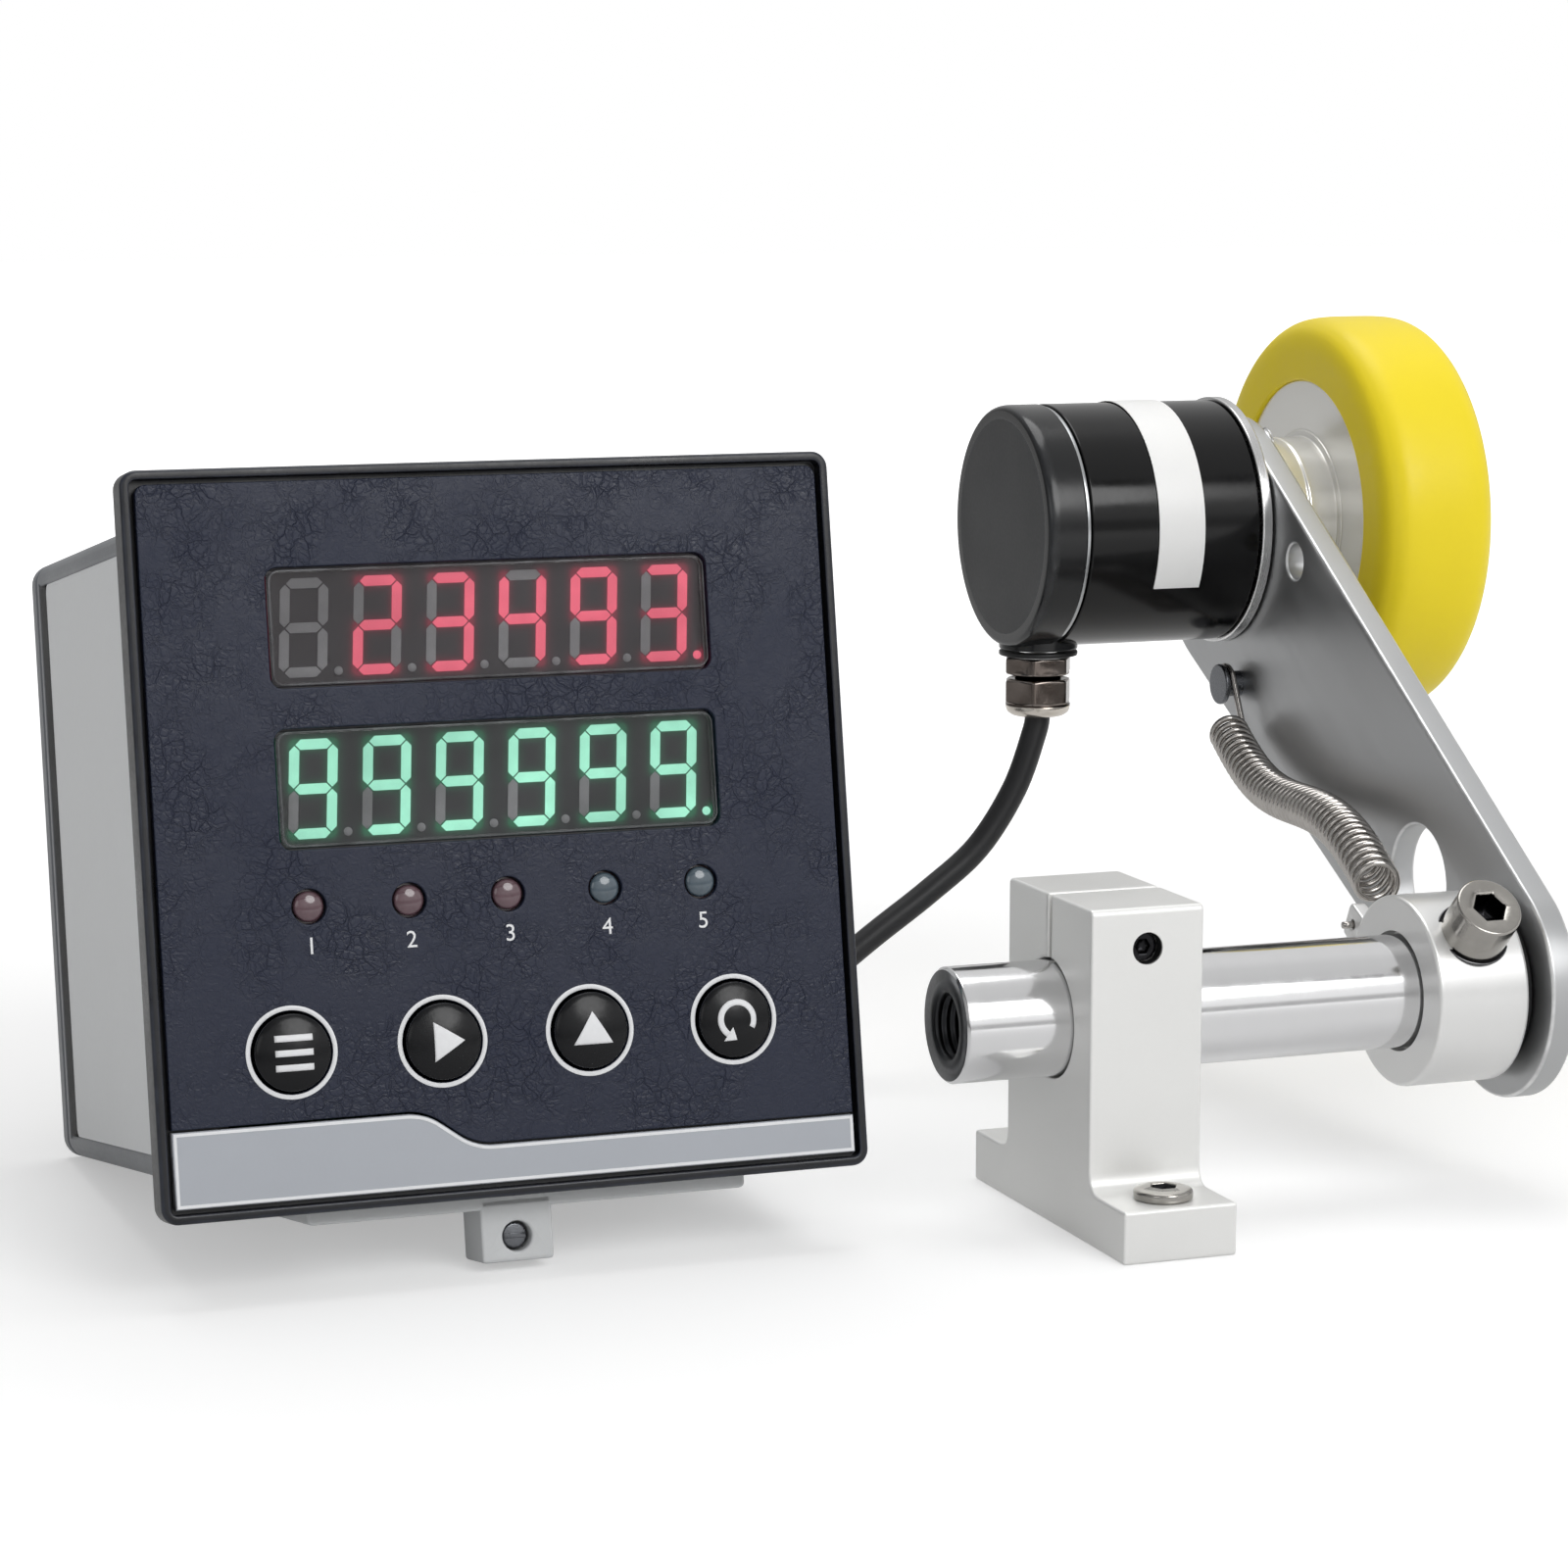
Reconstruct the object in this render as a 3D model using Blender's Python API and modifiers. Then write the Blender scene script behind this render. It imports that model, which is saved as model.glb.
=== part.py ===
"""Panel counter with a sprung measuring wheel, in metres, front towards -Y, +Z up.

The counter leans back on its bracket lug and its rear edge. Beside it a foot block clamps a shaft, on
whose end an arm swings against a spring and carries an encoder with a measuring wheel. A cord joins both.
"""
import math

import bmesh
import bpy
from mathutils import Matrix, Vector

# Clearances and overruns
SEAT_GAP = 0.0003
CUT_OVERRUN = 0.002
WELD = 0.00002
JOIN_DEPTH = 0.0006

# Counter front
FRONT_WIDTH = 0.096
FRONT_HEIGHT = 0.096
FRONT_RADIUS = 0.0022
BEZEL_DEPTH = 0.005
RIM = 0.0012
RIM_RADIUS = 0.0014
OVERLAY_MARGIN = 0.0007
OVERLAY_THICKNESS = 0.0016
OVERLAY_SINK = 0.0002
BEZEL_LEDGE = 0.0098
STRIP_SINK = 0.0001
STRIP_THICKNESS = 0.0004
STRIP_TALL = 0.0098
STRIP_LOW = 0.0050
STRIP_STEP_X = 0.0129
STRIP_STEP_RUN = 0.0065

# Windows, lamps and buttons on the front
WINDOW_WIDTH = 0.0592
WINDOW_HEIGHT = 0.0150
WINDOW_RADIUS = 0.0016
WINDOW_THICKNESS = 0.0015
WINDOW_SINK = 0.0001
RED_WINDOW_Y = 0.0752
GREEN_WINDOW_Y = 0.0544
MODULE_LIP = 0.0011
LAMP_DIAMETER = 0.0040
LAMP_PITCH = 0.0133
LAMP_Y = 0.0393
LAMP_COUNT = 5
GUIDE_HEIGHT = 0.0048
GUIDE_THICKNESS = 0.0024
BUTTON_DIAMETER = 0.0100
BUTTON_PITCH = 0.0200
BUTTON_Y = 0.0208
BUTTON_NAMES = ("set", "shift", "up", "reset")
BUTTON_RISE = 0.0006
BUTTON_DOME = 0.0008
BUTTON_FLANGE = 0.0124
BUTTON_FLANGE_THICKNESS = 0.0010
BUTTON_STEM = 0.0040
BUTTON_TRAVEL = 0.0006

# Counter case and what it holds
CASE_WIDTH = 0.088
CASE_HEIGHT = 0.0865
CASE_DEPTH = 0.088
CASE_RISE = 0.004
CASE_WALL = 0.0024
CASE_RADIUS = 0.0030
LABEL_MARGIN = 0.0032
LABEL_REAR_MARGIN = 0.0060
LABEL_RECESS = 0.0009
LABEL_THICKNESS = 0.0005
LABEL_RADIUS = 0.0020
BOARD_THICKNESS = 0.0016
DISPLAY_BOARD_DEPTH = 0.014
SWITCH_SIZE = 0.0062
SWITCH_HEIGHT = 0.0036
MAIN_BOARD_RISE = 0.010
REAR_COVER_THICKNESS = 0.003
TERMINAL_DEPTH = 0.0077
TERMINAL_WIDTH = 0.070
TERMINAL_HEIGHT = 0.016
TERMINAL_LOW_RISE = 0.013
TERMINAL_HIGH_DROP = 0.013
TERMINAL_COUNT = 8
TERMINAL_HOLE = 0.0046
TRANSFORMER_SIZE = (0.034, 0.028, 0.030)
BOBBIN_SIZE = (0.026, 0.020, 0.040)
TRANSFORMER_X = -0.020
RELAY_SIZE = (0.0155, 0.0190, 0.0200)
RELAY_X = 0.021
RELAY_SPREAD = 0.0240

# Mounting bracket under the counter
BRACKET_WIDTH = 0.060
BRACKET_OFFSET = 0.002
BRACKET_DEPTH = 0.030
BRACKET_DROP = 0.0008
LUG_WIDTH = 0.0098
LUG_DROP = 0.009
LUG_DEPTH = 0.014
LUG_NOTCH = 0.0022
LUG_NOTCH_HEIGHT = 0.0050
JACK_HOLE = 0.0040
JACK_DROP = 0.0057
JACK_SCREW = 0.0034
JACK_SINK = 0.0012

# Where the two units stand
DISPLAY_OFFSET = 0.0841
FRONT_ADVANCE = 0.00434

# Foot block and shaft
BLOCK_THICKNESS = 0.0165
BLOCK_LENGTH = 0.051
BASE_HEIGHT = 0.0072
UPRIGHT_WIDTH = 0.028
BLOCK_HEIGHT = 0.0457
BLOCK_CORNER = 0.0012
FOOT_FILLET = 0.0028
SHAFT_HEIGHT = 0.0285
SHAFT_DIAMETER = 0.016
CLAMP_SLIT = 0.0011
CLAMP_SCREW_RISE = 0.0116
CLAMP_SCREW = 0.0038
CLAMP_SINK = 0.0016
CLAMP_REACH = 0.0085
FOOT_SCREW_PITCH = 0.0396
FOOT_SCREW = 0.0042
FOOT_HEAD = 0.0080
FOOT_HEAD_HEIGHT = 0.0014
FOOT_SOCKET = 0.0036
FOOT_SOCKET_DEPTH = 0.0008
SHAFT_OVERHANG = 0.0152
SHAFT_CHAMFER = 0.0008
SHAFT_BORE = 0.0068
SHAFT_BORE_MOUTH = 0.0094
SHAFT_BORE_DEPTH = 0.018
JOURNAL_DIAMETER = 0.008
JOURNAL_OVERREACH = 0.0001
THREAD_BORE = 0.0042
THREAD_DEPTH = 0.010

# Spring collar and pivot
COLLAR_SETBACK = 0.0366
COLLAR_WIDTH = 0.014
COLLAR_DIAMETER = 0.027
COLLAR_CHAMFER = 0.0006
COLLAR_SCREW = 0.0044
COLLAR_HEAD = 0.0086
COLLAR_HEAD_HEIGHT = 0.0052
COLLAR_SEAT = 0.0004
COLLAR_SCREW_ANGLE = math.radians(135)
SCREW_SOCKET = 0.0042
SCREW_SOCKET_DEPTH = 0.0024
EAR_RADIUS = 0.0158
EAR_ANGLE = math.radians(26)
EAR_WIDTH = 0.0054
EAR_THICKNESS = 0.0028
EAR_END = 0.0020
PIVOT_WASHER_THICKNESS = 0.0014
PIVOT_WASHER = 0.0225
PIVOT_HEAD = 0.0120
PIVOT_HEAD_HEIGHT = 0.0030

# Arm
ARM_LENGTH = 0.1079
ARM_ANGLE = math.radians(32.67)
ARM_THICKNESS = 0.004
ARM_PIVOT_RADIUS = 0.0163
ARM_HEAD_RADIUS = 0.0210
ARM_HEAD_S = 0.1060
ARM_HEAD_N = -0.0042
ARM_LARGE_HOLE = 0.0165
ARM_LARGE_HOLE_S = 0.0254
ARM_LARGE_HOLE_N = -0.0034
ARM_SMALL_HOLE = 0.0055
ARM_SMALL_HOLE_S = 0.0835
ARM_SMALL_HOLE_N = 0.0105
ARM_CHAMFER = 0.0004
POST_S = 0.0878
POST_N = -0.0174
POST_DIAMETER = 0.004
POST_HEAD = 0.0064
POST_HEAD_THICKNESS = 0.0009
POST_REACH = 0.0036

# Tension spring
SPRING_DIAMETER = 0.0072
WIRE_DIAMETER = 0.00085
SPRING_PITCH = 0.00145
SPRING_POINTS = 8
SPRING_LOW_Y = 0.0184
SPRING_LOW_Z = 0.0115
SPRING_TOP_BACK = 0.0063
SPRING_TOP_DROP = 0.0064
SPRING_TOP_INSET = 0.0049
HOOK_SWEEP = math.radians(215)
HOOK_STEP = math.radians(24)
TAIL_REACH = 0.0009

# Encoder
ENCODER_DIAMETER = 0.038
ENCODER_LENGTH = 0.0355
ENCODER_WALL = 0.0016
ENCODER_FACE_WALL = 0.0025
ENCODER_EDGE = 0.0016
FLANGE_DISC = 0.0390
FLANGE_DISC_THICKNESS = 0.0017
FLANGE_CORE = 0.0340
FLANGE_CORE_LENGTH = 0.010
SPIGOT_DIAMETER = 0.020
BEARING_OUTER = 0.013
BEARING_WIDTH = 0.005
BEARING_SPREAD = 0.0098
SPINDLE_DIAMETER = 0.006
SPINDLE_INNER = 0.0175
SPINDLE_OUTER = 0.0215
FLANGE_SCREW_COUNT = 3
FLANGE_SCREW_RADIUS = 0.0142
FLANGE_SCREW = 0.0025
FLANGE_SCREW_HEAD = 0.0048
FLANGE_SCREW_CONE = 0.0013
FLANGE_SCREW_LENGTH = 0.009
CODE_DISC_DIAMETER = 0.026
CODE_DISC_THICKNESS = 0.001
CODE_DISC_SETBACK = 0.0210
ENCODER_BOARD_SETBACK = 0.0140
BAND_SETBACK = 0.0182
BAND_WIDTH = 0.0078
BAND_THICKNESS = 0.0003
BAND_START = math.radians(-27)
BAND_END = math.radians(207)

# Cord gland under the encoder
GLAND_SETBACK = 0.0064
BOSS_LENGTH = 0.0125
BOSS_WIDTH = 0.0160
BOSS_DROP = 0.0004
BOSS_HEIGHT = 0.0028
GLAND_HOLE = 0.0080
GLAND_WASHER = 0.0124
GLAND_WASHER_THICKNESS = 0.0007
GLAND_FLATS = 0.011
GLAND_HEX_HEIGHT = 0.0027
GLAND_STEM = 0.0072
GLAND_STEM_UP = 0.0030
GLAND_STEM_DOWN = 0.0032
GLAND_NUT_GAP = 0.0007
GLAND_NUT_HEIGHT = 0.0040
GLAND_DOME = 0.0018
GLAND_MOUTH = 0.0070

# Measuring wheel
WHEEL_DIAMETER = 0.0637
WHEEL_WIDTH = 0.019
WHEEL_STANDOFF = 0.010
TYRE_INNER = 0.0436
TYRE_SHOULDER = 0.0014
TYRE_CROWN = 0.0034
HUB_BOSS = 0.0256
HUB_BOSS_LENGTH = 0.0092
HUB_STEP = 0.0008
HUB_FACE_SINK = 0.0006
HUB_SCREW = 0.0040
HUB_SCREW_LENGTH = 0.0080
HUB_SCREW_BACK = 0.0045

# Cord
CORD_DIAMETER = 0.004
CORD_START_DEPTH = 0.0030
COIL_X = -0.0620
COIL_Y = 0.0665
COIL_INNER = 0.0163
COIL_PITCH = 0.0050
COIL_LAYER = 0.0048
COIL_LAYERS = 4
COIL_LAYER_TURNS = 2.0625
COIL_POINTS = 24
TAIL_MIDDLE = (-0.0370, 0.0540, 0.0184)
TIE_THICKNESS = 0.0006
TIE_WIDTH = 0.004

# Counts of sides
ROUND_STEPS = 28
SMALL_STEPS = 16
LAMP_STEPS = 12
ARC_POINTS = 4

# Places worked out from the sizes
LEAN = math.atan2(LUG_DROP + CASE_RISE, CASE_DEPTH - LUG_DEPTH)
BLOCK_HALF = BLOCK_THICKNESS / 2
COLLAR_NEAR = BLOCK_HALF + COLLAR_SETBACK
COLLAR_FAR = COLLAR_NEAR + COLLAR_WIDTH
ARM_NEAR = COLLAR_FAR + PIVOT_WASHER_THICKNESS + SEAT_GAP * 2
ARM_FAR = ARM_NEAR + ARM_THICKNESS
WHEEL_NEAR = ARM_FAR + WHEEL_STANDOFF
WHEEL_FAR = WHEEL_NEAR + WHEEL_WIDTH
WHEEL_Y = ARM_LENGTH * math.cos(ARM_ANGLE)
WHEEL_Z = SHAFT_HEIGHT + ARM_LENGTH * math.sin(ARM_ANGLE)
FLANGE_FAR = ARM_NEAR - SEAT_GAP
HOUSING_FAR = FLANGE_FAR - FLANGE_DISC_THICKNESS - SEAT_GAP
HOUSING_NEAR = HOUSING_FAR - ENCODER_LENGTH
STAND_X = (DISPLAY_OFFSET + FRONT_WIDTH / 2 - WHEEL_FAR) / 2
STAND_Y = (BLOCK_LENGTH / 2 - WHEEL_Y - WHEEL_DIAMETER / 2) / 2
OVERLAY_BACK = OVERLAY_SINK + OVERLAY_THICKNESS
REAR_COVER_BACK = CASE_DEPTH - TERMINAL_DEPTH - SEAT_GAP
REAR_COVER_FRONT = REAR_COVER_BACK - REAR_COVER_THICKNESS
BOARD_BACK = DISPLAY_BOARD_DEPTH + BOARD_THICKNESS


def frame_at(origin, x_axis, z_axis):
    """Placement whose own X and Z run along the two directions given."""
    x_direction = Vector(x_axis).normalized()
    z_direction = Vector(z_axis).normalized()
    y_direction = z_direction.cross(x_direction)
    place = Matrix((x_direction, y_direction, z_direction)).transposed().to_4x4()
    place.translation = Vector(origin)
    return place


def shifted(place, x, y, z):
    """The same placement, moved along its own axes."""
    return place @ Matrix.Translation((x, y, z))


def stand_point(x, y, z):
    """A point given from the middle of the foot block's underside."""
    return Vector((STAND_X + x, STAND_Y + y, z))


# The front's own frame has X along the front, Y up it and Z out of it, from the middle of its lower edge.
FACE = frame_at(
    stand_point(-DISPLAY_OFFSET, -FRONT_ADVANCE, LUG_DROP * math.cos(LEAN) + LUG_DEPTH * math.sin(LEAN)),
    (1, 0, 0),
    (0, -math.cos(LEAN), math.sin(LEAN)),
)
# The shaft's and the wheel's frames have Z along the shaft, X to the rear and Y up.
SHAFT = frame_at(stand_point(0, 0, SHAFT_HEIGHT), (0, 1, 0), (1, 0, 0))
WHEEL = frame_at(stand_point(0, WHEEL_Y, WHEEL_Z), (0, 1, 0), (1, 0, 0))
# The arm's frame has X from the pivot to the wheel's axle.
ARM = frame_at(stand_point(0, 0, SHAFT_HEIGHT), (0, math.cos(ARM_ANGLE), math.sin(ARM_ANGLE)), (1, 0, 0))
UPRIGHT = frame_at(stand_point(0, 0, 0), (1, 0, 0), (0, 0, 1))


def clear_scene():
    """Remove every object and make the two collections."""
    for obj in list(bpy.data.objects):
        bpy.data.objects.remove(obj, do_unlink=True)
    for name in ("digital_counter", "cutters"):
        collection = bpy.data.collections.new(name)
        bpy.context.scene.collection.children.link(collection)


def material(name, colour, roughness, metallic):
    """A Principled material with one colour."""
    made = bpy.data.materials.new(name)
    made.use_nodes = True
    shader = made.node_tree.nodes["Principled BSDF"]
    shader.inputs["Base Color"].default_value = (*colour, 1.0)
    shader.inputs["Roughness"].default_value = roughness
    shader.inputs["Metallic"].default_value = metallic
    made.diffuse_color = (*colour, 1.0)
    return made


def rounded(width, height, radius, x=0.0, y=0.0):
    """A rectangle with round corners, centred on x and y."""
    loop = []
    for turn, (side_x, side_y) in enumerate(((1, 1), (-1, 1), (-1, -1), (1, -1))):
        corner_x = x + side_x * (width / 2 - radius)
        corner_y = y + side_y * (height / 2 - radius)
        for step in range(ARC_POINTS):
            angle = math.pi / 2 * (turn + step / (ARC_POINTS - 1))
            loop.append((corner_x + radius * math.cos(angle), corner_y + radius * math.sin(angle)))
    return loop


def arc(x, y, radius, start, end, count):
    """Points of an arc from one angle to another, both ends included."""
    angles = [start + (end - start) * step / (count - 1) for step in range(count)]
    return [(x + radius * math.cos(angle), y + radius * math.sin(angle)) for angle in angles]


def circle(radius, x=0.0, y=0.0, count=ROUND_STEPS):
    """A closed ring of points."""
    return arc(x, y, radius, 0.0, math.tau * (1 - 1 / count), count)


def slab_mesh(name, loops, low, high):
    """A flat outline with its holes, filled and made as thick as from low to high."""
    curve = bpy.data.curves.new(name, "CURVE")
    curve.dimensions = "2D"
    curve.fill_mode = "BOTH"
    curve.extrude = (high - low) / 2
    for loop in loops:
        spline = curve.splines.new("POLY")
        spline.points.add(len(loop) - 1)
        for point, (x, y) in zip(spline.points, loop):
            point.co = (x, y, 0.0, 1.0)
        spline.use_cyclic_u = True
    outline = bpy.data.objects.new(name + "_outline", curve)
    bpy.context.scene.collection.objects.link(outline)
    mesh = bpy.data.meshes.new_from_object(outline)
    bpy.data.objects.remove(outline, do_unlink=True)
    bpy.data.curves.remove(curve)
    shape = bmesh.new()
    shape.from_mesh(mesh)
    bmesh.ops.remove_doubles(shape, verts=shape.verts, dist=WELD)
    bmesh.ops.dissolve_limit(shape, angle_limit=math.radians(0.5), verts=shape.verts, edges=shape.edges)
    bmesh.ops.translate(shape, verts=shape.verts, vec=(0.0, 0.0, (low + high) / 2))
    bmesh.ops.recalc_face_normals(shape, faces=shape.faces)
    shape.to_mesh(mesh)
    shape.free()
    mesh.name = name
    return mesh


def box_mesh(name, low, high):
    """A cube primitive stretched between two corners."""
    shape = bmesh.new()
    bmesh.ops.create_cube(shape, size=1.0)
    size = [b - a for a, b in zip(low, high)]
    middle = [(a + b) / 2 for a, b in zip(low, high)]
    bmesh.ops.scale(shape, vec=size, verts=shape.verts)
    bmesh.ops.translate(shape, vec=middle, verts=shape.verts)
    mesh = bpy.data.meshes.new(name)
    shape.to_mesh(mesh)
    shape.free()
    return mesh


def cylinder_mesh(name, radius, low, high, count=SMALL_STEPS, top_radius=None):
    """A cylinder or cone along Z between two heights."""
    shape = bmesh.new()
    bmesh.ops.create_cone(
        shape,
        cap_ends=True,
        segments=count,
        radius1=radius,
        radius2=radius if top_radius is None else top_radius,
        depth=high - low,
    )
    bmesh.ops.translate(shape, vec=(0.0, 0.0, (low + high) / 2), verts=shape.verts)
    mesh = bpy.data.meshes.new(name)
    shape.to_mesh(mesh)
    shape.free()
    return mesh


def put(obj, place, look, parent):
    """Place an object, give it its material and hang it on its axis."""
    if obj.name not in bpy.data.collections["digital_counter"].objects:
        bpy.data.collections["digital_counter"].objects.link(obj)
    obj.data.materials.clear()
    obj.data.materials.append(look)
    if parent is not None:
        obj.parent = parent
        obj.matrix_parent_inverse = parent.matrix_basis.inverted()
    obj.matrix_basis = place
    return obj


def solid(name, mesh, place, look, parent=None):
    """One named sub-part from a mesh."""
    mesh.shade_smooth()
    mesh.set_sharp_from_angle(angle=math.radians(35))
    return put(bpy.data.objects.new(name, mesh), place, look, parent)


def turned(name, profile, place, look, parent=None, steps=ROUND_STEPS, ring=False):
    """A profile of (radius, height) points, swept round Z."""
    mesh = bpy.data.meshes.new(name)
    points = [(radius, 0.0, height) for radius, height in profile]
    edges = [(index, index + 1) for index in range(len(points) - 1)]
    if ring:
        edges.append((len(points) - 1, 0))
    mesh.from_pydata(points, edges, [])
    obj = put(bpy.data.objects.new(name, mesh), place, look, parent)
    screw = obj.modifiers.new("Turned", "SCREW")
    screw.axis = "Z"
    screw.angle = math.tau
    screw.steps = steps
    screw.render_steps = steps
    screw.use_merge_vertices = True
    screw.merge_threshold = WELD
    return obj


def cutter(name, mesh, place):
    """A shape that only other shapes use, kept out of the part."""
    obj = bpy.data.objects.new(name, mesh)
    bpy.data.collections["cutters"].objects.link(obj)
    obj.matrix_basis = place
    obj.hide_render = True
    obj.display_type = "WIRE"
    return obj


def combine(obj, other, operation):
    """Cut a shape out of a sub-part or melt it into it."""
    modifier = obj.modifiers.new(other.name, "BOOLEAN")
    modifier.operation = operation
    modifier.solver = "EXACT"
    modifier.object = other


def cut(obj, name, mesh, place):
    """Take a shape out of a sub-part."""
    combine(obj, cutter(name, mesh, place), "DIFFERENCE")


def melt(obj, name, mesh, place):
    """Join a shape to a sub-part."""
    combine(obj, cutter(name, mesh, place), "UNION")


def soften(obj, width, segments=1):
    """Bevel the sharp edges."""
    bevel = obj.modifiers.new("Softened", "BEVEL")
    bevel.width = width
    bevel.segments = segments
    bevel.limit_method = "ANGLE"
    bevel.angle_limit = math.radians(50)


def tube(name, points, diameter, look, resolution=2, parent=None):
    """A round bar along a list of points, with closed ends."""
    curve = bpy.data.curves.new(name, "CURVE")
    curve.dimensions = "3D"
    curve.bevel_depth = diameter / 2
    curve.bevel_resolution = resolution
    curve.use_fill_caps = True
    spline = curve.splines.new("POLY")
    spline.points.add(len(points) - 1)
    for point, place in zip(spline.points, points):
        point.co = (*place, 1.0)
    return put(bpy.data.objects.new(name, curve), Matrix.Identity(4), look, parent)


def smooth_route(route, spacing):
    """Evenly spaced points on a smooth curve through the route's points."""
    knots = [Vector(point) for point in route]
    knots = [knots[0] * 2 - knots[1]] + knots + [knots[-1] * 2 - knots[-2]]
    fine = []
    for index in range(1, len(knots) - 2):
        before, start, end, after = knots[index - 1:index + 3]
        count = max(2, math.ceil((end - start).length / spacing))
        for step in range(count):
            t = step / count
            pull = (end - before) * t
            bend = (before * 2 - start * 5 + end * 4 - after) * t ** 2
            twist = (start * 3 - before - end * 3 + after) * t ** 3
            fine.append(start + (pull + bend + twist) / 2)
    fine.append(knots[-2])
    return fine


def least_gap(points, diameter, skip):
    """The least free space between two stretches of one tube that are not neighbours."""
    tree = [Vector(point) for point in points]
    least = math.inf
    for index, point in enumerate(tree):
        for other in tree[index + skip:]:
            least = min(least, (point - other).length)
    return least - diameter


def length_of(points):
    """The length of a line of points."""
    return sum((Vector(b) - Vector(a)).length for a, b in zip(points, points[1:]))


def empty_at(name, place):
    """An empty on a joint's axis."""
    empty = bpy.data.objects.new(name, None)
    bpy.data.collections["digital_counter"].objects.link(empty)
    empty.matrix_basis = place
    return empty


def socket_screw(name, place, look, shank, head, head_height, length, parent=None):
    """A cap screw along Z with its head's underside at zero and a hexagon socket."""
    profile = [
        (0.0, head_height),
        (head / 2 - head_height / 10, head_height),
        (head / 2, head_height - head_height / 10),
        (head / 2, 0.0),
        (shank / 2, 0.0),
        (shank / 2, -length),
        (0.0, -length),
    ]
    obj = turned(name, profile, place, look, parent, steps=SMALL_STEPS)
    socket = cylinder_mesh(
        name + "_socket",
        SCREW_SOCKET / 2,
        head_height - SCREW_SOCKET_DEPTH,
        head_height + CUT_OVERRUN,
        6,
    )
    cut(obj, name + "_socket", socket, place)
    return obj


def make_bezel(look):
    """The front frame: a deep rounded square with a pocket for the overlay and one wide opening."""
    outer = rounded(FRONT_WIDTH, FRONT_HEIGHT, FRONT_RADIUS, 0.0, FRONT_HEIGHT / 2)
    opening_x = FRONT_WIDTH - BEZEL_LEDGE * 2
    opening_y = FRONT_HEIGHT - BEZEL_LEDGE * 2
    opening = rounded(opening_x, opening_y, FRONT_RADIUS, 0.0, FRONT_HEIGHT / 2)
    bezel = solid("front_bezel", slab_mesh("front_bezel", [outer, opening], -BEZEL_DEPTH, 0.0), FACE, look)
    pocket_loop = rounded(FRONT_WIDTH - RIM * 2, FRONT_HEIGHT - RIM * 2, RIM_RADIUS, 0.0, FRONT_HEIGHT / 2)
    pocket_depth = OVERLAY_BACK + SEAT_GAP
    pocket = slab_mesh("overlay_pocket", [pocket_loop], -pocket_depth, CUT_OVERRUN)
    cut(bezel, "overlay_pocket", pocket, FACE)


def strip_outline(grow):
    """The bright strip along the lower edge, taller at its left end, grown all round."""
    edge = RIM + OVERLAY_MARGIN
    left = edge - FRONT_WIDTH / 2 - grow
    right = -left
    bottom = edge - grow
    tall = edge + STRIP_TALL + grow
    low = edge + STRIP_LOW + grow
    return [
        (left, bottom),
        (right, bottom),
        (right, low),
        (-STRIP_STEP_X + STRIP_STEP_RUN + grow / 2, low),
        (-STRIP_STEP_X + grow / 2, tall),
        (left, tall),
    ]


def make_overlay(look, strip_look):
    """The textured front plate with its window, lamp and button holes, and the strip let into it."""
    size_x = FRONT_WIDTH - (RIM + OVERLAY_MARGIN) * 2
    size_y = FRONT_HEIGHT - (RIM + OVERLAY_MARGIN) * 2
    loops = [rounded(size_x, size_y, RIM_RADIUS, 0.0, FRONT_HEIGHT / 2)]
    for middle in (RED_WINDOW_Y, GREEN_WINDOW_Y):
        hole_x = WINDOW_WIDTH + SEAT_GAP * 2
        hole_y = WINDOW_HEIGHT + SEAT_GAP * 2
        loops.append(rounded(hole_x, hole_y, WINDOW_RADIUS, 0.0, middle))
    for x in lamp_places():
        loops.append(circle(LAMP_DIAMETER / 2 + SEAT_GAP, x, LAMP_Y, LAMP_STEPS))
    for x in button_places():
        loops.append(circle(BUTTON_DIAMETER / 2 + SEAT_GAP, x, BUTTON_Y, SMALL_STEPS))
    overlay = solid("front_overlay", slab_mesh("front_overlay", loops, -OVERLAY_BACK, -OVERLAY_SINK), FACE, look)
    bed = STRIP_SINK + STRIP_THICKNESS + SEAT_GAP
    recess = slab_mesh("strip_recess", [strip_outline(SEAT_GAP)], -bed, CUT_OVERRUN)
    cut(overlay, "strip_recess", recess, FACE)
    strip = slab_mesh("silver_strip", [strip_outline(0.0)], -STRIP_SINK - STRIP_THICKNESS, -STRIP_SINK)
    solid("silver_strip", strip, FACE, strip_look)


def lamp_places():
    """Places of the lamps along the front."""
    return [(index - (LAMP_COUNT - 1) / 2) * LAMP_PITCH for index in range(LAMP_COUNT)]


def button_places():
    """Places of the buttons along the front."""
    count = len(BUTTON_NAMES)
    return [(index - (count - 1) / 2) * BUTTON_PITCH for index in range(count)]


def make_windows(red_look, green_look, module_look):
    """The two lenses and the digit modules behind them."""
    for name, middle, look in (("red", RED_WINDOW_Y, red_look), ("green", GREEN_WINDOW_Y, green_look)):
        loop = rounded(WINDOW_WIDTH, WINDOW_HEIGHT, WINDOW_RADIUS, 0.0, middle)
        lens = slab_mesh(name + "_window", [loop], -WINDOW_SINK - WINDOW_THICKNESS, -WINDOW_SINK)
        solid(name + "_window", lens, FACE, look)
        half_x = WINDOW_WIDTH / 2 - SEAT_GAP
        half_y = WINDOW_HEIGHT / 2 + MODULE_LIP
        low = (-half_x, middle - half_y, SEAT_GAP - DISPLAY_BOARD_DEPTH)
        high = (half_x, middle + half_y, -OVERLAY_BACK - SEAT_GAP)
        solid(name + "_digits", box_mesh(name + "_digits", low, high), FACE, module_look)


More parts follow.
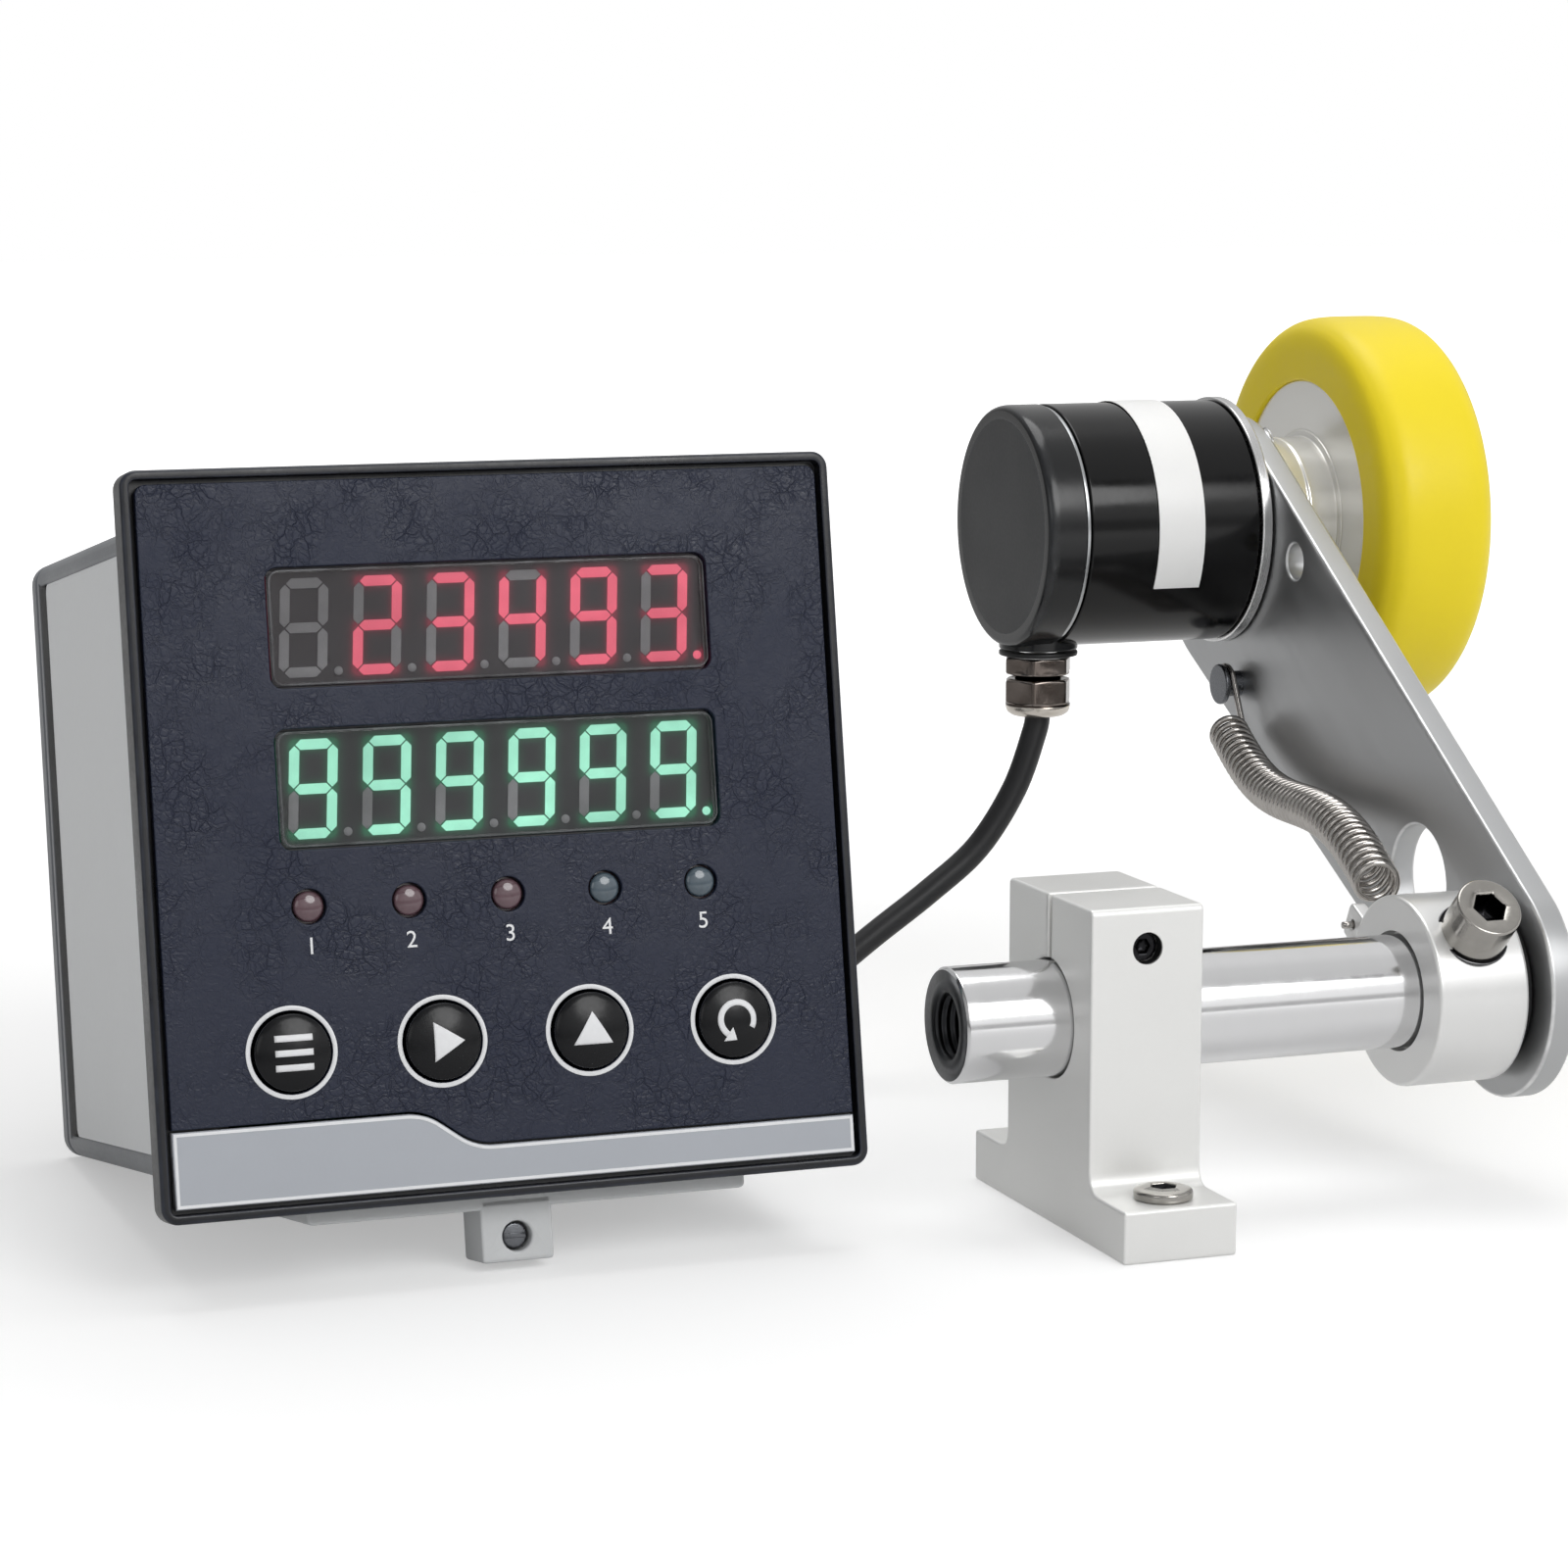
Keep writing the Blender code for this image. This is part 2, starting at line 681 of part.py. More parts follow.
def make_indicator_guide(look):
    """Five lamp lenses on one bar, standing on the display board."""
    half = LAMP_PITCH * (LAMP_COUNT - 1) / 2 + LAMP_DIAMETER
    top = -OVERLAY_BACK - SEAT_GAP
    low = (-half, LAMP_Y - GUIDE_HEIGHT / 2, top - GUIDE_THICKNESS)
    high = (half, LAMP_Y + GUIDE_HEIGHT / 2, top)
    guide = solid("indicator_guide", box_mesh("indicator_guide", low, high), FACE, look)
    for index, x in enumerate(lamp_places()):
        pipe_name = "lamp_pipe_" + str(index + 1)
        pipe = cylinder_mesh(pipe_name, LAMP_DIAMETER / 2, SEAT_GAP - DISPLAY_BOARD_DEPTH, -WINDOW_SINK, LAMP_STEPS)
        melt(guide, pipe_name, pipe, shifted(FACE, x, LAMP_Y, 0.0))


def make_buttons(look):
    """Four domed buttons, each held behind the overlay by its flange."""
    flange_top = -OVERLAY_BACK - SEAT_GAP
    flange_bottom = flange_top - BUTTON_FLANGE_THICKNESS
    stem_end = SWITCH_HEIGHT + BUTTON_TRAVEL + SEAT_GAP - DISPLAY_BOARD_DEPTH
    radius = BUTTON_DIAMETER / 2
    profile = [(0.0, BUTTON_RISE + BUTTON_DOME)]
    for step in range(1, ARC_POINTS - 1):
        share = step / (ARC_POINTS - 1)
        profile.append((radius * share, BUTTON_RISE + BUTTON_DOME * (1 - share ** 2)))
    profile += [
        (radius, BUTTON_RISE),
        (radius, flange_top),
        (BUTTON_FLANGE / 2, flange_top),
        (BUTTON_FLANGE / 2, flange_bottom),
        (BUTTON_STEM / 2, flange_bottom),
        (BUTTON_STEM / 2, stem_end),
        (0.0, stem_end),
    ]
    for name, x in zip(BUTTON_NAMES, button_places()):
        turned("button_" + name, profile, shifted(FACE, x, BUTTON_Y, 0.0), look, steps=SMALL_STEPS)


def make_case(look):
    """The case: a sleeve with a shallow recess on each side for its label."""
    middle = CASE_RISE + CASE_HEIGHT / 2
    front = -BEZEL_DEPTH - SEAT_GAP
    outer = rounded(CASE_WIDTH, CASE_HEIGHT, CASE_RADIUS, 0.0, middle)
    inner = rounded(CASE_WIDTH - CASE_WALL * 2, CASE_HEIGHT - CASE_WALL * 2, CASE_RADIUS / 2, 0.0, middle)
    case = solid("rear_case", slab_mesh("rear_case", [outer, inner], -CASE_DEPTH, front), FACE, look)
    for side, name in ((-1, "left"), (1, "right")):
        near = side * (CASE_WIDTH / 2 - LABEL_RECESS)
        far = side * (CASE_WIDTH / 2 + CUT_OVERRUN)
        low, high = label_box(min(near, far), max(near, far), 0.0)
        cut(case, "label_recess_" + name, box_mesh("label_recess_" + name, low, high), FACE)


def label_box(x_low, x_high, inset):
    """The corners of a side label's bed, or of the label where it is inset."""
    bottom = CASE_RISE + LABEL_MARGIN + inset
    top = CASE_RISE + CASE_HEIGHT - LABEL_MARGIN - inset
    rear = -CASE_DEPTH + LABEL_REAR_MARGIN + inset
    front = -BEZEL_DEPTH - LABEL_MARGIN - inset
    return (x_low, bottom, rear), (x_high, top, front)


def make_side_labels(look):
    """A plain pale panel let into each side of the case."""
    for side, name in ((-1, "left"), (1, "right")):
        bed = side * (CASE_WIDTH / 2 - LABEL_RECESS + SEAT_GAP)
        face = bed + side * LABEL_THICKNESS
        low, high = label_box(min(bed, face), max(bed, face), SEAT_GAP)
        solid("side_label_" + name, box_mesh("side_label_" + name, low, high), FACE, look)


def make_boards(look, switch_place):
    """The display board with its key switches and the main board lying in the case."""
    half = CASE_WIDTH / 2 - CASE_WALL - SEAT_GAP
    bottom = CASE_RISE + CASE_WALL + SEAT_GAP
    top = CASE_RISE + CASE_HEIGHT - CASE_WALL - SEAT_GAP
    loop = rounded(half * 2, top - bottom, CASE_RADIUS / 2, 0.0, (bottom + top) / 2)
    board = solid("display_board", slab_mesh("display_board", [loop], -BOARD_BACK, -DISPLAY_BOARD_DEPTH), FACE, look)
    for name, x in zip(BUTTON_NAMES, switch_place):
        low = (x - SWITCH_SIZE / 2, BUTTON_Y - SWITCH_SIZE / 2, -DISPLAY_BOARD_DEPTH - JOIN_DEPTH)
        high = (x + SWITCH_SIZE / 2, BUTTON_Y + SWITCH_SIZE / 2, SWITCH_HEIGHT - DISPLAY_BOARD_DEPTH)
        melt(board, "key_switch_" + name, box_mesh("key_switch_" + name, low, high), FACE)
    main_bottom = CASE_RISE + MAIN_BOARD_RISE
    low = (-half, main_bottom, SEAT_GAP - REAR_COVER_FRONT)
    high = (half, main_bottom + BOARD_THICKNESS, -BOARD_BACK - SEAT_GAP)
    solid("main_board", box_mesh("main_board", low, high), FACE, look)


def make_inner_parts(iron_look, relay_look):
    """The transformer and two relays standing on the main board."""
    floor = CASE_RISE + MAIN_BOARD_RISE + BOARD_THICKNESS + SEAT_GAP
    width, height, depth = TRANSFORMER_SIZE
    middle = -(BOARD_BACK + REAR_COVER_FRONT) / 2
    low = (TRANSFORMER_X - width / 2, floor, middle - depth / 2)
    high = (TRANSFORMER_X + width / 2, floor + height, middle + depth / 2)
    transformer = solid("power_transformer", box_mesh("power_transformer", low, high), FACE, iron_look)
    width, height, depth = BOBBIN_SIZE
    base = floor + JOIN_DEPTH
    low = (TRANSFORMER_X - width / 2, base, middle - depth / 2)
    high = (TRANSFORMER_X + width / 2, base + height, middle + depth / 2)
    melt(transformer, "transformer_bobbin", box_mesh("transformer_bobbin", low, high), FACE)
    width, height, depth = RELAY_SIZE
    for index, side in enumerate((1, -1)):
        relay_middle = middle + side * RELAY_SPREAD / 2
        low = (RELAY_X - width / 2, floor, relay_middle - depth / 2)
        high = (RELAY_X + width / 2, floor + height, relay_middle + depth / 2)
        name = "relay_" + str(index + 1)
        relay = solid(name, box_mesh(name, low, high), FACE, relay_look)
        soften(relay, JOIN_DEPTH)


def make_rear(cover_look, terminal_look):
    """The rear cover set inside the case, and two rows of screw terminals on it."""
    width = CASE_WIDTH - (CASE_WALL + SEAT_GAP) * 2
    height = CASE_HEIGHT - (CASE_WALL + SEAT_GAP) * 2
    middle = CASE_RISE + CASE_HEIGHT / 2
    loop = rounded(width, height, CASE_RADIUS / 2, 0.0, middle)
    solid("rear_cover", slab_mesh("rear_cover", [loop], -REAR_COVER_BACK, -REAR_COVER_FRONT), FACE, cover_look)
    for name, y in (("lower", terminal_low_y()), ("upper", terminal_high_y())):
        loops = [rounded(TERMINAL_WIDTH, TERMINAL_HEIGHT, WINDOW_RADIUS, 0.0, y)]
        for index in range(TERMINAL_COUNT):
            x = (index - (TERMINAL_COUNT - 1) / 2) * TERMINAL_WIDTH / TERMINAL_COUNT
            loops.append(circle(TERMINAL_HOLE / 2, x, y, SMALL_STEPS // 2))
        block = slab_mesh("terminal_block_" + name, loops, -CASE_DEPTH, -REAR_COVER_BACK - SEAT_GAP)
        solid("terminal_block_" + name, block, FACE, terminal_look)


def terminal_low_y():
    """Height of the lower terminal row on the counter."""
    return CASE_RISE + TERMINAL_LOW_RISE + TERMINAL_HEIGHT / 2


def terminal_high_y():
    """Height of the upper terminal row on the counter."""
    return CASE_RISE + CASE_HEIGHT - TERMINAL_HIGH_DROP - TERMINAL_HEIGHT / 2


def make_bracket(look, screw_look):
    """The bracket under the case, with the lug that the counter stands on and its jack screw."""
    front = -BEZEL_DEPTH - SEAT_GAP
    low = (BRACKET_OFFSET - BRACKET_WIDTH / 2, -BRACKET_DROP, front - BRACKET_DEPTH)
    high = (BRACKET_OFFSET + BRACKET_WIDTH / 2, CASE_RISE - SEAT_GAP, front)
    bracket = solid("mounting_bracket", box_mesh("mounting_bracket", low, high), FACE, look)
    low = (-LUG_WIDTH / 2, -LUG_DROP, -LUG_DEPTH)
    high = (LUG_WIDTH / 2, JOIN_DEPTH, front)
    melt(bracket, "lug", box_mesh("lug", low, high), FACE)
    hole = cylinder_mesh("jack_hole", JACK_HOLE / 2, -LUG_DEPTH - CUT_OVERRUN, CUT_OVERRUN)
    cut(bracket, "jack_hole", hole, shifted(FACE, 0.0, -JACK_DROP, 0.0))
    screw_front = front - JACK_SINK
    mesh = cylinder_mesh("jack_screw", JACK_SCREW / 2, -LUG_DEPTH + JACK_SINK, screw_front)
    screw = solid("jack_screw", mesh, shifted(FACE, 0.0, -JACK_DROP, 0.0), screw_look)
    slot_low = (-JACK_SCREW, -JOIN_DEPTH / 2, screw_front - JOIN_DEPTH)
    slot_high = (JACK_SCREW, JOIN_DEPTH / 2, screw_front + CUT_OVERRUN)
    cut(screw, "jack_slot", box_mesh("jack_slot", slot_low, slot_high), shifted(FACE, 0.0, -JACK_DROP, 0.0))


def block_outline():
    """The foot block seen along the shaft: feet, fillets, upright, and the bore with its slit."""
    half = BLOCK_LENGTH / 2
    side = UPRIGHT_WIDTH / 2
    bore = SHAFT_DIAMETER / 2 + SEAT_GAP
    slit = CLAMP_SLIT / 2
    corner = BLOCK_CORNER
    fillet = FOOT_FILLET
    points = [(-half, 0.0), (half, 0.0), (half, BASE_HEIGHT)]
    points += arc(side + fillet, BASE_HEIGHT + fillet, fillet, math.pi * 1.5, math.pi, ARC_POINTS)
    points += arc(side - corner, BLOCK_HEIGHT - corner, corner, 0.0, math.pi / 2, ARC_POINTS)
    points.append((slit, BLOCK_HEIGHT))
    start = math.pi / 2 - math.asin(slit / bore)
    points += arc(0.0, SHAFT_HEIGHT, bore, start, math.pi - start - math.tau, ROUND_STEPS)
    points.append((-slit, BLOCK_HEIGHT))
    points += arc(corner - side, BLOCK_HEIGHT - corner, corner, math.pi / 2, math.pi, ARC_POINTS)
    points += arc(-side - fillet, BASE_HEIGHT + fillet, fillet, 0.0, -math.pi / 2, ARC_POINTS)
    points.append((-half, BASE_HEIGHT))
    return points


def make_block(look, screw_look):
    """The clamp block with its clamp screw and two foot screws."""
    place = frame_at(stand_point(0, 0, 0), (0, 1, 0), (1, 0, 0))
    block = solid("mounting_block", slab_mesh("mounting_block", [block_outline()], -BLOCK_HALF, BLOCK_HALF), place, look)
    clamp_z = SHAFT_HEIGHT + CLAMP_SCREW_RISE
    clamp = frame_at(stand_point(0, -UPRIGHT_WIDTH / 2, clamp_z), (1, 0, 0), (0, -1, 0))
    hole_end = -UPRIGHT_WIDTH / 2 - CLAMP_REACH - SEAT_GAP
    hole = cylinder_mesh("clamp_hole", CLAMP_SCREW / 2 + SEAT_GAP, hole_end, CUT_OVERRUN)
    cut(block, "clamp_hole", hole, clamp)
    screw_end = -UPRIGHT_WIDTH / 2 - CLAMP_REACH
    mesh = cylinder_mesh("block_clamp_screw", CLAMP_SCREW / 2, screw_end, -CLAMP_SINK)
    screw = solid("block_clamp_screw", mesh, clamp, screw_look)
    socket = cylinder_mesh("clamp_socket", FOOT_SOCKET / 3, -CLAMP_SINK - FOOT_SOCKET_DEPTH, CUT_OVERRUN, 6)
    cut(screw, "clamp_socket", socket, clamp)
    for name, side in (("front", -1), ("rear", 1)):
        foot = frame_at(stand_point(0, side * FOOT_SCREW_PITCH / 2, BASE_HEIGHT + SEAT_GAP), (1, 0, 0), (0, 0, 1))
        hole = cylinder_mesh("foot_hole_" + name, FOOT_SCREW / 2 + SEAT_GAP, -BASE_HEIGHT - CUT_OVERRUN, CUT_OVERRUN)
        cut(block, "foot_hole_" + name, hole, foot)
        edge = FOOT_HEAD_HEIGHT / 3
        profile = [
            (0.0, FOOT_HEAD_HEIGHT),
            (FOOT_HEAD / 2 - edge, FOOT_HEAD_HEIGHT),
            (FOOT_HEAD / 2, FOOT_HEAD_HEIGHT - edge),
            (FOOT_HEAD / 2, 0.0),
            (FOOT_SCREW / 2, 0.0),
            (FOOT_SCREW / 2, SEAT_GAP * 2 - BASE_HEIGHT),
            (0.0, SEAT_GAP * 2 - BASE_HEIGHT),
        ]
        foot_screw = turned("foot_screw_" + name, profile, foot, screw_look, steps=SMALL_STEPS + 8)
        socket_low = FOOT_HEAD_HEIGHT - FOOT_SOCKET_DEPTH
        socket = cylinder_mesh("foot_socket_" + name, FOOT_SOCKET / 2, socket_low, FOOT_HEAD_HEIGHT + CUT_OVERRUN, 6)
        cut(foot_screw, "foot_socket_" + name, socket, foot)


def make_shaft(look):
    """The support shaft: a threaded bore in its free end, a journal for the arm and a screw hole beyond."""
    near = -BLOCK_HALF - SHAFT_OVERHANG
    shoulder = ARM_NEAR - PIVOT_WASHER_THICKNESS - SEAT_GAP * 2
    far = ARM_FAR + JOURNAL_OVERREACH
    radius = SHAFT_DIAMETER / 2
    mouth = (SHAFT_BORE_MOUTH - SHAFT_BORE) / 2
    profile = [
        (0.0, far - THREAD_DEPTH),
        (THREAD_BORE / 2, far - THREAD_DEPTH),
        (THREAD_BORE / 2, far),
        (JOURNAL_DIAMETER / 2, far),
        (JOURNAL_DIAMETER / 2, shoulder),
        (radius, shoulder),
        (radius, near + SHAFT_CHAMFER),
        (radius - SHAFT_CHAMFER, near),
        (SHAFT_BORE_MOUTH / 2, near),
        (SHAFT_BORE / 2, near + mouth),
        (SHAFT_BORE / 2, near + SHAFT_BORE_DEPTH),
        (0.0, near + SHAFT_BORE_DEPTH),
    ]
    turned("support_shaft", profile, SHAFT, look)


def make_collar(look, screw_look, washer_look):
    """The collar with the spring's ear and its radial screw, and the washer between it and the arm."""
    bore = SHAFT_DIAMETER / 2 + SEAT_GAP
    radius = COLLAR_DIAMETER / 2
    profile = [
        (bore, COLLAR_FAR),
        (radius - COLLAR_CHAMFER, COLLAR_FAR),
        (radius, COLLAR_FAR - COLLAR_CHAMFER),
        (radius, COLLAR_NEAR + COLLAR_CHAMFER),
        (radius - COLLAR_CHAMFER, COLLAR_NEAR),
        (bore, COLLAR_NEAR),
    ]
    collar = turned("spring_collar", profile, SHAFT, look, ring=True)
    ear_place = SHAFT @ Matrix.Rotation(EAR_ANGLE, 4, "Z")
    inner = (bore + radius) / 2
    half = EAR_WIDTH / 2
    outer = EAR_RADIUS + EAR_END
    ear_loop = [(inner, -half), (outer, -half), (outer, half), (inner, half)]
    hole = circle(ear_hole() / 2, EAR_RADIUS, 0.0, SMALL_STEPS // 2)
    ear = slab_mesh("collar_ear", [ear_loop, hole], COLLAR_NEAR + COLLAR_CHAMFER, COLLAR_NEAR + EAR_THICKNESS)
    melt(collar, "collar_ear", ear, ear_place)
    middle = (COLLAR_NEAR + COLLAR_FAR) / 2
    across = (0.0, math.cos(COLLAR_SCREW_ANGLE), math.sin(COLLAR_SCREW_ANGLE))
    screw_place = frame_at(stand_point(middle, 0, SHAFT_HEIGHT), (1, 0, 0), across)
    drill = cylinder_mesh("collar_hole", COLLAR_SCREW / 2 + SEAT_GAP, 0.0, COLLAR_DIAMETER)
    cut(collar, "collar_hole", drill, screw_place)
    seat = radius - COLLAR_SEAT
    flat = cylinder_mesh("collar_flat", COLLAR_HEAD / 2 + SEAT_GAP, seat, COLLAR_DIAMETER)
    cut(collar, "collar_flat", flat, screw_place)
    head_place = shifted(screw_place, 0.0, 0.0, seat + SEAT_GAP)
    shank = seat - SHAFT_DIAMETER / 2
    socket_screw("collar_screw", head_place, screw_look, COLLAR_SCREW, COLLAR_HEAD, COLLAR_HEAD_HEIGHT, shank)
    ring = [
        (JOURNAL_DIAMETER / 2 + SEAT_GAP, ARM_NEAR - SEAT_GAP),
        (PIVOT_WASHER / 2, ARM_NEAR - SEAT_GAP),
        (PIVOT_WASHER / 2, COLLAR_FAR + SEAT_GAP),
        (JOURNAL_DIAMETER / 2 + SEAT_GAP, COLLAR_FAR + SEAT_GAP),
    ]
    turned("pivot_washer", ring, SHAFT, washer_look, steps=SMALL_STEPS + 8, ring=True)
    head_place = shifted(SHAFT, 0.0, 0.0, ARM_FAR + SEAT_GAP + JOURNAL_OVERREACH)
    length = THREAD_DEPTH - SEAT_GAP * 2
    pivot_thread = THREAD_BORE - SEAT_GAP * 2
    socket_screw("pivot_screw", head_place, screw_look, pivot_thread, PIVOT_HEAD, PIVOT_HEAD_HEIGHT, length)


def ear_hole():
    """Diameter of the hole that the spring's lower end passes through."""
    return WIRE_DIAMETER + SEAT_GAP * 2


def arm_outline():
    """The arm: a small round end at the pivot and a large one at the encoder, joined by tangents."""
    run = math.hypot(ARM_HEAD_S, ARM_HEAD_N)
    slope = math.atan2(ARM_HEAD_N, ARM_HEAD_S)
    spread = math.acos((ARM_PIVOT_RADIUS - ARM_HEAD_RADIUS) / run)
    turn = math.tau - spread * 2
    points = arc(0.0, 0.0, ARM_PIVOT_RADIUS, slope + spread, slope + spread + turn, ROUND_STEPS // 2)
    points += arc(ARM_HEAD_S, ARM_HEAD_N, ARM_HEAD_RADIUS, slope - spread, slope + spread, ROUND_STEPS // 2)
    return points


def flange_screw_places():
    """Places of the flange screws round the wheel's axle."""
    places = []
    for index in range(FLANGE_SCREW_COUNT):
        angle = math.pi / 2 + math.tau * index / FLANGE_SCREW_COUNT
        places.append((FLANGE_SCREW_RADIUS * math.cos(angle), FLANGE_SCREW_RADIUS * math.sin(angle)))
    return places


def make_arm(look, post_look, parent):
    """The arm plate with its holes, and the post that holds the spring."""
    loops = [
        arm_outline(),
        circle(JOURNAL_DIAMETER / 2 + SEAT_GAP, 0.0, 0.0, SMALL_STEPS + 8),
        circle(ARM_LARGE_HOLE / 2, ARM_LARGE_HOLE_S, ARM_LARGE_HOLE_N),
        circle(ARM_SMALL_HOLE / 2, ARM_SMALL_HOLE_S, ARM_SMALL_HOLE_N, SMALL_STEPS),
        circle(POST_DIAMETER / 2 + SEAT_GAP, POST_S, POST_N, SMALL_STEPS),
        circle(SPIGOT_DIAMETER / 2 + SEAT_GAP, ARM_LENGTH, 0.0),
    ]
    mesh = slab_mesh("arm_plate", loops, ARM_NEAR, ARM_FAR)
    arm = solid("arm_plate", mesh, ARM, look, parent)
    for index, (x, y) in enumerate(flange_screw_places()):
        place = shifted(ARM, ARM_LENGTH + x, y, ARM_FAR)
        sink = cylinder_mesh(
            "arm_sink_" + str(index + 1),
            FLANGE_SCREW / 2 + SEAT_GAP,
            -FLANGE_SCREW_CONE - SEAT_GAP,
            CUT_OVERRUN,
            SMALL_STEPS,
            FLANGE_SCREW_HEAD / 2 + SEAT_GAP + CUT_OVERRUN,
        )
        hole = cylinder_mesh("arm_hole_" + str(index + 1), FLANGE_SCREW / 2 + SEAT_GAP, -CUT_OVERRUN * 3, CUT_OVERRUN)
        cut(arm, "arm_hole_" + str(index + 1), hole, place)
        cut(arm, "arm_sink_" + str(index + 1), sink, place)
    reach = ARM_NEAR - POST_REACH
    profile = [
        (0.0, ARM_FAR),
        (POST_DIAMETER / 2, ARM_FAR),
        (POST_DIAMETER / 2, reach + POST_HEAD_THICKNESS),
        (POST_HEAD / 2, reach + POST_HEAD_THICKNESS),
        (POST_HEAD / 2, reach),
        (0.0, reach),
    ]
    turned("spring_post", profile, shifted(ARM, POST_S, POST_N, 0.0), post_look, parent, SMALL_STEPS)


def spring_points():
    """The spring's wire: out of the ear, round the curls and round the post, as one line."""
    ear_y = EAR_RADIUS * math.cos(EAR_ANGLE)
    ear_z = EAR_RADIUS * math.sin(EAR_ANGLE)
    post_y = POST_S * math.cos(ARM_ANGLE) - POST_N * math.sin(ARM_ANGLE)
    post_z = POST_S * math.sin(ARM_ANGLE) + POST_N * math.cos(ARM_ANGLE)
    radius = (SPRING_DIAMETER - WIRE_DIAMETER) / 2
    low = Vector(((COLLAR_NEAR + COLLAR_FAR) / 2, SPRING_LOW_Y, SPRING_LOW_Z))
    high = Vector((ARM_NEAR - SPRING_TOP_INSET, post_y - SPRING_TOP_BACK, post_z - SPRING_TOP_DROP))
    axis = (high - low).normalized()
    side = Vector((1.0, 0.0, 0.0))
    side = (side - axis * side.dot(axis)).normalized()
    up = side.cross(axis)
    curls = math.floor((high - low).length / SPRING_PITCH)
    count = curls * SPRING_POINTS + SPRING_POINTS // 4
    coil = []
    for index in range(count + 1):
        angle = math.tau * index / SPRING_POINTS
        share = index / count
        centre = low.lerp(high, share)
        phase = angle - math.pi / 2
        coil.append(centre + side * radius * math.cos(phase) + up * radius * math.sin(phase))
    tail = [
        Vector((COLLAR_NEAR - TAIL_REACH, ear_y, ear_z)),
        Vector((COLLAR_NEAR + EAR_THICKNESS + SEAT_GAP, ear_y, ear_z)),
    ]
    post = Vector((coil[-1].x, post_y, post_z))
    hook_radius = (POST_DIAMETER + WIRE_DIAMETER) / 2 + SEAT_GAP
    toward = post - coil[-1]
    distance = math.hypot(toward.y, toward.z)
    start = math.atan2(toward.z, toward.y) + math.asin(hook_radius / distance) + math.pi / 2
    hook = []
    steps = round(HOOK_SWEEP / HOOK_STEP)
    for index in range(steps + 1):
        angle = start - HOOK_SWEEP * index / steps
        hook.append(post + Vector((0.0, math.cos(angle), math.sin(angle))) * hook_radius)
    return [stand_point(p.x, p.y, p.z + SHAFT_HEIGHT) for p in tail + coil + hook]


def make_spring(look):
    """The tension spring between the collar's ear and the arm's post."""
    points = spring_points()
    print("spring: least gap", round(least_gap(points, WIRE_DIAMETER, SPRING_POINTS // 2 + 1) * 1000, 2), "mm")
    tube("tension_spring", points, WIRE_DIAMETER, look, 1)


def make_encoder(look, plate_look, band_look, parent):
    """The encoder's body with its gland boss, its flange and the blank band round it."""
    radius = ENCODER_DIAMETER / 2
    inner = radius - ENCODER_WALL
    edge = arc(radius - ENCODER_EDGE, HOUSING_NEAR + ENCODER_EDGE, ENCODER_EDGE, 0.0, -math.pi / 2, ARC_POINTS)
    floor = HOUSING_NEAR + ENCODER_FACE_WALL
    profile = [(0.0, floor), (inner, floor), (inner, HOUSING_FAR), (radius, HOUSING_FAR)] + edge
    profile.append((0.0, HOUSING_NEAR))
    housing = turned("encoder_housing", profile, WHEEL, look, parent)
    gland_x = HOUSING_NEAR + GLAND_SETBACK
    gland = frame_at(stand_point(gland_x, WHEEL_Y, boss_bottom()), (1, 0, 0), (0, 0, 1))
    low = (-BOSS_LENGTH / 2, -BOSS_WIDTH / 2, 0.0)
    high = (BOSS_LENGTH / 2, BOSS_WIDTH / 2, BOSS_HEIGHT)
    melt(housing, "gland_boss", box_mesh("gland_boss", low, high), gland)
    hole = cylinder_mesh("gland_hole", GLAND_HOLE / 2, -CUT_OVERRUN, BOSS_HEIGHT + CUT_OVERRUN)
    cut(housing, "gland_hole", hole, gland)
    core = FLANGE_CORE / 2
    disc_near = FLANGE_FAR - FLANGE_DISC_THICKNESS
    bore = BEARING_OUTER / 2 + SEAT_GAP
    profile = [
        (bore, ARM_FAR),
        (SPIGOT_DIAMETER / 2, ARM_FAR),
        (SPIGOT_DIAMETER / 2, FLANGE_FAR),
        (FLANGE_DISC / 2, FLANGE_FAR),
        (FLANGE_DISC / 2, disc_near),
        (core, disc_near),
        (core, disc_near - FLANGE_CORE_LENGTH),
        (bore, disc_near - FLANGE_CORE_LENGTH),
    ]
    flange = turned("encoder_flange", profile, WHEEL, plate_look, parent, ROUND_STEPS, ring=True)
    for index, (x, y) in enumerate(flange_screw_places()):
        place = shifted(WHEEL @ Matrix.Rotation(ARM_ANGLE, 4, "Z"), x, y, ARM_FAR)
        depth = FLANGE_SCREW_LENGTH + SEAT_GAP
        hole = cylinder_mesh("flange_hole_" + str(index + 1), FLANGE_SCREW / 2 + SEAT_GAP, -depth, CUT_OVERRUN)
        cut(flange, "flange_hole_" + str(index + 1), hole, place)
        top = -SEAT_GAP
        screw = [
            (0.0, top),
            (FLANGE_SCREW_HEAD / 2, top),
            (FLANGE_SCREW / 2, top - FLANGE_SCREW_CONE),
            (FLANGE_SCREW / 2, -FLANGE_SCREW_LENGTH),
            (0.0, -FLANGE_SCREW_LENGTH),
        ]
        turned("flange_screw_" + str(index + 1), screw, place, plate_look, parent, SMALL_STEPS)
    band_near = HOUSING_NEAR + BAND_SETBACK
    band_low = radius + SEAT_GAP
    band = arc(0.0, 0.0, band_low + BAND_THICKNESS, math.pi - BAND_START, math.pi - BAND_END, ROUND_STEPS)
    band += arc(0.0, 0.0, band_low, math.pi - BAND_END, math.pi - BAND_START, ROUND_STEPS)
    mesh = slab_mesh("encoder_label", [band], band_near, band_near + BAND_WIDTH)
    solid("encoder_label", mesh, WHEEL, band_look, parent)


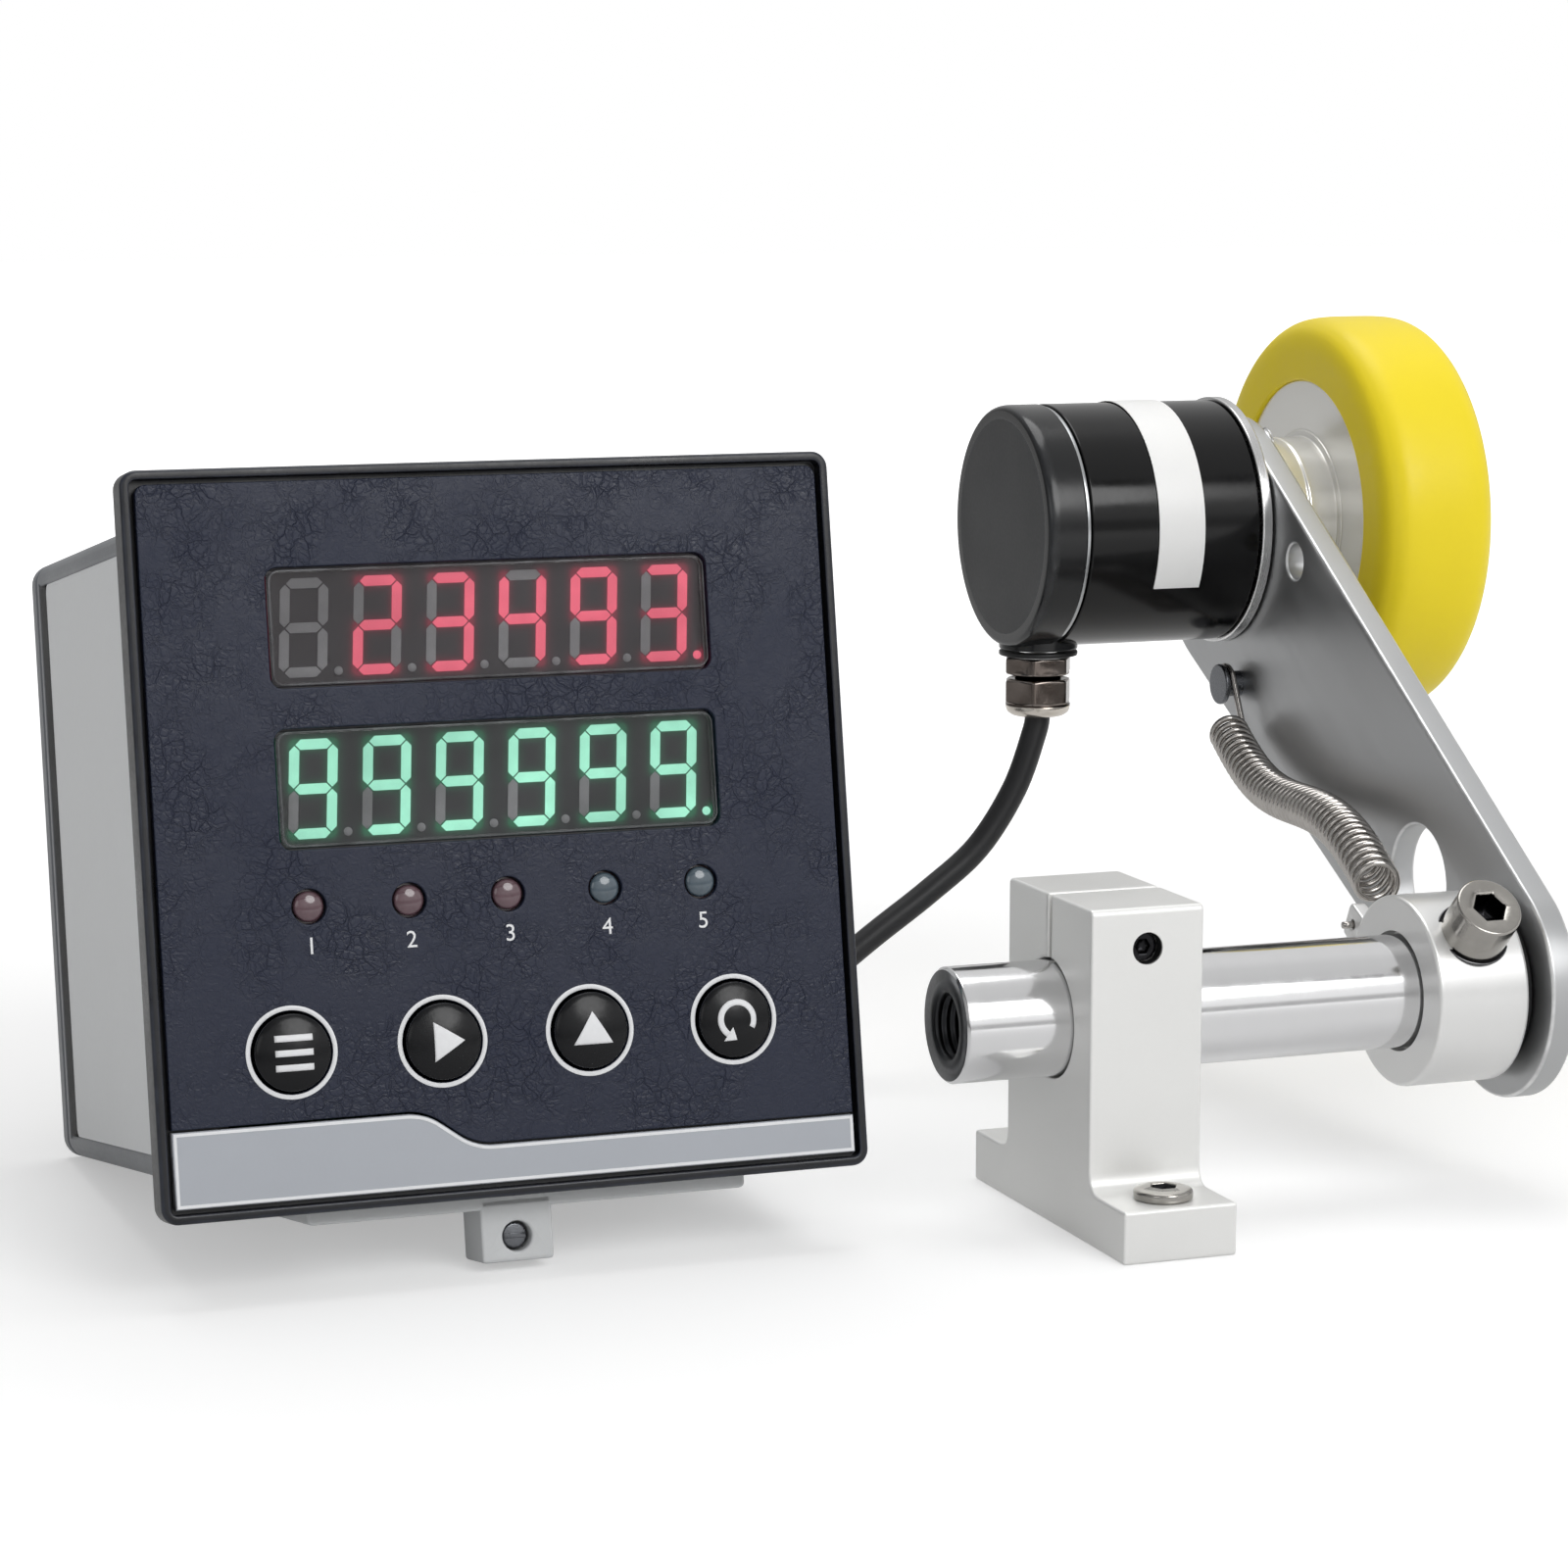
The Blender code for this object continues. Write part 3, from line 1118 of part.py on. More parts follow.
def boss_bottom():
    """Height of the gland boss's underside."""
    return WHEEL_Z - ENCODER_DIAMETER / 2 - BOSS_DROP


def make_encoder_inside(bearing_look, board_look, parent):
    """The bearings in the flange and the board in the housing."""
    disc_near = FLANGE_FAR - FLANGE_DISC_THICKNESS
    first = ARM_FAR - SEAT_GAP - BEARING_WIDTH
    bore = SPINDLE_DIAMETER / 2 + SEAT_GAP
    for name, near in (("front", first), ("rear", first - BEARING_SPREAD)):
        near = max(near, disc_near - FLANGE_CORE_LENGTH)
        ring = [
            (bore, near + BEARING_WIDTH),
            (BEARING_OUTER / 2, near + BEARING_WIDTH),
            (BEARING_OUTER / 2, near),
            (bore, near),
        ]
        turned("bearing_" + name, ring, WHEEL, bearing_look, parent, SMALL_STEPS + 8, ring=True)
    near = HOUSING_NEAR + ENCODER_BOARD_SETBACK
    radius = ENCODER_DIAMETER / 2 - ENCODER_WALL - SEAT_GAP
    mesh = cylinder_mesh("encoder_board", radius, near, near + BOARD_THICKNESS, SMALL_STEPS + 8)
    solid("encoder_board", mesh, WHEEL, board_look, parent)


def hexagon(across_flats):
    """A hexagon of the width given across its flats."""
    return circle(across_flats / 2 / math.cos(math.pi / 6), 0.0, 0.0, 6)


def make_gland(metal_look, washer_look, parent):
    """The cord gland: washer, hexagon body with its stem, and domed nut."""
    bore = CORD_DIAMETER / 2 + SEAT_GAP
    gland_x = HOUSING_NEAR + GLAND_SETBACK
    place = frame_at(stand_point(gland_x, WHEEL_Y, boss_bottom()), (1, 0, 0), (0, 0, 1))
    stem = GLAND_STEM / 2
    washer_top = -SEAT_GAP
    washer_bottom = washer_top - GLAND_WASHER_THICKNESS
    ring = [
        (stem + SEAT_GAP, washer_top),
        (GLAND_WASHER / 2, washer_top),
        (GLAND_WASHER / 2, washer_bottom),
        (stem + SEAT_GAP, washer_bottom),
    ]
    turned("gland_washer", ring, place, washer_look, parent, SMALL_STEPS + 8, ring=True)
    hex_top = washer_bottom - SEAT_GAP
    hex_bottom = hex_top - GLAND_HEX_HEIGHT
    stem_bottom = hex_bottom - GLAND_STEM_DOWN
    ring = [(bore, GLAND_STEM_UP), (stem, GLAND_STEM_UP), (stem, stem_bottom), (bore, stem_bottom)]
    body = turned("gland_body", ring, place, metal_look, parent, SMALL_STEPS + 8, ring=True)
    middle_bore = circle((bore + stem) / 2, 0.0, 0.0, SMALL_STEPS + 8)
    melt(body, "gland_hexagon", slab_mesh("gland_hexagon", [hexagon(GLAND_FLATS), middle_bore], hex_bottom, hex_top), place)
    nut_top = hex_bottom - GLAND_NUT_GAP
    nut_bottom = nut_top - GLAND_NUT_HEIGHT
    mouth = GLAND_MOUTH / 2
    inner = stem + SEAT_GAP
    floor = stem_bottom - SEAT_GAP
    outer = GLAND_FLATS / 2
    dome = [
        (inner, nut_top),
        (outer - JOIN_DEPTH / 2, nut_top),
        (outer - JOIN_DEPTH / 2, nut_bottom),
        (mouth, nut_bottom - GLAND_DOME),
        (bore, nut_bottom - GLAND_DOME),
        (bore, floor),
        (inner, floor),
    ]
    nut = turned("gland_nut", dome, place, metal_look, parent, SMALL_STEPS + 8, ring=True)
    nut_loops = [hexagon(GLAND_FLATS), circle((inner + outer) / 2, 0.0, 0.0, SMALL_STEPS + 8)]
    melt(nut, "nut_hexagon", slab_mesh("nut_hexagon", nut_loops, nut_bottom, nut_top), place)


def make_wheel(spindle_look, disc_look, hub_look, tyre_look, screw_look, parent):
    """What turns: the spindle with its code disc, the hub with its screw and the tyre."""
    bore = SPINDLE_DIAMETER / 2 + SEAT_GAP
    spindle_low = HOUSING_NEAR + SPINDLE_INNER
    spindle_high = ARM_FAR + SPINDLE_OUTER
    edge = COLLAR_CHAMFER
    profile = [
        (0.0, spindle_high),
        (SPINDLE_DIAMETER / 2 - edge, spindle_high),
        (SPINDLE_DIAMETER / 2, spindle_high - edge),
        (SPINDLE_DIAMETER / 2, spindle_low),
        (0.0, spindle_low),
    ]
    turned("encoder_shaft", profile, WHEEL, spindle_look, parent, SMALL_STEPS + 8)
    near = HOUSING_NEAR + CODE_DISC_SETBACK
    disc = slab_mesh("code_disc", [circle(CODE_DISC_DIAMETER / 2), circle(bore, count=SMALL_STEPS)], near,
                     near + CODE_DISC_THICKNESS)
    solid("code_disc", disc, WHEEL, disc_look, parent)
    boss = HUB_BOSS / 2
    rim = TYRE_INNER / 2 - SEAT_GAP
    boss_near = WHEEL_NEAR - HUB_BOSS_LENGTH
    web_near = WHEEL_NEAR + HUB_FACE_SINK
    web_far = WHEEL_FAR - HUB_FACE_SINK
    profile = [
        (bore, web_far),
        (rim, web_far),
        (rim, web_near),
        (boss, web_near),
        (boss, boss_near + HUB_STEP),
        (boss - HUB_STEP, boss_near),
        (bore, boss_near),
    ]
    hub = turned("wheel_hub", profile, WHEEL, hub_look, parent, ROUND_STEPS, ring=True)
    screw_place = frame_at(stand_point(boss_near + HUB_SCREW_BACK, WHEEL_Y, WHEEL_Z), (1, 0, 0), (0, 1, 0))
    hole = cylinder_mesh("hub_hole", HUB_SCREW / 2 + SEAT_GAP, 0.0, HUB_BOSS)
    cut(hub, "hub_hole", hole, screw_place)
    seat = SPINDLE_DIAMETER / 2 + SEAT_GAP
    mesh = cylinder_mesh("hub_screw", HUB_SCREW / 2, seat, seat + HUB_SCREW_LENGTH)
    solid("hub_screw", mesh, screw_place, screw_look, parent)
    outer = WHEEL_DIAMETER / 2
    inner = TYRE_INNER / 2
    profile = [
        (inner, WHEEL_FAR),
        (outer - TYRE_SHOULDER * 2, WHEEL_FAR),
        (outer - TYRE_SHOULDER / 3, WHEEL_FAR - TYRE_CROWN * 2 / 3),
        (outer, WHEEL_FAR - TYRE_CROWN * 3 / 2),
        (outer, WHEEL_NEAR + TYRE_CROWN * 3 / 2),
        (outer - TYRE_SHOULDER / 3, WHEEL_NEAR + TYRE_CROWN * 2 / 3),
        (outer - TYRE_SHOULDER * 2, WHEEL_NEAR),
        (inner, WHEEL_NEAR),
    ]
    turned("wheel_tyre", profile, WHEEL, tyre_look, parent, ROUND_STEPS + 8, ring=True)


def coil_points():
    """The stored cord: spirals in and out in layers, climbing a layer in each half turn between."""
    bottom = TIE_THICKNESS + SEAT_GAP * 2 + CORD_DIAMETER / 2
    outer = COIL_INNER + COIL_PITCH * COIL_LAYER_TURNS
    cycle = COIL_LAYER_TURNS + 0.5
    turns = COIL_LAYERS * COIL_LAYER_TURNS + (COIL_LAYERS - 1) * 0.5
    count = round(turns * COIL_POINTS)
    points = []
    for index in range(count + 1):
        turn = turns * index / count
        layer = min(int(turn / cycle), COIL_LAYERS - 1)
        done = turn - layer * cycle
        inward = layer % 2 == 0
        travelled = min(done, COIL_LAYER_TURNS) * COIL_PITCH
        radius = outer - travelled if inward else COIL_INNER + travelled
        climb = max(0.0, done - COIL_LAYER_TURNS) * 2
        height = bottom + (layer + climb) * COIL_LAYER
        angle = -math.pi / 2 - math.tau * turn
        points.append((COIL_X + radius * math.cos(angle), COIL_Y + radius * math.sin(angle), height))
    return points


def end_gap(points, index):
    """The point a seat's gap beyond an end of a line, along the line there."""
    inner = 1 if index == 0 else -2
    here = Vector(points[index])
    along = (here - Vector(points[inner])).normalized()
    return here + along * SEAT_GAP, along


def lead_route(coil):
    """The cord from the gland down to the ground and along it to the coil."""
    gland_x = HOUSING_NEAR + GLAND_SETBACK
    exit_point = stand_point(gland_x, WHEEL_Y, boss_bottom())
    nut_end = (SEAT_GAP * 2 + GLAND_WASHER_THICKNESS + GLAND_HEX_HEIGHT + GLAND_NUT_GAP + GLAND_NUT_HEIGHT
               + GLAND_DOME)
    exit_point.z -= nut_end
    start = exit_point + Vector((0.0, 0.0, CORD_START_DEPTH))
    end, along = end_gap(coil, 0)
    route = [
        (0.0479, 0.0422, 0.0536),
        (0.0446, 0.0422, 0.0450),
        (0.0385, 0.0423, 0.0361),
        (0.0303, 0.0424, 0.0295),
        (0.0206, 0.0425, 0.0228),
        (0.0110, 0.0425, 0.0158),
        (0.0020, 0.0424, 0.0094),
        (-0.0080, 0.0420, 0.0050),
        (-0.0180, 0.0412, 0.0034),
        (-0.0290, 0.0404, 0.0032),
        (-0.0400, 0.0400, 0.0032),
        (-0.0510, 0.0399, 0.0032),
    ]
    return [start, exit_point] + route + [end + along * CORD_DIAMETER, end]


def tail_route(coil):
    """The cord from the coil up to the lower terminal row on the counter's back."""
    start, along = end_gap(coil, -1)
    inward = FACE.to_3x3() @ Vector((0.0, 0.0, 1.0))
    tail_x = TERMINAL_WIDTH / TERMINAL_COUNT * 3
    end = FACE @ Vector((tail_x, terminal_low_y(), -CASE_DEPTH - SEAT_GAP))
    near = end - inward * CORD_DIAMETER * 2
    return [start, start + along * CORD_DIAMETER, TAIL_MIDDLE, near, end]


def make_cord(look, tie_look):
    """The cord in three solids, lead, coil and tail, and the tie round the coil."""
    coil = coil_points()
    lead = smooth_route(lead_route(coil), CORD_DIAMETER * 2)
    tail = smooth_route(tail_route(coil), CORD_DIAMETER * 1.5)
    print("coil: least gap", round(least_gap(coil, CORD_DIAMETER, COIL_POINTS // 2) * 1000, 2), "mm")
    total = length_of(lead) + length_of(coil) + length_of(tail)
    print("cord: length", round(total, 3), "m; lead", round(length_of(lead), 3), "tail", round(length_of(tail), 3))
    tube("cord_lead", lead, CORD_DIAMETER, look)
    tube("cord_coil", coil, CORD_DIAMETER, look, 1)
    tube("cord_tail", tail, CORD_DIAMETER, look)
    outer = COIL_INNER + COIL_PITCH * COIL_LAYER_TURNS
    width = outer - COIL_INNER + CORD_DIAMETER + SEAT_GAP * 2
    height = COIL_LAYER * (COIL_LAYERS - 1) + CORD_DIAMETER + SEAT_GAP * 2
    middle_y = SEAT_GAP + TIE_THICKNESS + height / 2
    corner = CORD_DIAMETER / 2
    loops = [
        rounded(width + TIE_THICKNESS * 2, height + TIE_THICKNESS * 2, corner + TIE_THICKNESS, 0.0, middle_y),
        rounded(width, height, corner, 0.0, middle_y),
    ]
    place = frame_at((COIL_X - (outer + COIL_INNER) / 2, COIL_Y, 0), (1, 0, 0), (0, -1, 0))
    solid("cord_tie", slab_mesh("cord_tie", loops, -TIE_WIDTH / 2, TIE_WIDTH / 2), place, tie_look)


def main():
    """Build every sub-part."""
    clear_scene()
    bezel_look = material("bezel_black", (0.009, 0.010, 0.014), 0.35, 0.0)
    overlay_look = material("overlay_slate", (0.023, 0.028, 0.042), 0.55, 0.0)
    strip_look = material("strip_silver", (0.41, 0.43, 0.46), 0.35, 0.3)
    red_look = material("window_red", (0.045, 0.036, 0.038), 0.12, 0.0)
    green_look = material("window_green", (0.036, 0.042, 0.040), 0.12, 0.0)
    module_look = material("digit_module", (0.02, 0.02, 0.02), 0.5, 0.0)
    guide_look = material("lamp_guide", (0.13, 0.11, 0.12), 0.2, 0.0)
    button_look = material("button_black", (0.012, 0.012, 0.014), 0.3, 0.0)
    case_look = material("case_grey", (0.33, 0.34, 0.35), 0.5, 0.0)
    label_look = material("label_grey", (0.45, 0.46, 0.47), 0.5, 0.0)
    board_look = material("board_green", (0.03, 0.12, 0.06), 0.5, 0.0)
    iron_look = material("transformer_iron", (0.10, 0.10, 0.11), 0.5, 0.5)
    relay_look = material("relay_blue", (0.03, 0.08, 0.25), 0.4, 0.0)
    cover_look = material("cover_grey", (0.08, 0.08, 0.085), 0.5, 0.0)
    terminal_look = material("terminal_black", (0.015, 0.015, 0.016), 0.4, 0.0)
    bracket_look = material("bracket_pale", (0.55, 0.56, 0.57), 0.45, 0.0)
    steel_look = material("screw_steel", (0.30, 0.30, 0.31), 0.3, 1.0)
    block_look = material("block_aluminium", (0.78, 0.78, 0.78), 0.32, 1.0)
    shaft_look = material("shaft_steel", (0.70, 0.70, 0.71), 0.12, 1.0)
    arm_look = material("arm_aluminium", (0.60, 0.60, 0.60), 0.38, 1.0)
    dark_look = material("dark_steel", (0.05, 0.05, 0.055), 0.3, 1.0)
    washer_look = material("washer_black", (0.01, 0.01, 0.01), 0.4, 0.0)
    spring_look = material("spring_wire", (0.12, 0.11, 0.11), 0.25, 1.0)
    housing_look = material("encoder_black", (0.03, 0.031, 0.034), 0.25, 0.0)
    flange_look = material("flange_aluminium", (0.62, 0.62, 0.63), 0.3, 1.0)
    band_look = material("band_white", (0.80, 0.80, 0.80), 0.4, 0.0)
    gland_look = material("gland_nickel", (0.16, 0.16, 0.17), 0.2, 1.0)
    disc_look = material("code_disc_steel", (0.35, 0.36, 0.38), 0.2, 1.0)
    hub_look = material("hub_aluminium", (0.70, 0.70, 0.71), 0.18, 1.0)
    tyre_look = material("tyre_yellow", (0.94, 0.76, 0.04), 0.45, 0.0)
    cord_look = material("cord_black", (0.02, 0.02, 0.022), 0.45, 0.0)
    tie_look = material("tie_white", (0.75, 0.75, 0.74), 0.4, 0.0)

    swing = empty_at("arm_swing_axis", shifted(SHAFT, 0.0, 0.0, ARM_NEAR + ARM_THICKNESS / 2))
    spin = empty_at("wheel_spin_axis", WHEEL)

    make_bezel(bezel_look)
    make_overlay(overlay_look, strip_look)
    make_windows(red_look, green_look, module_look)
    make_indicator_guide(guide_look)
    make_buttons(button_look)
    make_case(case_look)
    make_side_labels(label_look)
    make_boards(board_look, button_places())
    make_inner_parts(iron_look, relay_look)
    make_rear(cover_look, terminal_look)
    make_bracket(bracket_look, steel_look)
    make_block(block_look, dark_look)
    make_shaft(shaft_look)
    make_collar(block_look, dark_look, washer_look)
    make_arm(arm_look, dark_look, swing)
    make_spring(spring_look)
    make_encoder(housing_look, flange_look, band_look, swing)
    make_encoder_inside(steel_look, board_look, swing)
    make_gland(gland_look, washer_look, swing)
    make_wheel(shaft_look, disc_look, hub_look, tyre_look, dark_look, spin)
    make_cord(cord_look, tie_look)


main()
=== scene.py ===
import math
import bmesh
import bpy
import numpy as np
from mathutils import Matrix, Vector
from mathutils.geometry import tessellate_polygon


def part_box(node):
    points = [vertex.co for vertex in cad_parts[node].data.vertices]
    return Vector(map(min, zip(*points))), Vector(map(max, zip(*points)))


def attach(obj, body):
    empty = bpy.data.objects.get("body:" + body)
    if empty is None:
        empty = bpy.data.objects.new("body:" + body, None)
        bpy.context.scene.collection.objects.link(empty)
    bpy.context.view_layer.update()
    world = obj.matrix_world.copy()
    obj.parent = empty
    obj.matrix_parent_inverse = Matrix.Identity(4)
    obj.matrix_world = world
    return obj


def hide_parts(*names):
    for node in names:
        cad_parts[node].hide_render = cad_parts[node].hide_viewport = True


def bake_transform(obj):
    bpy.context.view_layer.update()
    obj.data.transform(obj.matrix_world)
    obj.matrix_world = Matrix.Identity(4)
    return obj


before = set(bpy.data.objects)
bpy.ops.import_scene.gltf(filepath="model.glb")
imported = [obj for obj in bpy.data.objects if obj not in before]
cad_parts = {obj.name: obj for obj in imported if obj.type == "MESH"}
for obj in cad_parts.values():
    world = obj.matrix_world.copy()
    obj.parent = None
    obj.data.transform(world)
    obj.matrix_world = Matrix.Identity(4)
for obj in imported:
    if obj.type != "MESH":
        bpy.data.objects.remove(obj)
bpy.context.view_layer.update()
STAND = "counter_and_stand"


# The view. One long lens from the counter's left, a little above it, as the photograph was taken. The counter leans
# back on its lug and the encoder stands beside it, so both are looked at from one place.
def linked(name, data):
    """A new object in the scene."""
    made = bpy.data.objects.new(name, data)
    bpy.context.scene.collection.objects.link(made)
    return made


look_at = Vector((-0.027626, -0.04859, 0.062851))
view_turn, view_rise, view_distance = math.radians(-20.222), math.radians(8.775), 0.5706
level = math.cos(view_rise)
backward = Vector((math.sin(view_turn) * level, -math.cos(view_turn) * level, math.sin(view_rise)))
camera = linked("photo_camera", bpy.data.cameras.new("photo_camera"))
camera.data.lens = 98.973
camera.data.sensor_width = 36.0
camera.data.clip_start = 0.02
camera.location = look_at + backward * view_distance
camera.rotation_euler = backward.to_track_quat("Z", "Y").to_euler()
bpy.context.scene.camera = camera
bpy.context.scene.view_settings.view_transform = "Standard"

# The studio. A white floor and white surroundings, a key lamp in front to the right, a weak one to the left and one
# above. Polished metal sees belts of grey and a dark card to the left, which draw the lines along the shaft.
WHITE, BLACK, FLOOR_GREY, FLOOR_HALF = (1, 1, 1, 1), (0, 0, 0, 1), (0.72, 0.72, 0.72, 1), 4.0
LAMPS = (
    ("key_lamp", (0.30, -1.05, 0.75), 0.70, 5.4),
    ("fill_lamp", (-0.85, -0.75, 0.45), 0.60, 0.8),
    ("top_lamp", (0.05, 0.25, 1.10), 0.80, 3.8),
)


def wired(tree, kind, inputs=None, **settings):
    """Add a node, set what belongs to it, link or set each input that is named, and give its outputs."""
    node = tree.nodes.new("ShaderNode" + kind)
    for key, value in settings.items():
        setattr(node, key, value)
    for key, value in (inputs or {}).items():
        if isinstance(value, bpy.types.NodeSocket):
            tree.links.new(value, node.inputs[key])
        else:
            node.inputs[key].default_value = value
    return node.outputs


def arith(tree, operation, *values, **settings):
    """One Math node on the values, in their order."""
    return wired(tree, "Math", dict(enumerate(values)), operation=operation, **settings)[0]


def ranged(tree, value, low, high, to_low=0.0, to_high=1.0):
    """A straight run from one range to the other, held at its ends."""
    return wired(tree, "MapRange", {0: value, 1: low, 2: high, 3: to_low, 4: to_high})[0]


def scaled(tree, colour, factor):
    """A colour or a place times one number."""
    return wired(tree, "VectorMath", {0: colour, "Scale": factor}, operation="SCALE")[0]


def colour_mix(tree, share, first, second):
    """The first colour times one less the share, plus the second times the share."""
    return wired(tree, "Mix", {0: share, 6: first, 7: second}, data_type="RGBA")[2]


def shader_mix(tree, share, first, second):
    """The same for two shaders."""
    return wired(tree, "MixShader", {0: share, 1: first, 2: second})[0]


def own_place(tree):
    """The object's own coordinates."""
    return wired(tree, "TexCoord")["Object"]


def background_rays(tree):
    """One where a ray mirrors, and one where it comes from the camera, mirrors or goes through glass."""
    rays = wired(tree, "LightPath")
    seen = arith(tree, "MAXIMUM", rays["Is Camera Ray"], rays["Is Glossy Ray"])
    return rays["Is Glossy Ray"], arith(tree, "MAXIMUM", seen, rays["Is Transmission Ray"])


def belts(tree, height, stops):
    """How bright the surroundings are at each height of the direction, as polished metal sees them."""
    ramp = wired(tree, "ValToRGB", {0: height})
    elements = ramp[0].node.color_ramp.elements
    for number, (place, value) in enumerate(stops):
        stop = elements[number] if number < 2 else elements.new(place)
        stop.position = place
        stop.color = (value, value, value, 1)
    return ramp[0]


room = bpy.data.worlds.new("studio_room")
room.use_nodes = True
sky = room.node_tree
sky.nodes.clear()
mirrored, seen = background_rays(sky)
toward = wired(sky, "SeparateXYZ", {0: wired(sky, "TexCoord")["Generated"]})
front_belts = belts(sky, toward["Z"], ((0.0, 0.50), (0.10, 0.5222), (0.10, 0.52), (0.17, 1.0), (0.56, 1.0),
                                       (0.59, 0.16), (0.63, 0.20), (0.68, 0.62), (0.88, 0.70)))
rear_belts = belts(sky, toward["Z"], ((0.0, 0.55), (0.30, 0.5833), (0.30, 0.60), (0.70, 0.78)))
belt = colour_mix(sky, ranged(sky, toward["Y"], -0.15, 0.15), front_belts, rear_belts)
belt = scaled(sky, belt, ranged(sky, toward["X"], -0.65, 0.05, 0.40, 1.0))
even = ranged(sky, toward["X"], -0.8, 0.4, 0.24, 0.58)
shown = colour_mix(sky, mirrored, WHITE, belt)
white = wired(sky, "Background", {"Color": shown, "Strength": 1.0})[0]
soft = wired(sky, "Background", {"Color": WHITE, "Strength": even})[0]
wired(sky, "OutputWorld", {"Surface": shader_mix(sky, seen, soft, white)})
bpy.context.scene.world = room

for name, place, size, power in LAMPS:
    lamp = linked(name, bpy.data.lights.new(name, "AREA"))
    lamp.data.shape = "DISK"
    lamp.data.size = size
    lamp.data.energy = power
    lamp.location = place
    lamp.rotation_euler = (Vector(place) - look_at).to_track_quat("Z", "Y").to_euler()

floor_mesh = bpy.data.meshes.new("studio_floor")
corners = np.array([(-1, -1, 0), (1, -1, 0), (1, 1, 0), (-1, 1, 0)]) * FLOOR_HALF
floor_mesh.from_pydata(corners.tolist(), [], [(0, 1, 2, 3)])
floor = linked("studio_floor", floor_mesh)
paper = bpy.data.materials.new("white_paper")
paper.use_nodes = True
sheet = paper.node_tree
sheet.nodes.clear()
mirrored, seen = background_rays(sheet)
own = own_place(sheet)
mat = wired(sheet, "BsdfDiffuse", {"Color": FLOOR_GREY})[0]
away = wired(sheet, "VectorMath", {0: own}, operation="LENGTH")["Value"]
glow = wired(sheet, "Emission", {"Color": WHITE, "Strength": ranged(sheet, away, 0.15, 1.1, 0.40, 1.0)})
lifted = wired(sheet, "AddShader", {0: mat, 1: glow[0]})[0]
across = wired(sheet, "SeparateXYZ", {0: own})["X"]
hidden = arith(sheet, "MULTIPLY", ranged(sheet, across, -0.40, 0.05, 0.62, 0.25), mirrored)
dark = wired(sheet, "Emission", {"Color": BLACK, "Strength": 0.0})[0]
surface = shader_mix(sheet, hidden, shader_mix(sheet, seen, mat, lifted), dark)
wired(sheet, "OutputMaterial", {"Surface": surface})
floor_mesh.materials.append(paper)


# The encoder's cord. A 4 mm black lead of about 1.46 m with a smooth jacket. It comes down out of the gland, runs
# behind the counter, where the spare length is wound into a tied coil, and ends in the counter's lower terminal row.
def tint(code):
    """A colour written as six hexadecimal digits, made linear: below 0.04045 over 12.92, else the power 2.4."""
    share = np.array([int(code[place:place + 2], 16) for place in (0, 2, 4)]) / 255
    linear = np.where(share <= 0.04045, share / 12.92, ((share + 0.055) / 1.055) ** 2.4)
    return (*linear.tolist(), 1.0)


def new_group(name, inputs, outputs):
    """An empty shader group with its named sockets; the number inputs carry their usual value."""
    tree = bpy.data.node_groups.new(name, "ShaderNodeTree")
    for label, kind, value in inputs:
        socket = tree.interface.new_socket(label, in_out="INPUT", socket_type="NodeSocket" + kind)
        if value is not None:
            socket.default_value = value
    for label, kind in outputs:
        tree.interface.new_socket(label, in_out="OUTPUT", socket_type="NodeSocket" + kind)
    return tree, tree.nodes.new("NodeGroupInput").outputs, tree.nodes.new("NodeGroupOutput").inputs


def noise(tree, where, scale, detail, roughness=0.5):
    """A noise texture's value, then its colour."""
    return wired(tree, "TexNoise", {"Vector": where, "Scale": scale, "Detail": detail, "Roughness": roughness})


def uneven_group():
    """Slow noise times a small share darkens and lightens the colour and moves the roughness; fast noise is the grain.
    Stretch scales the object's own coordinates after a turn about X, which draws the noise out into brush lines."""
    tree, given, result = new_group(
        "uneven_finish",
        (("Colour", "Color", None), ("Tone", "Float", 0.05), ("Roughness", "Float", 0.4), ("Patches", "Float", 0.08),
         ("Scale", "Float", 60.0), ("Stretch", "Vector", (1, 1, 1)), ("Turn", "Float", 0.0), ("Grain", "Float", 900.0)),
        (("Colour", "Color"), ("Roughness", "Float"), ("Height", "Float")),
    )
    facing = wired(tree, "VectorRotate", {"Vector": own_place(tree), "Angle": given["Turn"]},
                   rotation_type="X_AXIS")[0]
    drawn = wired(tree, "VectorMath", {0: facing, 1: given["Stretch"]}, operation="MULTIPLY")[0]
    slow = noise(tree, drawn, given["Scale"], 5.0, 0.6)[0]
    fast = noise(tree, drawn, given["Grain"], 2.0)[0]
    both = arith(tree, "MULTIPLY_ADD", arith(tree, "SUBTRACT", fast, 0.5), 0.35, arith(tree, "SUBTRACT", slow, 0.5))
    shift = arith(tree, "MULTIPLY_ADD", both, arith(tree, "MULTIPLY", given["Tone"], 4.0), 1.0)
    patch = arith(tree, "MULTIPLY", both, given["Patches"])
    rough = arith(tree, "MULTIPLY_ADD", patch, 4.0, given["Roughness"], use_clamp=True)
    for label, socket in (("Colour", scaled(tree, given["Colour"], shift)), ("Roughness", rough), ("Height", fast)):
        tree.links.new(socket, result[label])
    return tree


def rim_value(tree):
    """The piece's own rim value, one along its rounded edges and nought elsewhere."""
    return wired(tree, "Attribute", attribute_name="rim")["Fac"]


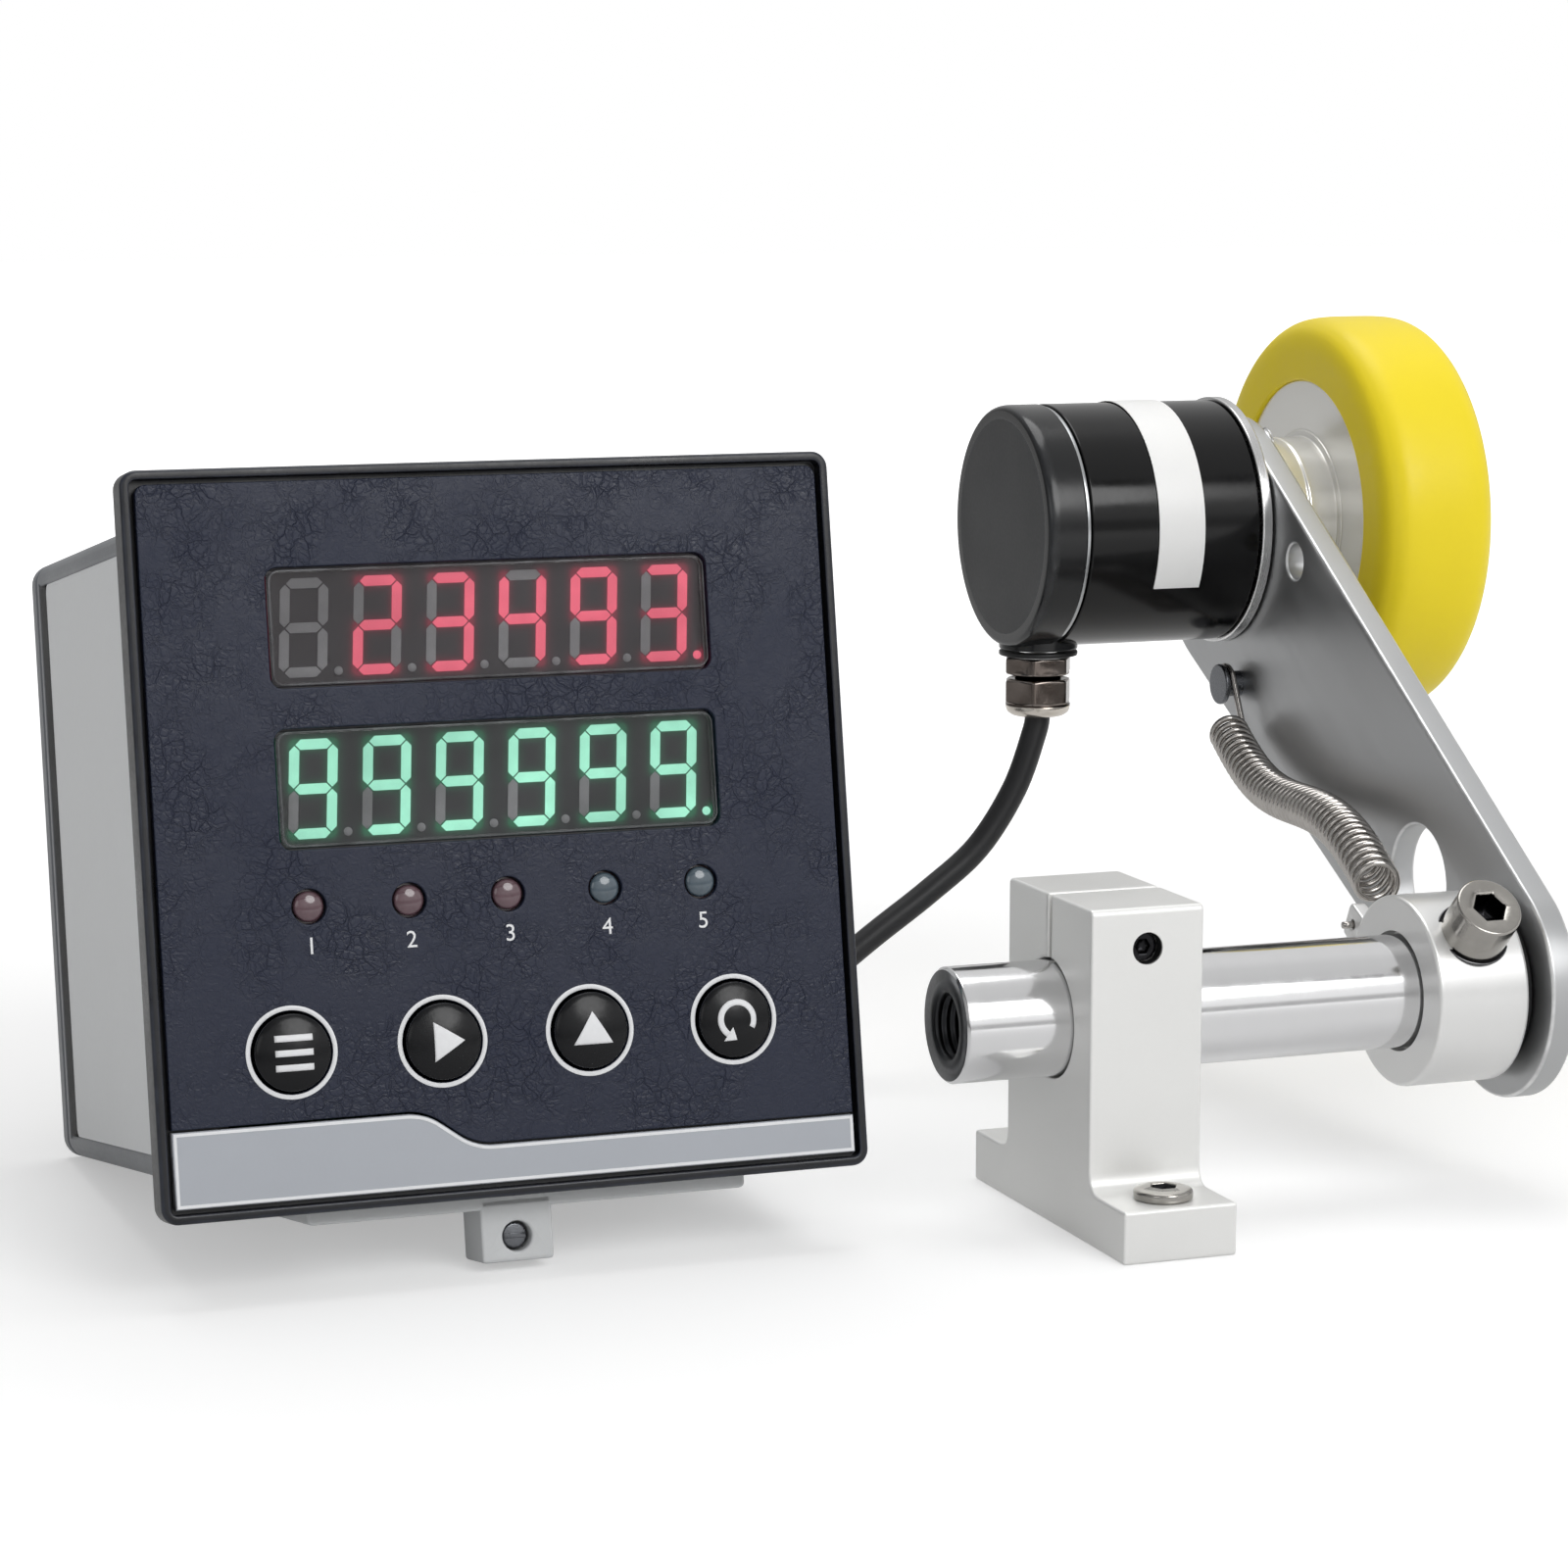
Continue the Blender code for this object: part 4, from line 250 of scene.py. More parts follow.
def worn_and_highlit_group():
    """The rim value times patchy noise mixes in the edge colour, which is partly wear and partly a painted highlight
    along the rounded edges.
    """
    tree, given, result = new_group(
        "worn_edges_painted_highlight",
        (("Colour", "Color", None), ("WearAndSheen", "Color", None), ("Amount", "Float", 0.5)),
        (("Colour", "Color"), ("Mask", "Float")),
    )
    patchy = ranged(tree, noise(tree, own_place(tree), 240.0, 4.0)[0], 0.35, 0.60, 0.35, 1.0)
    mask = arith(tree, "MULTIPLY", arith(tree, "MULTIPLY", rim_value(tree), patchy), given["Amount"])
    tree.links.new(colour_mix(tree, mask, given["Colour"], given["WearAndSheen"]), result["Colour"])
    tree.links.new(mask, result["Mask"])
    return tree


UNEVEN = uneven_group()
WORN_AND_HIGHLIT = worn_and_highlit_group()


def finish(name, colour, roughness, metallic=0.0, tone=0.05, patches=0.08, scale=60.0, stretch=(1, 1, 1), turn=0.0,
           grain=1500.0, relief=0.00001, wear_and_sheen=None, wear_and_sheen_share=0.7, relief_group=None, **shader):
    """A material: the uneven finish gives colour, roughness and grain, the worn edges with their painted highlight lie
    over it, a relief group's mask darkens the colour as painted shade, and Bump turns the grain or the relief group's
    height into the normal."""
    made = bpy.data.materials.new(name)
    made.use_nodes = True
    tree = made.node_tree
    uneven = wired(tree, "Group",
                   {"Colour": tint(colour), "Tone": tone, "Roughness": roughness, "Patches": patches, "Scale": scale,
                    "Stretch": stretch, "Turn": turn, "Grain": grain}, node_tree=UNEVEN)
    base, height = uneven["Colour"], uneven["Height"]
    # The lighter edge colour on the rims is partly wear and partly a painted highlight.
    if wear_and_sheen:
        base = wired(tree, "Group", {"Colour": base, "WearAndSheen": tint(wear_and_sheen), "Amount": wear_and_sheen_share},
                     node_tree=WORN_AND_HIGHLIT)["Colour"]
    if relief_group:
        added = wired(tree, "Group", node_tree=relief_group)
        height = added["Height"]
        # The relief group's mask darkens the colour in its wrinkles: painted shade in the creases.
        base = scaled(tree, base, ranged(tree, added["Mask"], 0.0, 1.0, 0.78, 1.0))
    bump = wired(tree, "Bump", {"Height": height, "Distance": relief, "Strength": 1.0})[0]
    bsdf = tree.nodes["Principled BSDF"]
    for label, socket in (("Base Color", base), ("Roughness", uneven["Roughness"]), ("Normal", bump)):
        tree.links.new(socket, bsdf.inputs[label])
    for label, value in {"Metallic": metallic, **shader}.items():
        bsdf.inputs[label.replace("_", " ")].default_value = value
    return made


def sheet_of(points, close_rows=False, close_columns=False, rim=None):
    """A grid of points as quads between neighbouring rows and columns; closing joins the last one to the first."""
    rows, columns = points.shape[:2]
    index = np.arange(rows * columns).reshape(rows, columns)
    if close_rows:
        index = np.vstack([index, index[:1]])
    if close_columns:
        index = np.hstack([index, index[:, :1]])
    quads = np.stack([index[:-1, :-1], index[:-1, 1:], index[1:, 1:], index[1:, :-1]], axis=-1).reshape(-1, 4)
    weight = np.zeros((rows, columns)) if rim is None else np.broadcast_to(rim, (rows, columns))
    return points.reshape(-1, 3), quads.tolist(), weight.reshape(-1)


def moved(skin, place):
    """Every point times the placement's turn, plus its origin."""
    points, faces, rim = skin
    matrix = np.array(place)
    return points @ matrix[:3, :3].T + matrix[:3, 3], faces, rim


WELD = 1e-7


def piece(name, skins, look, body, nodes="", place=None, weighted=True):
    """Join the skins into one mesh in the row's frame, weld their seams and poles, turn the faces outward, give it its
    material, and say which body it rides on and which solids it stands for."""
    mesh = bpy.data.meshes.new(name)
    start, points, faces, rims = 0, [], [], []
    for skin in skins:
        where, quads, rim = moved(skin, place) if place is not None else skin
        points.append(where)
        rims.append(rim)
        faces += [[start + corner for corner in face] for face in quads]
        start += len(where)
    mesh.from_pydata(np.vstack(points).tolist(), [], faces)
    mesh.attributes.new("rim", "FLOAT", "POINT").data.foreach_set("value", np.concatenate(rims).astype(np.float32))
    shape = bmesh.new()
    shape.from_mesh(mesh)
    bmesh.ops.remove_doubles(shape, verts=shape.verts, dist=WELD)
    bmesh.ops.dissolve_degenerate(shape, edges=shape.edges, dist=WELD)
    bmesh.ops.recalc_face_normals(shape, faces=shape.faces)
    shape.to_mesh(mesh)
    shape.free()
    mesh.shade_smooth()
    mesh.materials.append(look)
    made = linked(name, mesh)
    if weighted:
        made.modifiers.new("Flat faces stay flat", "WEIGHTED_NORMAL").keep_sharp = True
    if body:
        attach(made, body)
    if nodes:
        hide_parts(*nodes.split())
    return made


def smooth_line(knots, steps):
    """Catmull-Rom between knots: half of pull times t, bend times t squared and twist times t cubed, past the start."""
    knots = np.array(knots, float)
    ends = np.vstack([2 * knots[0] - knots[1], knots, 2 * knots[-1] - knots[-2]])
    count = len(ends) - 3
    before, start, end, after = (ends[shift:shift + count, None] for shift in range(4))
    t = np.linspace(0, 1, steps, endpoint=False)[None, :, None]
    pull = (end - before) * t
    bend = (2 * before - 5 * start + 4 * end - after) * t ** 2
    twist = (3 * start - before - 3 * end + after) * t ** 3
    line = (start + (pull + bend + twist) / 2).reshape(-1, 3)
    return np.vstack([line, knots[-1:]])


def tube_along(path, radius, sides, reference):
    """A ring of the radius in the plane across each point's direction: across is reference cross direction, and the
    ring is its cosine along across and its sine along the third axis. Both ends close on their own centre."""
    along = np.gradient(path, axis=0)
    along /= np.linalg.norm(along, axis=1, keepdims=True)
    across = np.cross(reference, along)
    across /= np.linalg.norm(across, axis=1, keepdims=True)
    third = np.cross(along, across)
    angle = np.linspace(0, math.tau, sides, endpoint=False)[None, :, None]
    wall = path[:, None] + (across[:, None] * np.cos(angle) + third[:, None] * np.sin(angle)) * radius
    ends = [np.broadcast_to(end, (1, sides, 3)) for end in (path[0], path[-1])]
    return sheet_of(np.concatenate([ends[0], wall, ends[1]]), close_columns=True)


CORD_DIAMETER = 0.004
GLAND_EXIT = (0.048575, 0.04224, 0.056844)
LEAD = (
    (0.048575, 0.04224, 0.059844),
    GLAND_EXIT,
    (0.0479, 0.0422, 0.0536),
    (0.0446, 0.0422, 0.0450),
    (0.0385, 0.0423, 0.0361),
    (0.0303, 0.0424, 0.0295),
    (0.0206, 0.0425, 0.0228),
    (0.0110, 0.0425, 0.0158),
    (0.0020, 0.0424, 0.0094),
    (-0.0080, 0.0420, 0.0050),
    (-0.0180, 0.0412, 0.0034),
    (-0.0290, 0.0404, 0.0032),
    (-0.0400, 0.0400, 0.0032),
    (-0.0510, 0.0399, 0.0032),
)
COIL_MIDDLE, COIL_BOTTOM, TAIL_MIDDLE = (-0.0620, 0.0665), 0.0032, (-0.0370, 0.0540, 0.0184)
COIL_INNER, COIL_PITCH, COIL_LAYER = 0.0163, 0.0050, 0.0048
COIL_LAYERS, LAYER_TURNS, COIL_STEPS, LINE_STEPS = 4, 2.0625, 40, 8
COIL_OUTER = COIL_INNER + COIL_PITCH * LAYER_TURNS
TERMINAL_ENTRY = np.array((-0.038725, 0.038364, 0.020631))
FACE_OUT = np.array((0.0, -0.984917, 0.173026))


def coil_line():
    """Angle runs clockwise with the turn; the radius spirals in by the pitch on even layers and out on odd ones, and
    the height climbs one layer in the half turn between them."""
    cycle = LAYER_TURNS + 0.5
    turns = COIL_LAYERS * LAYER_TURNS + (COIL_LAYERS - 1) * 0.5
    turn = np.linspace(0, turns, round(turns * COIL_STEPS) + 1)
    layer = np.minimum(turn // cycle, COIL_LAYERS - 1)
    done = turn - layer * cycle
    travelled = np.minimum(done, LAYER_TURNS) * COIL_PITCH
    radius = np.where(layer % 2 == 0, COIL_OUTER - travelled, COIL_INNER + travelled)
    height = COIL_BOTTOM + (layer + np.maximum(0, done - LAYER_TURNS) * 2) * COIL_LAYER
    angle = -math.pi / 2 - math.tau * turn
    return np.stack([COIL_MIDDLE[0] + radius * np.cos(angle), COIL_MIDDLE[1] + radius * np.sin(angle), height], axis=1)


coil = coil_line()
into_coil = (coil[0] - coil[1]) / np.linalg.norm(coil[0] - coil[1])
out_of_coil = (coil[-1] - coil[-2]) / np.linalg.norm(coil[-1] - coil[-2])
lead_line = smooth_line([*LEAD, coil[0] + into_coil * CORD_DIAMETER, coil[0]], LINE_STEPS)
tail_line = smooth_line([coil[-1], coil[-1] + out_of_coil * CORD_DIAMETER, TAIL_MIDDLE,
                         TERMINAL_ENTRY - FACE_OUT * CORD_DIAMETER * 2, TERMINAL_ENTRY], LINE_STEPS)
cord_line = np.vstack([lead_line[:-1], coil, tail_line[1:]])
# Across the lead the rings are squared to Y, round the coil to Z; the change lies where the cord runs along X.
turn_over = np.clip((len(lead_line) - LINE_STEPS - np.arange(len(cord_line))) / 24, 0, 1) * math.pi / 2
cord_reference = np.stack([np.zeros(len(cord_line)), np.sin(turn_over), np.cos(turn_over)], axis=1)
jacket = finish("cord_jacket_black", "1c1c1e", 0.42, scale=90.0, grain=1600.0, relief=0.000012, Specular_IOR_Level=0.45)
cord = piece("encoder_cord", [tube_along(cord_line, CORD_DIAMETER / 2, 20, cord_reference)], jacket, None,
             "cord_lead cord_coil cord_tail", weighted=False)
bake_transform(cord)


# The tie and the cord's entry. A white band holds the coil together at its left side. The cord's end goes into the
# terminal row through a black tapered sleeve.
def at_height(flat, height):
    """Flat rows of points, each row at its height."""
    height = np.asarray(height, float)[:, None, None]
    return np.concatenate([flat, np.broadcast_to(height, flat.shape[:2] + (1,))], axis=2)


def rounded_loop(width, height, radius, middle=(0.0, 0.0), corner_steps=8):
    """A rectangle's round corners: each quarter circle about its own corner centre, run on to the next."""
    quarter = np.linspace(0, math.pi / 2, corner_steps)
    angle = (np.arange(4)[:, None] * math.pi / 2 + quarter[None]).reshape(-1)
    side_x = np.repeat([1, -1, -1, 1], corner_steps) * (width / 2 - radius)
    side_y = np.repeat([1, 1, -1, -1], corner_steps) * (height / 2 - radius)
    return np.stack([middle[0] + side_x + radius * np.cos(angle), middle[1] + side_y + radius * np.sin(angle)], axis=1)


def outline_normals(loop):
    """At each point the mean of its two edges' outward normals, lengthened so that both edges keep their distance."""
    edge = np.roll(loop, -1, axis=0) - loop
    normal = np.stack([edge[:, 1], -edge[:, 0]], axis=1)
    normal /= np.maximum(np.linalg.norm(normal, axis=1, keepdims=True), 1e-12)
    before = np.roll(normal, 1, axis=0)
    return (normal + before) / (1 + (normal * before).sum(axis=1, keepdims=True))


def plate(loops, low, high, edge=0.0003, arc_steps=4):
    """Every outline is carried through the thickness. At either face its inset is the edge radius times one less the
    sine, and its drop one less the cosine, of a quarter turn; the faces are filled between the inset outlines."""
    quarter = np.linspace(0, math.pi / 2, arc_steps)
    inset, drop = edge * (1 - np.sin(quarter)), edge * (1 - np.cos(quarter))
    insets = np.concatenate([inset, inset[::-1]])
    heights = np.concatenate([high - drop, low + drop[::-1]])
    rim = np.tile(np.sin(2 * quarter), 2)[:, None]
    points, faces, rims, start, tops, bottoms = [], [], [], 0, [], []
    for number, loop in enumerate(loops):
        loop = np.asarray(loop, float)
        area = (loop[:, 0] * np.roll(loop[:, 1], -1) - np.roll(loop[:, 0], -1) * loop[:, 1]).sum()
        if (area > 0) != (number == 0):
            loop = loop[::-1]
        flat = loop[None] - outline_normals(loop)[None] * insets[:, None, None]
        wall, quads, weight = sheet_of(at_height(flat, heights), close_columns=True, rim=rim)
        points.append(wall)
        rims.append(weight)
        faces += [[start + corner for corner in quad] for quad in quads]
        tops.append((start, len(loop)))
        bottoms.append((start + len(wall) - len(loop), len(loop)))
        start += len(wall)
    points = np.vstack(points)
    for ends in (tops, bottoms):
        order = np.concatenate([np.arange(first, first + count) for first, count in ends])
        rows = [[Vector((*points[index, :2], 0.0)) for index in range(first, first + count)] for first, count in ends]
        faces += [[int(order[corner]) for corner in triangle] for triangle in tessellate_polygon(rows)]
    return points, faces, np.concatenate(rims)


def slab(width, height, radius, low, high, edge, middle=(0.0, 0.0), arc_steps=4):
    """A plate whose outline is a rectangle with round corners."""
    return plate([rounded_loop(width, height, radius, middle)], low, high, edge, arc_steps)


def eased(corners, radius, closed=False, steps=5):
    """Each corner becomes a curve: between two points the radius away along its sides, weighted one less t squared
    there, twice t times one less t at the corner, and t squared. The third column is the rim value, sine of pi t."""
    corners = np.asarray(corners, float)
    radius = np.broadcast_to(np.asarray(radius, float), (len(corners),))[:, None]
    ends = []
    for way in (1, -1):
        side = np.roll(corners, way, axis=0) - corners
        length = np.maximum(np.linalg.norm(side, axis=1, keepdims=True), 1e-9)
        ends.append((corners + side / length * np.minimum(radius, length * 0.45))[:, None])
    t = np.linspace(0, 1, steps)[None, :, None]
    curve = ends[0] * (1 - t) ** 2 + corners[:, None] * 2 * t * (1 - t) + ends[1] * t ** 2
    rows = np.concatenate([curve, np.broadcast_to(np.sin(math.pi * t), curve.shape[:2] + (1,))], axis=2)
    if closed:
        return rows.reshape(-1, 3)
    return np.vstack([(*corners[0], 0.0), rows[1:-1].reshape(-1, 3), (*corners[-1], 0.0)])


def turned(profile, steps=96, ring=False, sixfold=None, ripple=None):
    """Radius times cosine and sine of the angle, at the profile's height. Rows marked sixfold have their radius times
    cos 30 over the cosine of the angle from the nearest flat, so they are hexagons; ripple adds to the radius."""
    profile = np.asarray(profile, float)
    angle = np.linspace(0, math.tau, steps, endpoint=False)
    radius = np.broadcast_to(profile[:, :1], (len(profile), steps)).copy()
    if sixfold is not None:
        flat = math.cos(math.pi / 6) / np.cos((angle % (math.pi / 3)) - math.pi / 6)
        share = np.asarray(sixfold, float)[:, None]
        radius = radius * (1 - share + share * flat[None])
    if ripple is not None:
        radius = radius + ripple(angle[None], profile[:, 1:2])
    grid = at_height(np.stack([radius * np.cos(angle), radius * np.sin(angle)], axis=2), profile[:, 1])
    return sheet_of(grid, close_rows=ring, close_columns=True, rim=profile[:, 2:] if profile.shape[1] > 2 else None)


def lathe(name, corners, ease, look, body, nodes, place, steps=96, ring=False, arc_steps=5):
    """A piece turned from a profile with eased corners; a ring's profile is closed."""
    return piece(name, [turned(eased(corners, ease, ring, arc_steps), steps, ring)], look, body, nodes, place)


def set_at(origin, x_axis, z_axis):
    """The placement whose own X and Z run along two directions."""
    x_axis, z_axis = Vector(x_axis).normalized(), Vector(z_axis).normalized()
    place = Matrix((x_axis, z_axis.cross(x_axis), z_axis)).transposed().to_4x4()
    place.translation = Vector(origin)
    return place


TIE_THICKNESS, TIE_WIDTH, TIE_CLEAR, TIE_CORNER = 0.0006, 0.0040, 0.0006, 0.0020
tie_low, tie_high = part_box("cord_tie")
bundle_width = COIL_OUTER - COIL_INNER + CORD_DIAMETER + TIE_CLEAR
bundle_height = COIL_LAYER * (COIL_LAYERS - 1) + CORD_DIAMETER + TIE_CLEAR
tie_loops = [rounded_loop(bundle_width + wall * 2, bundle_height + wall * 2, TIE_CORNER + wall)
             for wall in (TIE_THICKNESS, 0.0)]
nylon = finish("tie_white_nylon", "d8d7d2", 0.40, tone=0.02, grain=1400.0, relief=0.000006)
tie = piece("coil_tie", [plate(tie_loops, -TIE_WIDTH / 2, TIE_WIDTH / 2, 0.00015)], nylon, STAND, "cord_tie",
            set_at((tie_low + tie_high) / 2, (1, 0, 0), (0, -1, 0)))
lock_place = set_at((tie_low.x + 0.0012, tie_low.y + TIE_WIDTH / 2, tie_high.z * 0.62), (0, 1, 0), (1, 0, 0))
piece("coil_tie_lock", [slab(0.0052, 0.0042, 0.0008, -0.0008, 0.0012, 0.0004)], nylon, STAND, "", lock_place)
lathe("cord_entry_sleeve", ((0.0, 0.0), (0.0042, 0.0), (0.0042, 0.0012), (0.0032, 0.0016), (0.0024, 0.0085),
                            (0.0021, 0.0086), (0.0021, 0.0030), (0.0, 0.0030)), 0.0004, jacket, STAND, "",
      set_at(TERMINAL_ENTRY + FACE_OUT * 0.0002, (1, 0, 0), -FACE_OUT), 48)

# The counter's front frame. A near-black moulded frame, 96 mm square and 5 mm deep, with round corners, a glossy edge
# painted lighter as its highlight and a pocket in which the front plate is glued. The whole counter leans back on its
# lug.
LEAN = math.atan2(0.013, 0.074)
FACE = set_at((-0.064975, -0.05293, 0.0112866), (1, 0, 0), (0, -math.cos(LEAN), math.sin(LEAN)))
FRONT = 0.096
MIDDLE = FRONT / 2
FRONT_CORNER, FRAME_DEPTH, FRAME_RIM, POCKET_DEPTH, FRAME_LEDGE = 0.0022, 0.0050, 0.0012, 0.0021, 0.0098
LEAST_CORNER = 0.0006
frame_profile = eased(
    ((0.0, -FRAME_DEPTH), (0.0, 0.0), (FRAME_RIM, 0.0), (FRAME_RIM, -POCKET_DEPTH), (FRAME_LEDGE, -POCKET_DEPTH),
     (FRAME_LEDGE, -FRAME_DEPTH)), (0.0006, 0.0006, 0.0003, 0.0001, 0.0003, 0.0003), closed=True)
# Each point of the profile, its way in and its height, draws a smaller rectangle, whose corner shrinks with it.
frame_rows = np.stack([rounded_loop(FRONT - 2 * inset, FRONT - 2 * inset, max(FRONT_CORNER - inset, LEAST_CORNER),
                                    (0.0, MIDDLE), 9) for inset in frame_profile[:, 0]])
frame_skin = sheet_of(at_height(frame_rows, frame_profile[:, 1]), True, True, frame_profile[:, 2:])
bezel_black = finish("frame_black_plastic", "080a12", 0.34, tone=0.06, patches=0.10, grain=1300.0, relief=0.000012,
                     wear_and_sheen="343946")
piece("front_frame", [frame_skin], bezel_black, STAND, "front_bezel", FACE)

# The front plate. Slate plastic with a fine leather grain, glued into the frame, with openings for two displays,
# five lamps and four buttons. A silver strip with a pale printed edge is let in along its foot.
def arc_loop(radius, angle, middle=(0.0, 0.0)):
    """Cosine and sine of the angles, times the radius, about the middle."""
    return np.stack([middle[0] + radius * np.cos(angle), middle[1] + radius * np.sin(angle)], axis=1)


def circle_loop(radius, middle=(0.0, 0.0), steps=64):
    """The arc of a whole turn."""
    return arc_loop(radius, np.linspace(0, math.tau, steps, endpoint=False), middle)


PLATE_EDGE, PLATE_FRONT, PLATE_BACK, PLATE_CORNER, CLEAR = 0.0019, -0.0002, -0.0018, 0.0014, 0.0003
WINDOW_WIDTH, WINDOW_HEIGHT, WINDOW_CORNER, WINDOW_ROWS = 0.0592, 0.0150, 0.0016, {"red": 0.0752, "green": 0.0544}
LAMP_ROW, LAMP_PITCH, LAMP_DIAMETER = 0.0393, 0.0133, 0.0040
BUTTON_ROW, BUTTON_PITCH, BUTTON_DIAMETER = 0.0208, 0.0200, 0.0100
STRIP_TALL, STRIP_LOW, STRIP_STEP, STRIP_RUN, STRIP_EASE = 0.0098, 0.0050, 0.0129, 0.0065, 0.0026
STRIP_FRONT, STRIP_LINE = -0.0001, (0.00015, 0.00055)
lamp_places = (np.arange(5) - 2) * LAMP_PITCH
button_places = (np.arange(4) - 1.5) * BUTTON_PITCH
side = MIDDLE - PLATE_EDGE
tall, low = PLATE_EDGE + STRIP_TALL, PLATE_EDGE + STRIP_LOW
strip_top = eased(((-side, tall), (-STRIP_STEP, tall), (STRIP_RUN - STRIP_STEP, low), (side, low)), STRIP_EASE,
                  steps=9)[:, :2]
plate_top = rounded_loop(side * 2, 0.02, PLATE_CORNER, (0, FRONT - PLATE_EDGE - 0.01))[:16]
windows = [rounded_loop(WINDOW_WIDTH + CLEAR * 2, WINDOW_HEIGHT + CLEAR * 2, WINDOW_CORNER, (0, row))
           for row in WINDOW_ROWS.values()]
holes = [circle_loop(LAMP_DIAMETER / 2 + CLEAR, (x, LAMP_ROW), 40) for x in lamp_places]
holes += [circle_loop(BUTTON_DIAMETER / 2 + CLEAR, (x, BUTTON_ROW), 64) for x in button_places]


def leather_group():
    """Distance to the cell edges of two cell patterns that slow noise bends, long wrinkles and short ones; the lower of
    the two is the wrinkle, and fine noise lies on it. The wrinkle is also the mask with which the finish paints shade
    into the creases."""
    tree, given, result = new_group(
        "leather_grain", (("Long", "Float", 400.0), ("Short", "Float", 1000.0), ("Fine", "Float", 0.3)),
        (("Height", "Float"), ("Mask", "Float")),
    )
    own = own_place(tree)
    offset = scaled(tree, noise(tree, own, 300.0, 4.0)["Color"], 0.0034)
    place = wired(tree, "VectorMath", {0: own, 1: offset}, operation="ADD")[0]
    faded = ranged(tree, noise(tree, own, 110.0, 2.0)[0], 0.40, 0.62, 0.0, 0.8)
    lines = []
    for label, width in (("Long", 0.055), ("Short", 0.16)):
        cells = wired(tree, "TexVoronoi", {"Vector": place, "Scale": given[label]},
                      feature="DISTANCE_TO_EDGE")
        lines.append(arith(tree, "MAXIMUM", ranged(tree, cells["Distance"], 0.0, width), faded))
    wrinkle = arith(tree, "MINIMUM", lines[0], ranged(tree, lines[1], 0.0, 1.0, 0.45, 1.0))
    height = arith(tree, "MULTIPLY_ADD", noise(tree, own, 2600.0, 3.0)[0], given["Fine"], wrinkle)
    tree.links.new(height, result["Height"])
    tree.links.new(wrinkle, result["Mask"])
    return tree


slate = finish("plate_slate_grain", "121a31", 0.44, tone=0.04, patches=0.12, scale=45.0, grain=900.0, relief=0.00009,
               wear_and_sheen="39404f", wear_and_sheen_share=0.5, relief_group=leather_group(), Specular_IOR_Level=0.42)
plate_loops = [np.vstack([strip_top + (0.0, CLEAR), plate_top])] + windows + holes
piece("front_plate", [plate(plate_loops, PLATE_BACK, PLATE_FRONT, 0.0002)], slate, STAND, "front_overlay",
      FACE)
strip_loop = np.vstack([strip_top, [(side, PLATE_EDGE), (-side, PLATE_EDGE)]])
silver = finish("strip_silver_print", "b2b6bd", 0.40, tone=0.015, patches=0.05, scale=30.0, grain=2200.0,
                relief=0.000006)
print_white = finish("print_white", "eeeff1", 0.50, tone=0.03, scale=700.0, grain=2500.0, relief=0.000006)
piece("foot_strip", [plate([strip_loop], PLATE_BACK, STRIP_FRONT, 0.00022)], silver, STAND, "silver_strip",
      FACE)
strip_lines = [strip_loop[::-1] - outline_normals(strip_loop[::-1]) * way_in for way_in in STRIP_LINE]
piece("foot_strip_line", [plate(strip_lines, STRIP_FRONT, -0.00005, 0.00001, 2)], print_white, STAND, "", FACE)

# The two displays. Each has a black module with six slanted seven-bar digits and a round point after each, and a
# smoked lens over it. The upper one shows a count in red, the lower one the preset in green.
DIGIT_PITCH, DIGIT_START, DIGIT_WIDTH, DIGIT_HEIGHT, DIGIT_SLANT = 0.0098, -0.0248, 0.0067, 0.0131, 0.075
BAR, BAR_GAP, BAR_LIFT, BAR_EDGE = 0.0016, 0.00013, 0.00012, 0.00005
POINT_RADIUS, POINT_OFFSET, POINT_LINE = 0.00058, 0.0043, 0.00001
MODULE_FACE, MODULE_BACK, LENS_FRONT, LENS_BACK, HALO_REACH = -0.00188, -0.0137, -0.0001, -0.0016, 0.00035
SHOWN_BARS = {"2": "abged", "3": "abgcd", "4": "fgbc", "9": "afgbcd", " ": ""}
half_w, half_h = DIGIT_WIDTH / 2 - BAR / 2, DIGIT_HEIGHT / 2 - BAR / 2
BARS = {
    "a": ((-half_w, half_h), (half_w, half_h)), "d": ((-half_w, -half_h), (half_w, -half_h)),
    "g": ((-half_w, 0.0), (half_w, 0.0)), "f": ((-half_w, 0.0), (-half_w, half_h)),
    "b": ((half_w, 0.0), (half_w, half_h)), "e": ((-half_w, -half_h), (-half_w, 0.0)),
    "c": ((half_w, -half_h), (half_w, 0.0)),
}


def bar_loop(start, end, middle):
    """A six-sided bar: pointed at both ends, half its width in from each, then slanted by its height."""
    start, end = np.array(start), np.array(end)
    along = (end - start) / np.linalg.norm(end - start)
    across = np.array((-along[1], along[0])) * (BAR / 2 - BAR_GAP)
    tip, shoulder = along * BAR_GAP, along * (BAR / 2)
    loop = np.array([start + tip, start + shoulder - across, end - shoulder - across, end - tip,
                     end - shoulder + across, start + shoulder + across])
    return loop + np.stack([loop[:, 1] * DIGIT_SLANT, np.zeros(6)], axis=1) + np.array(middle)


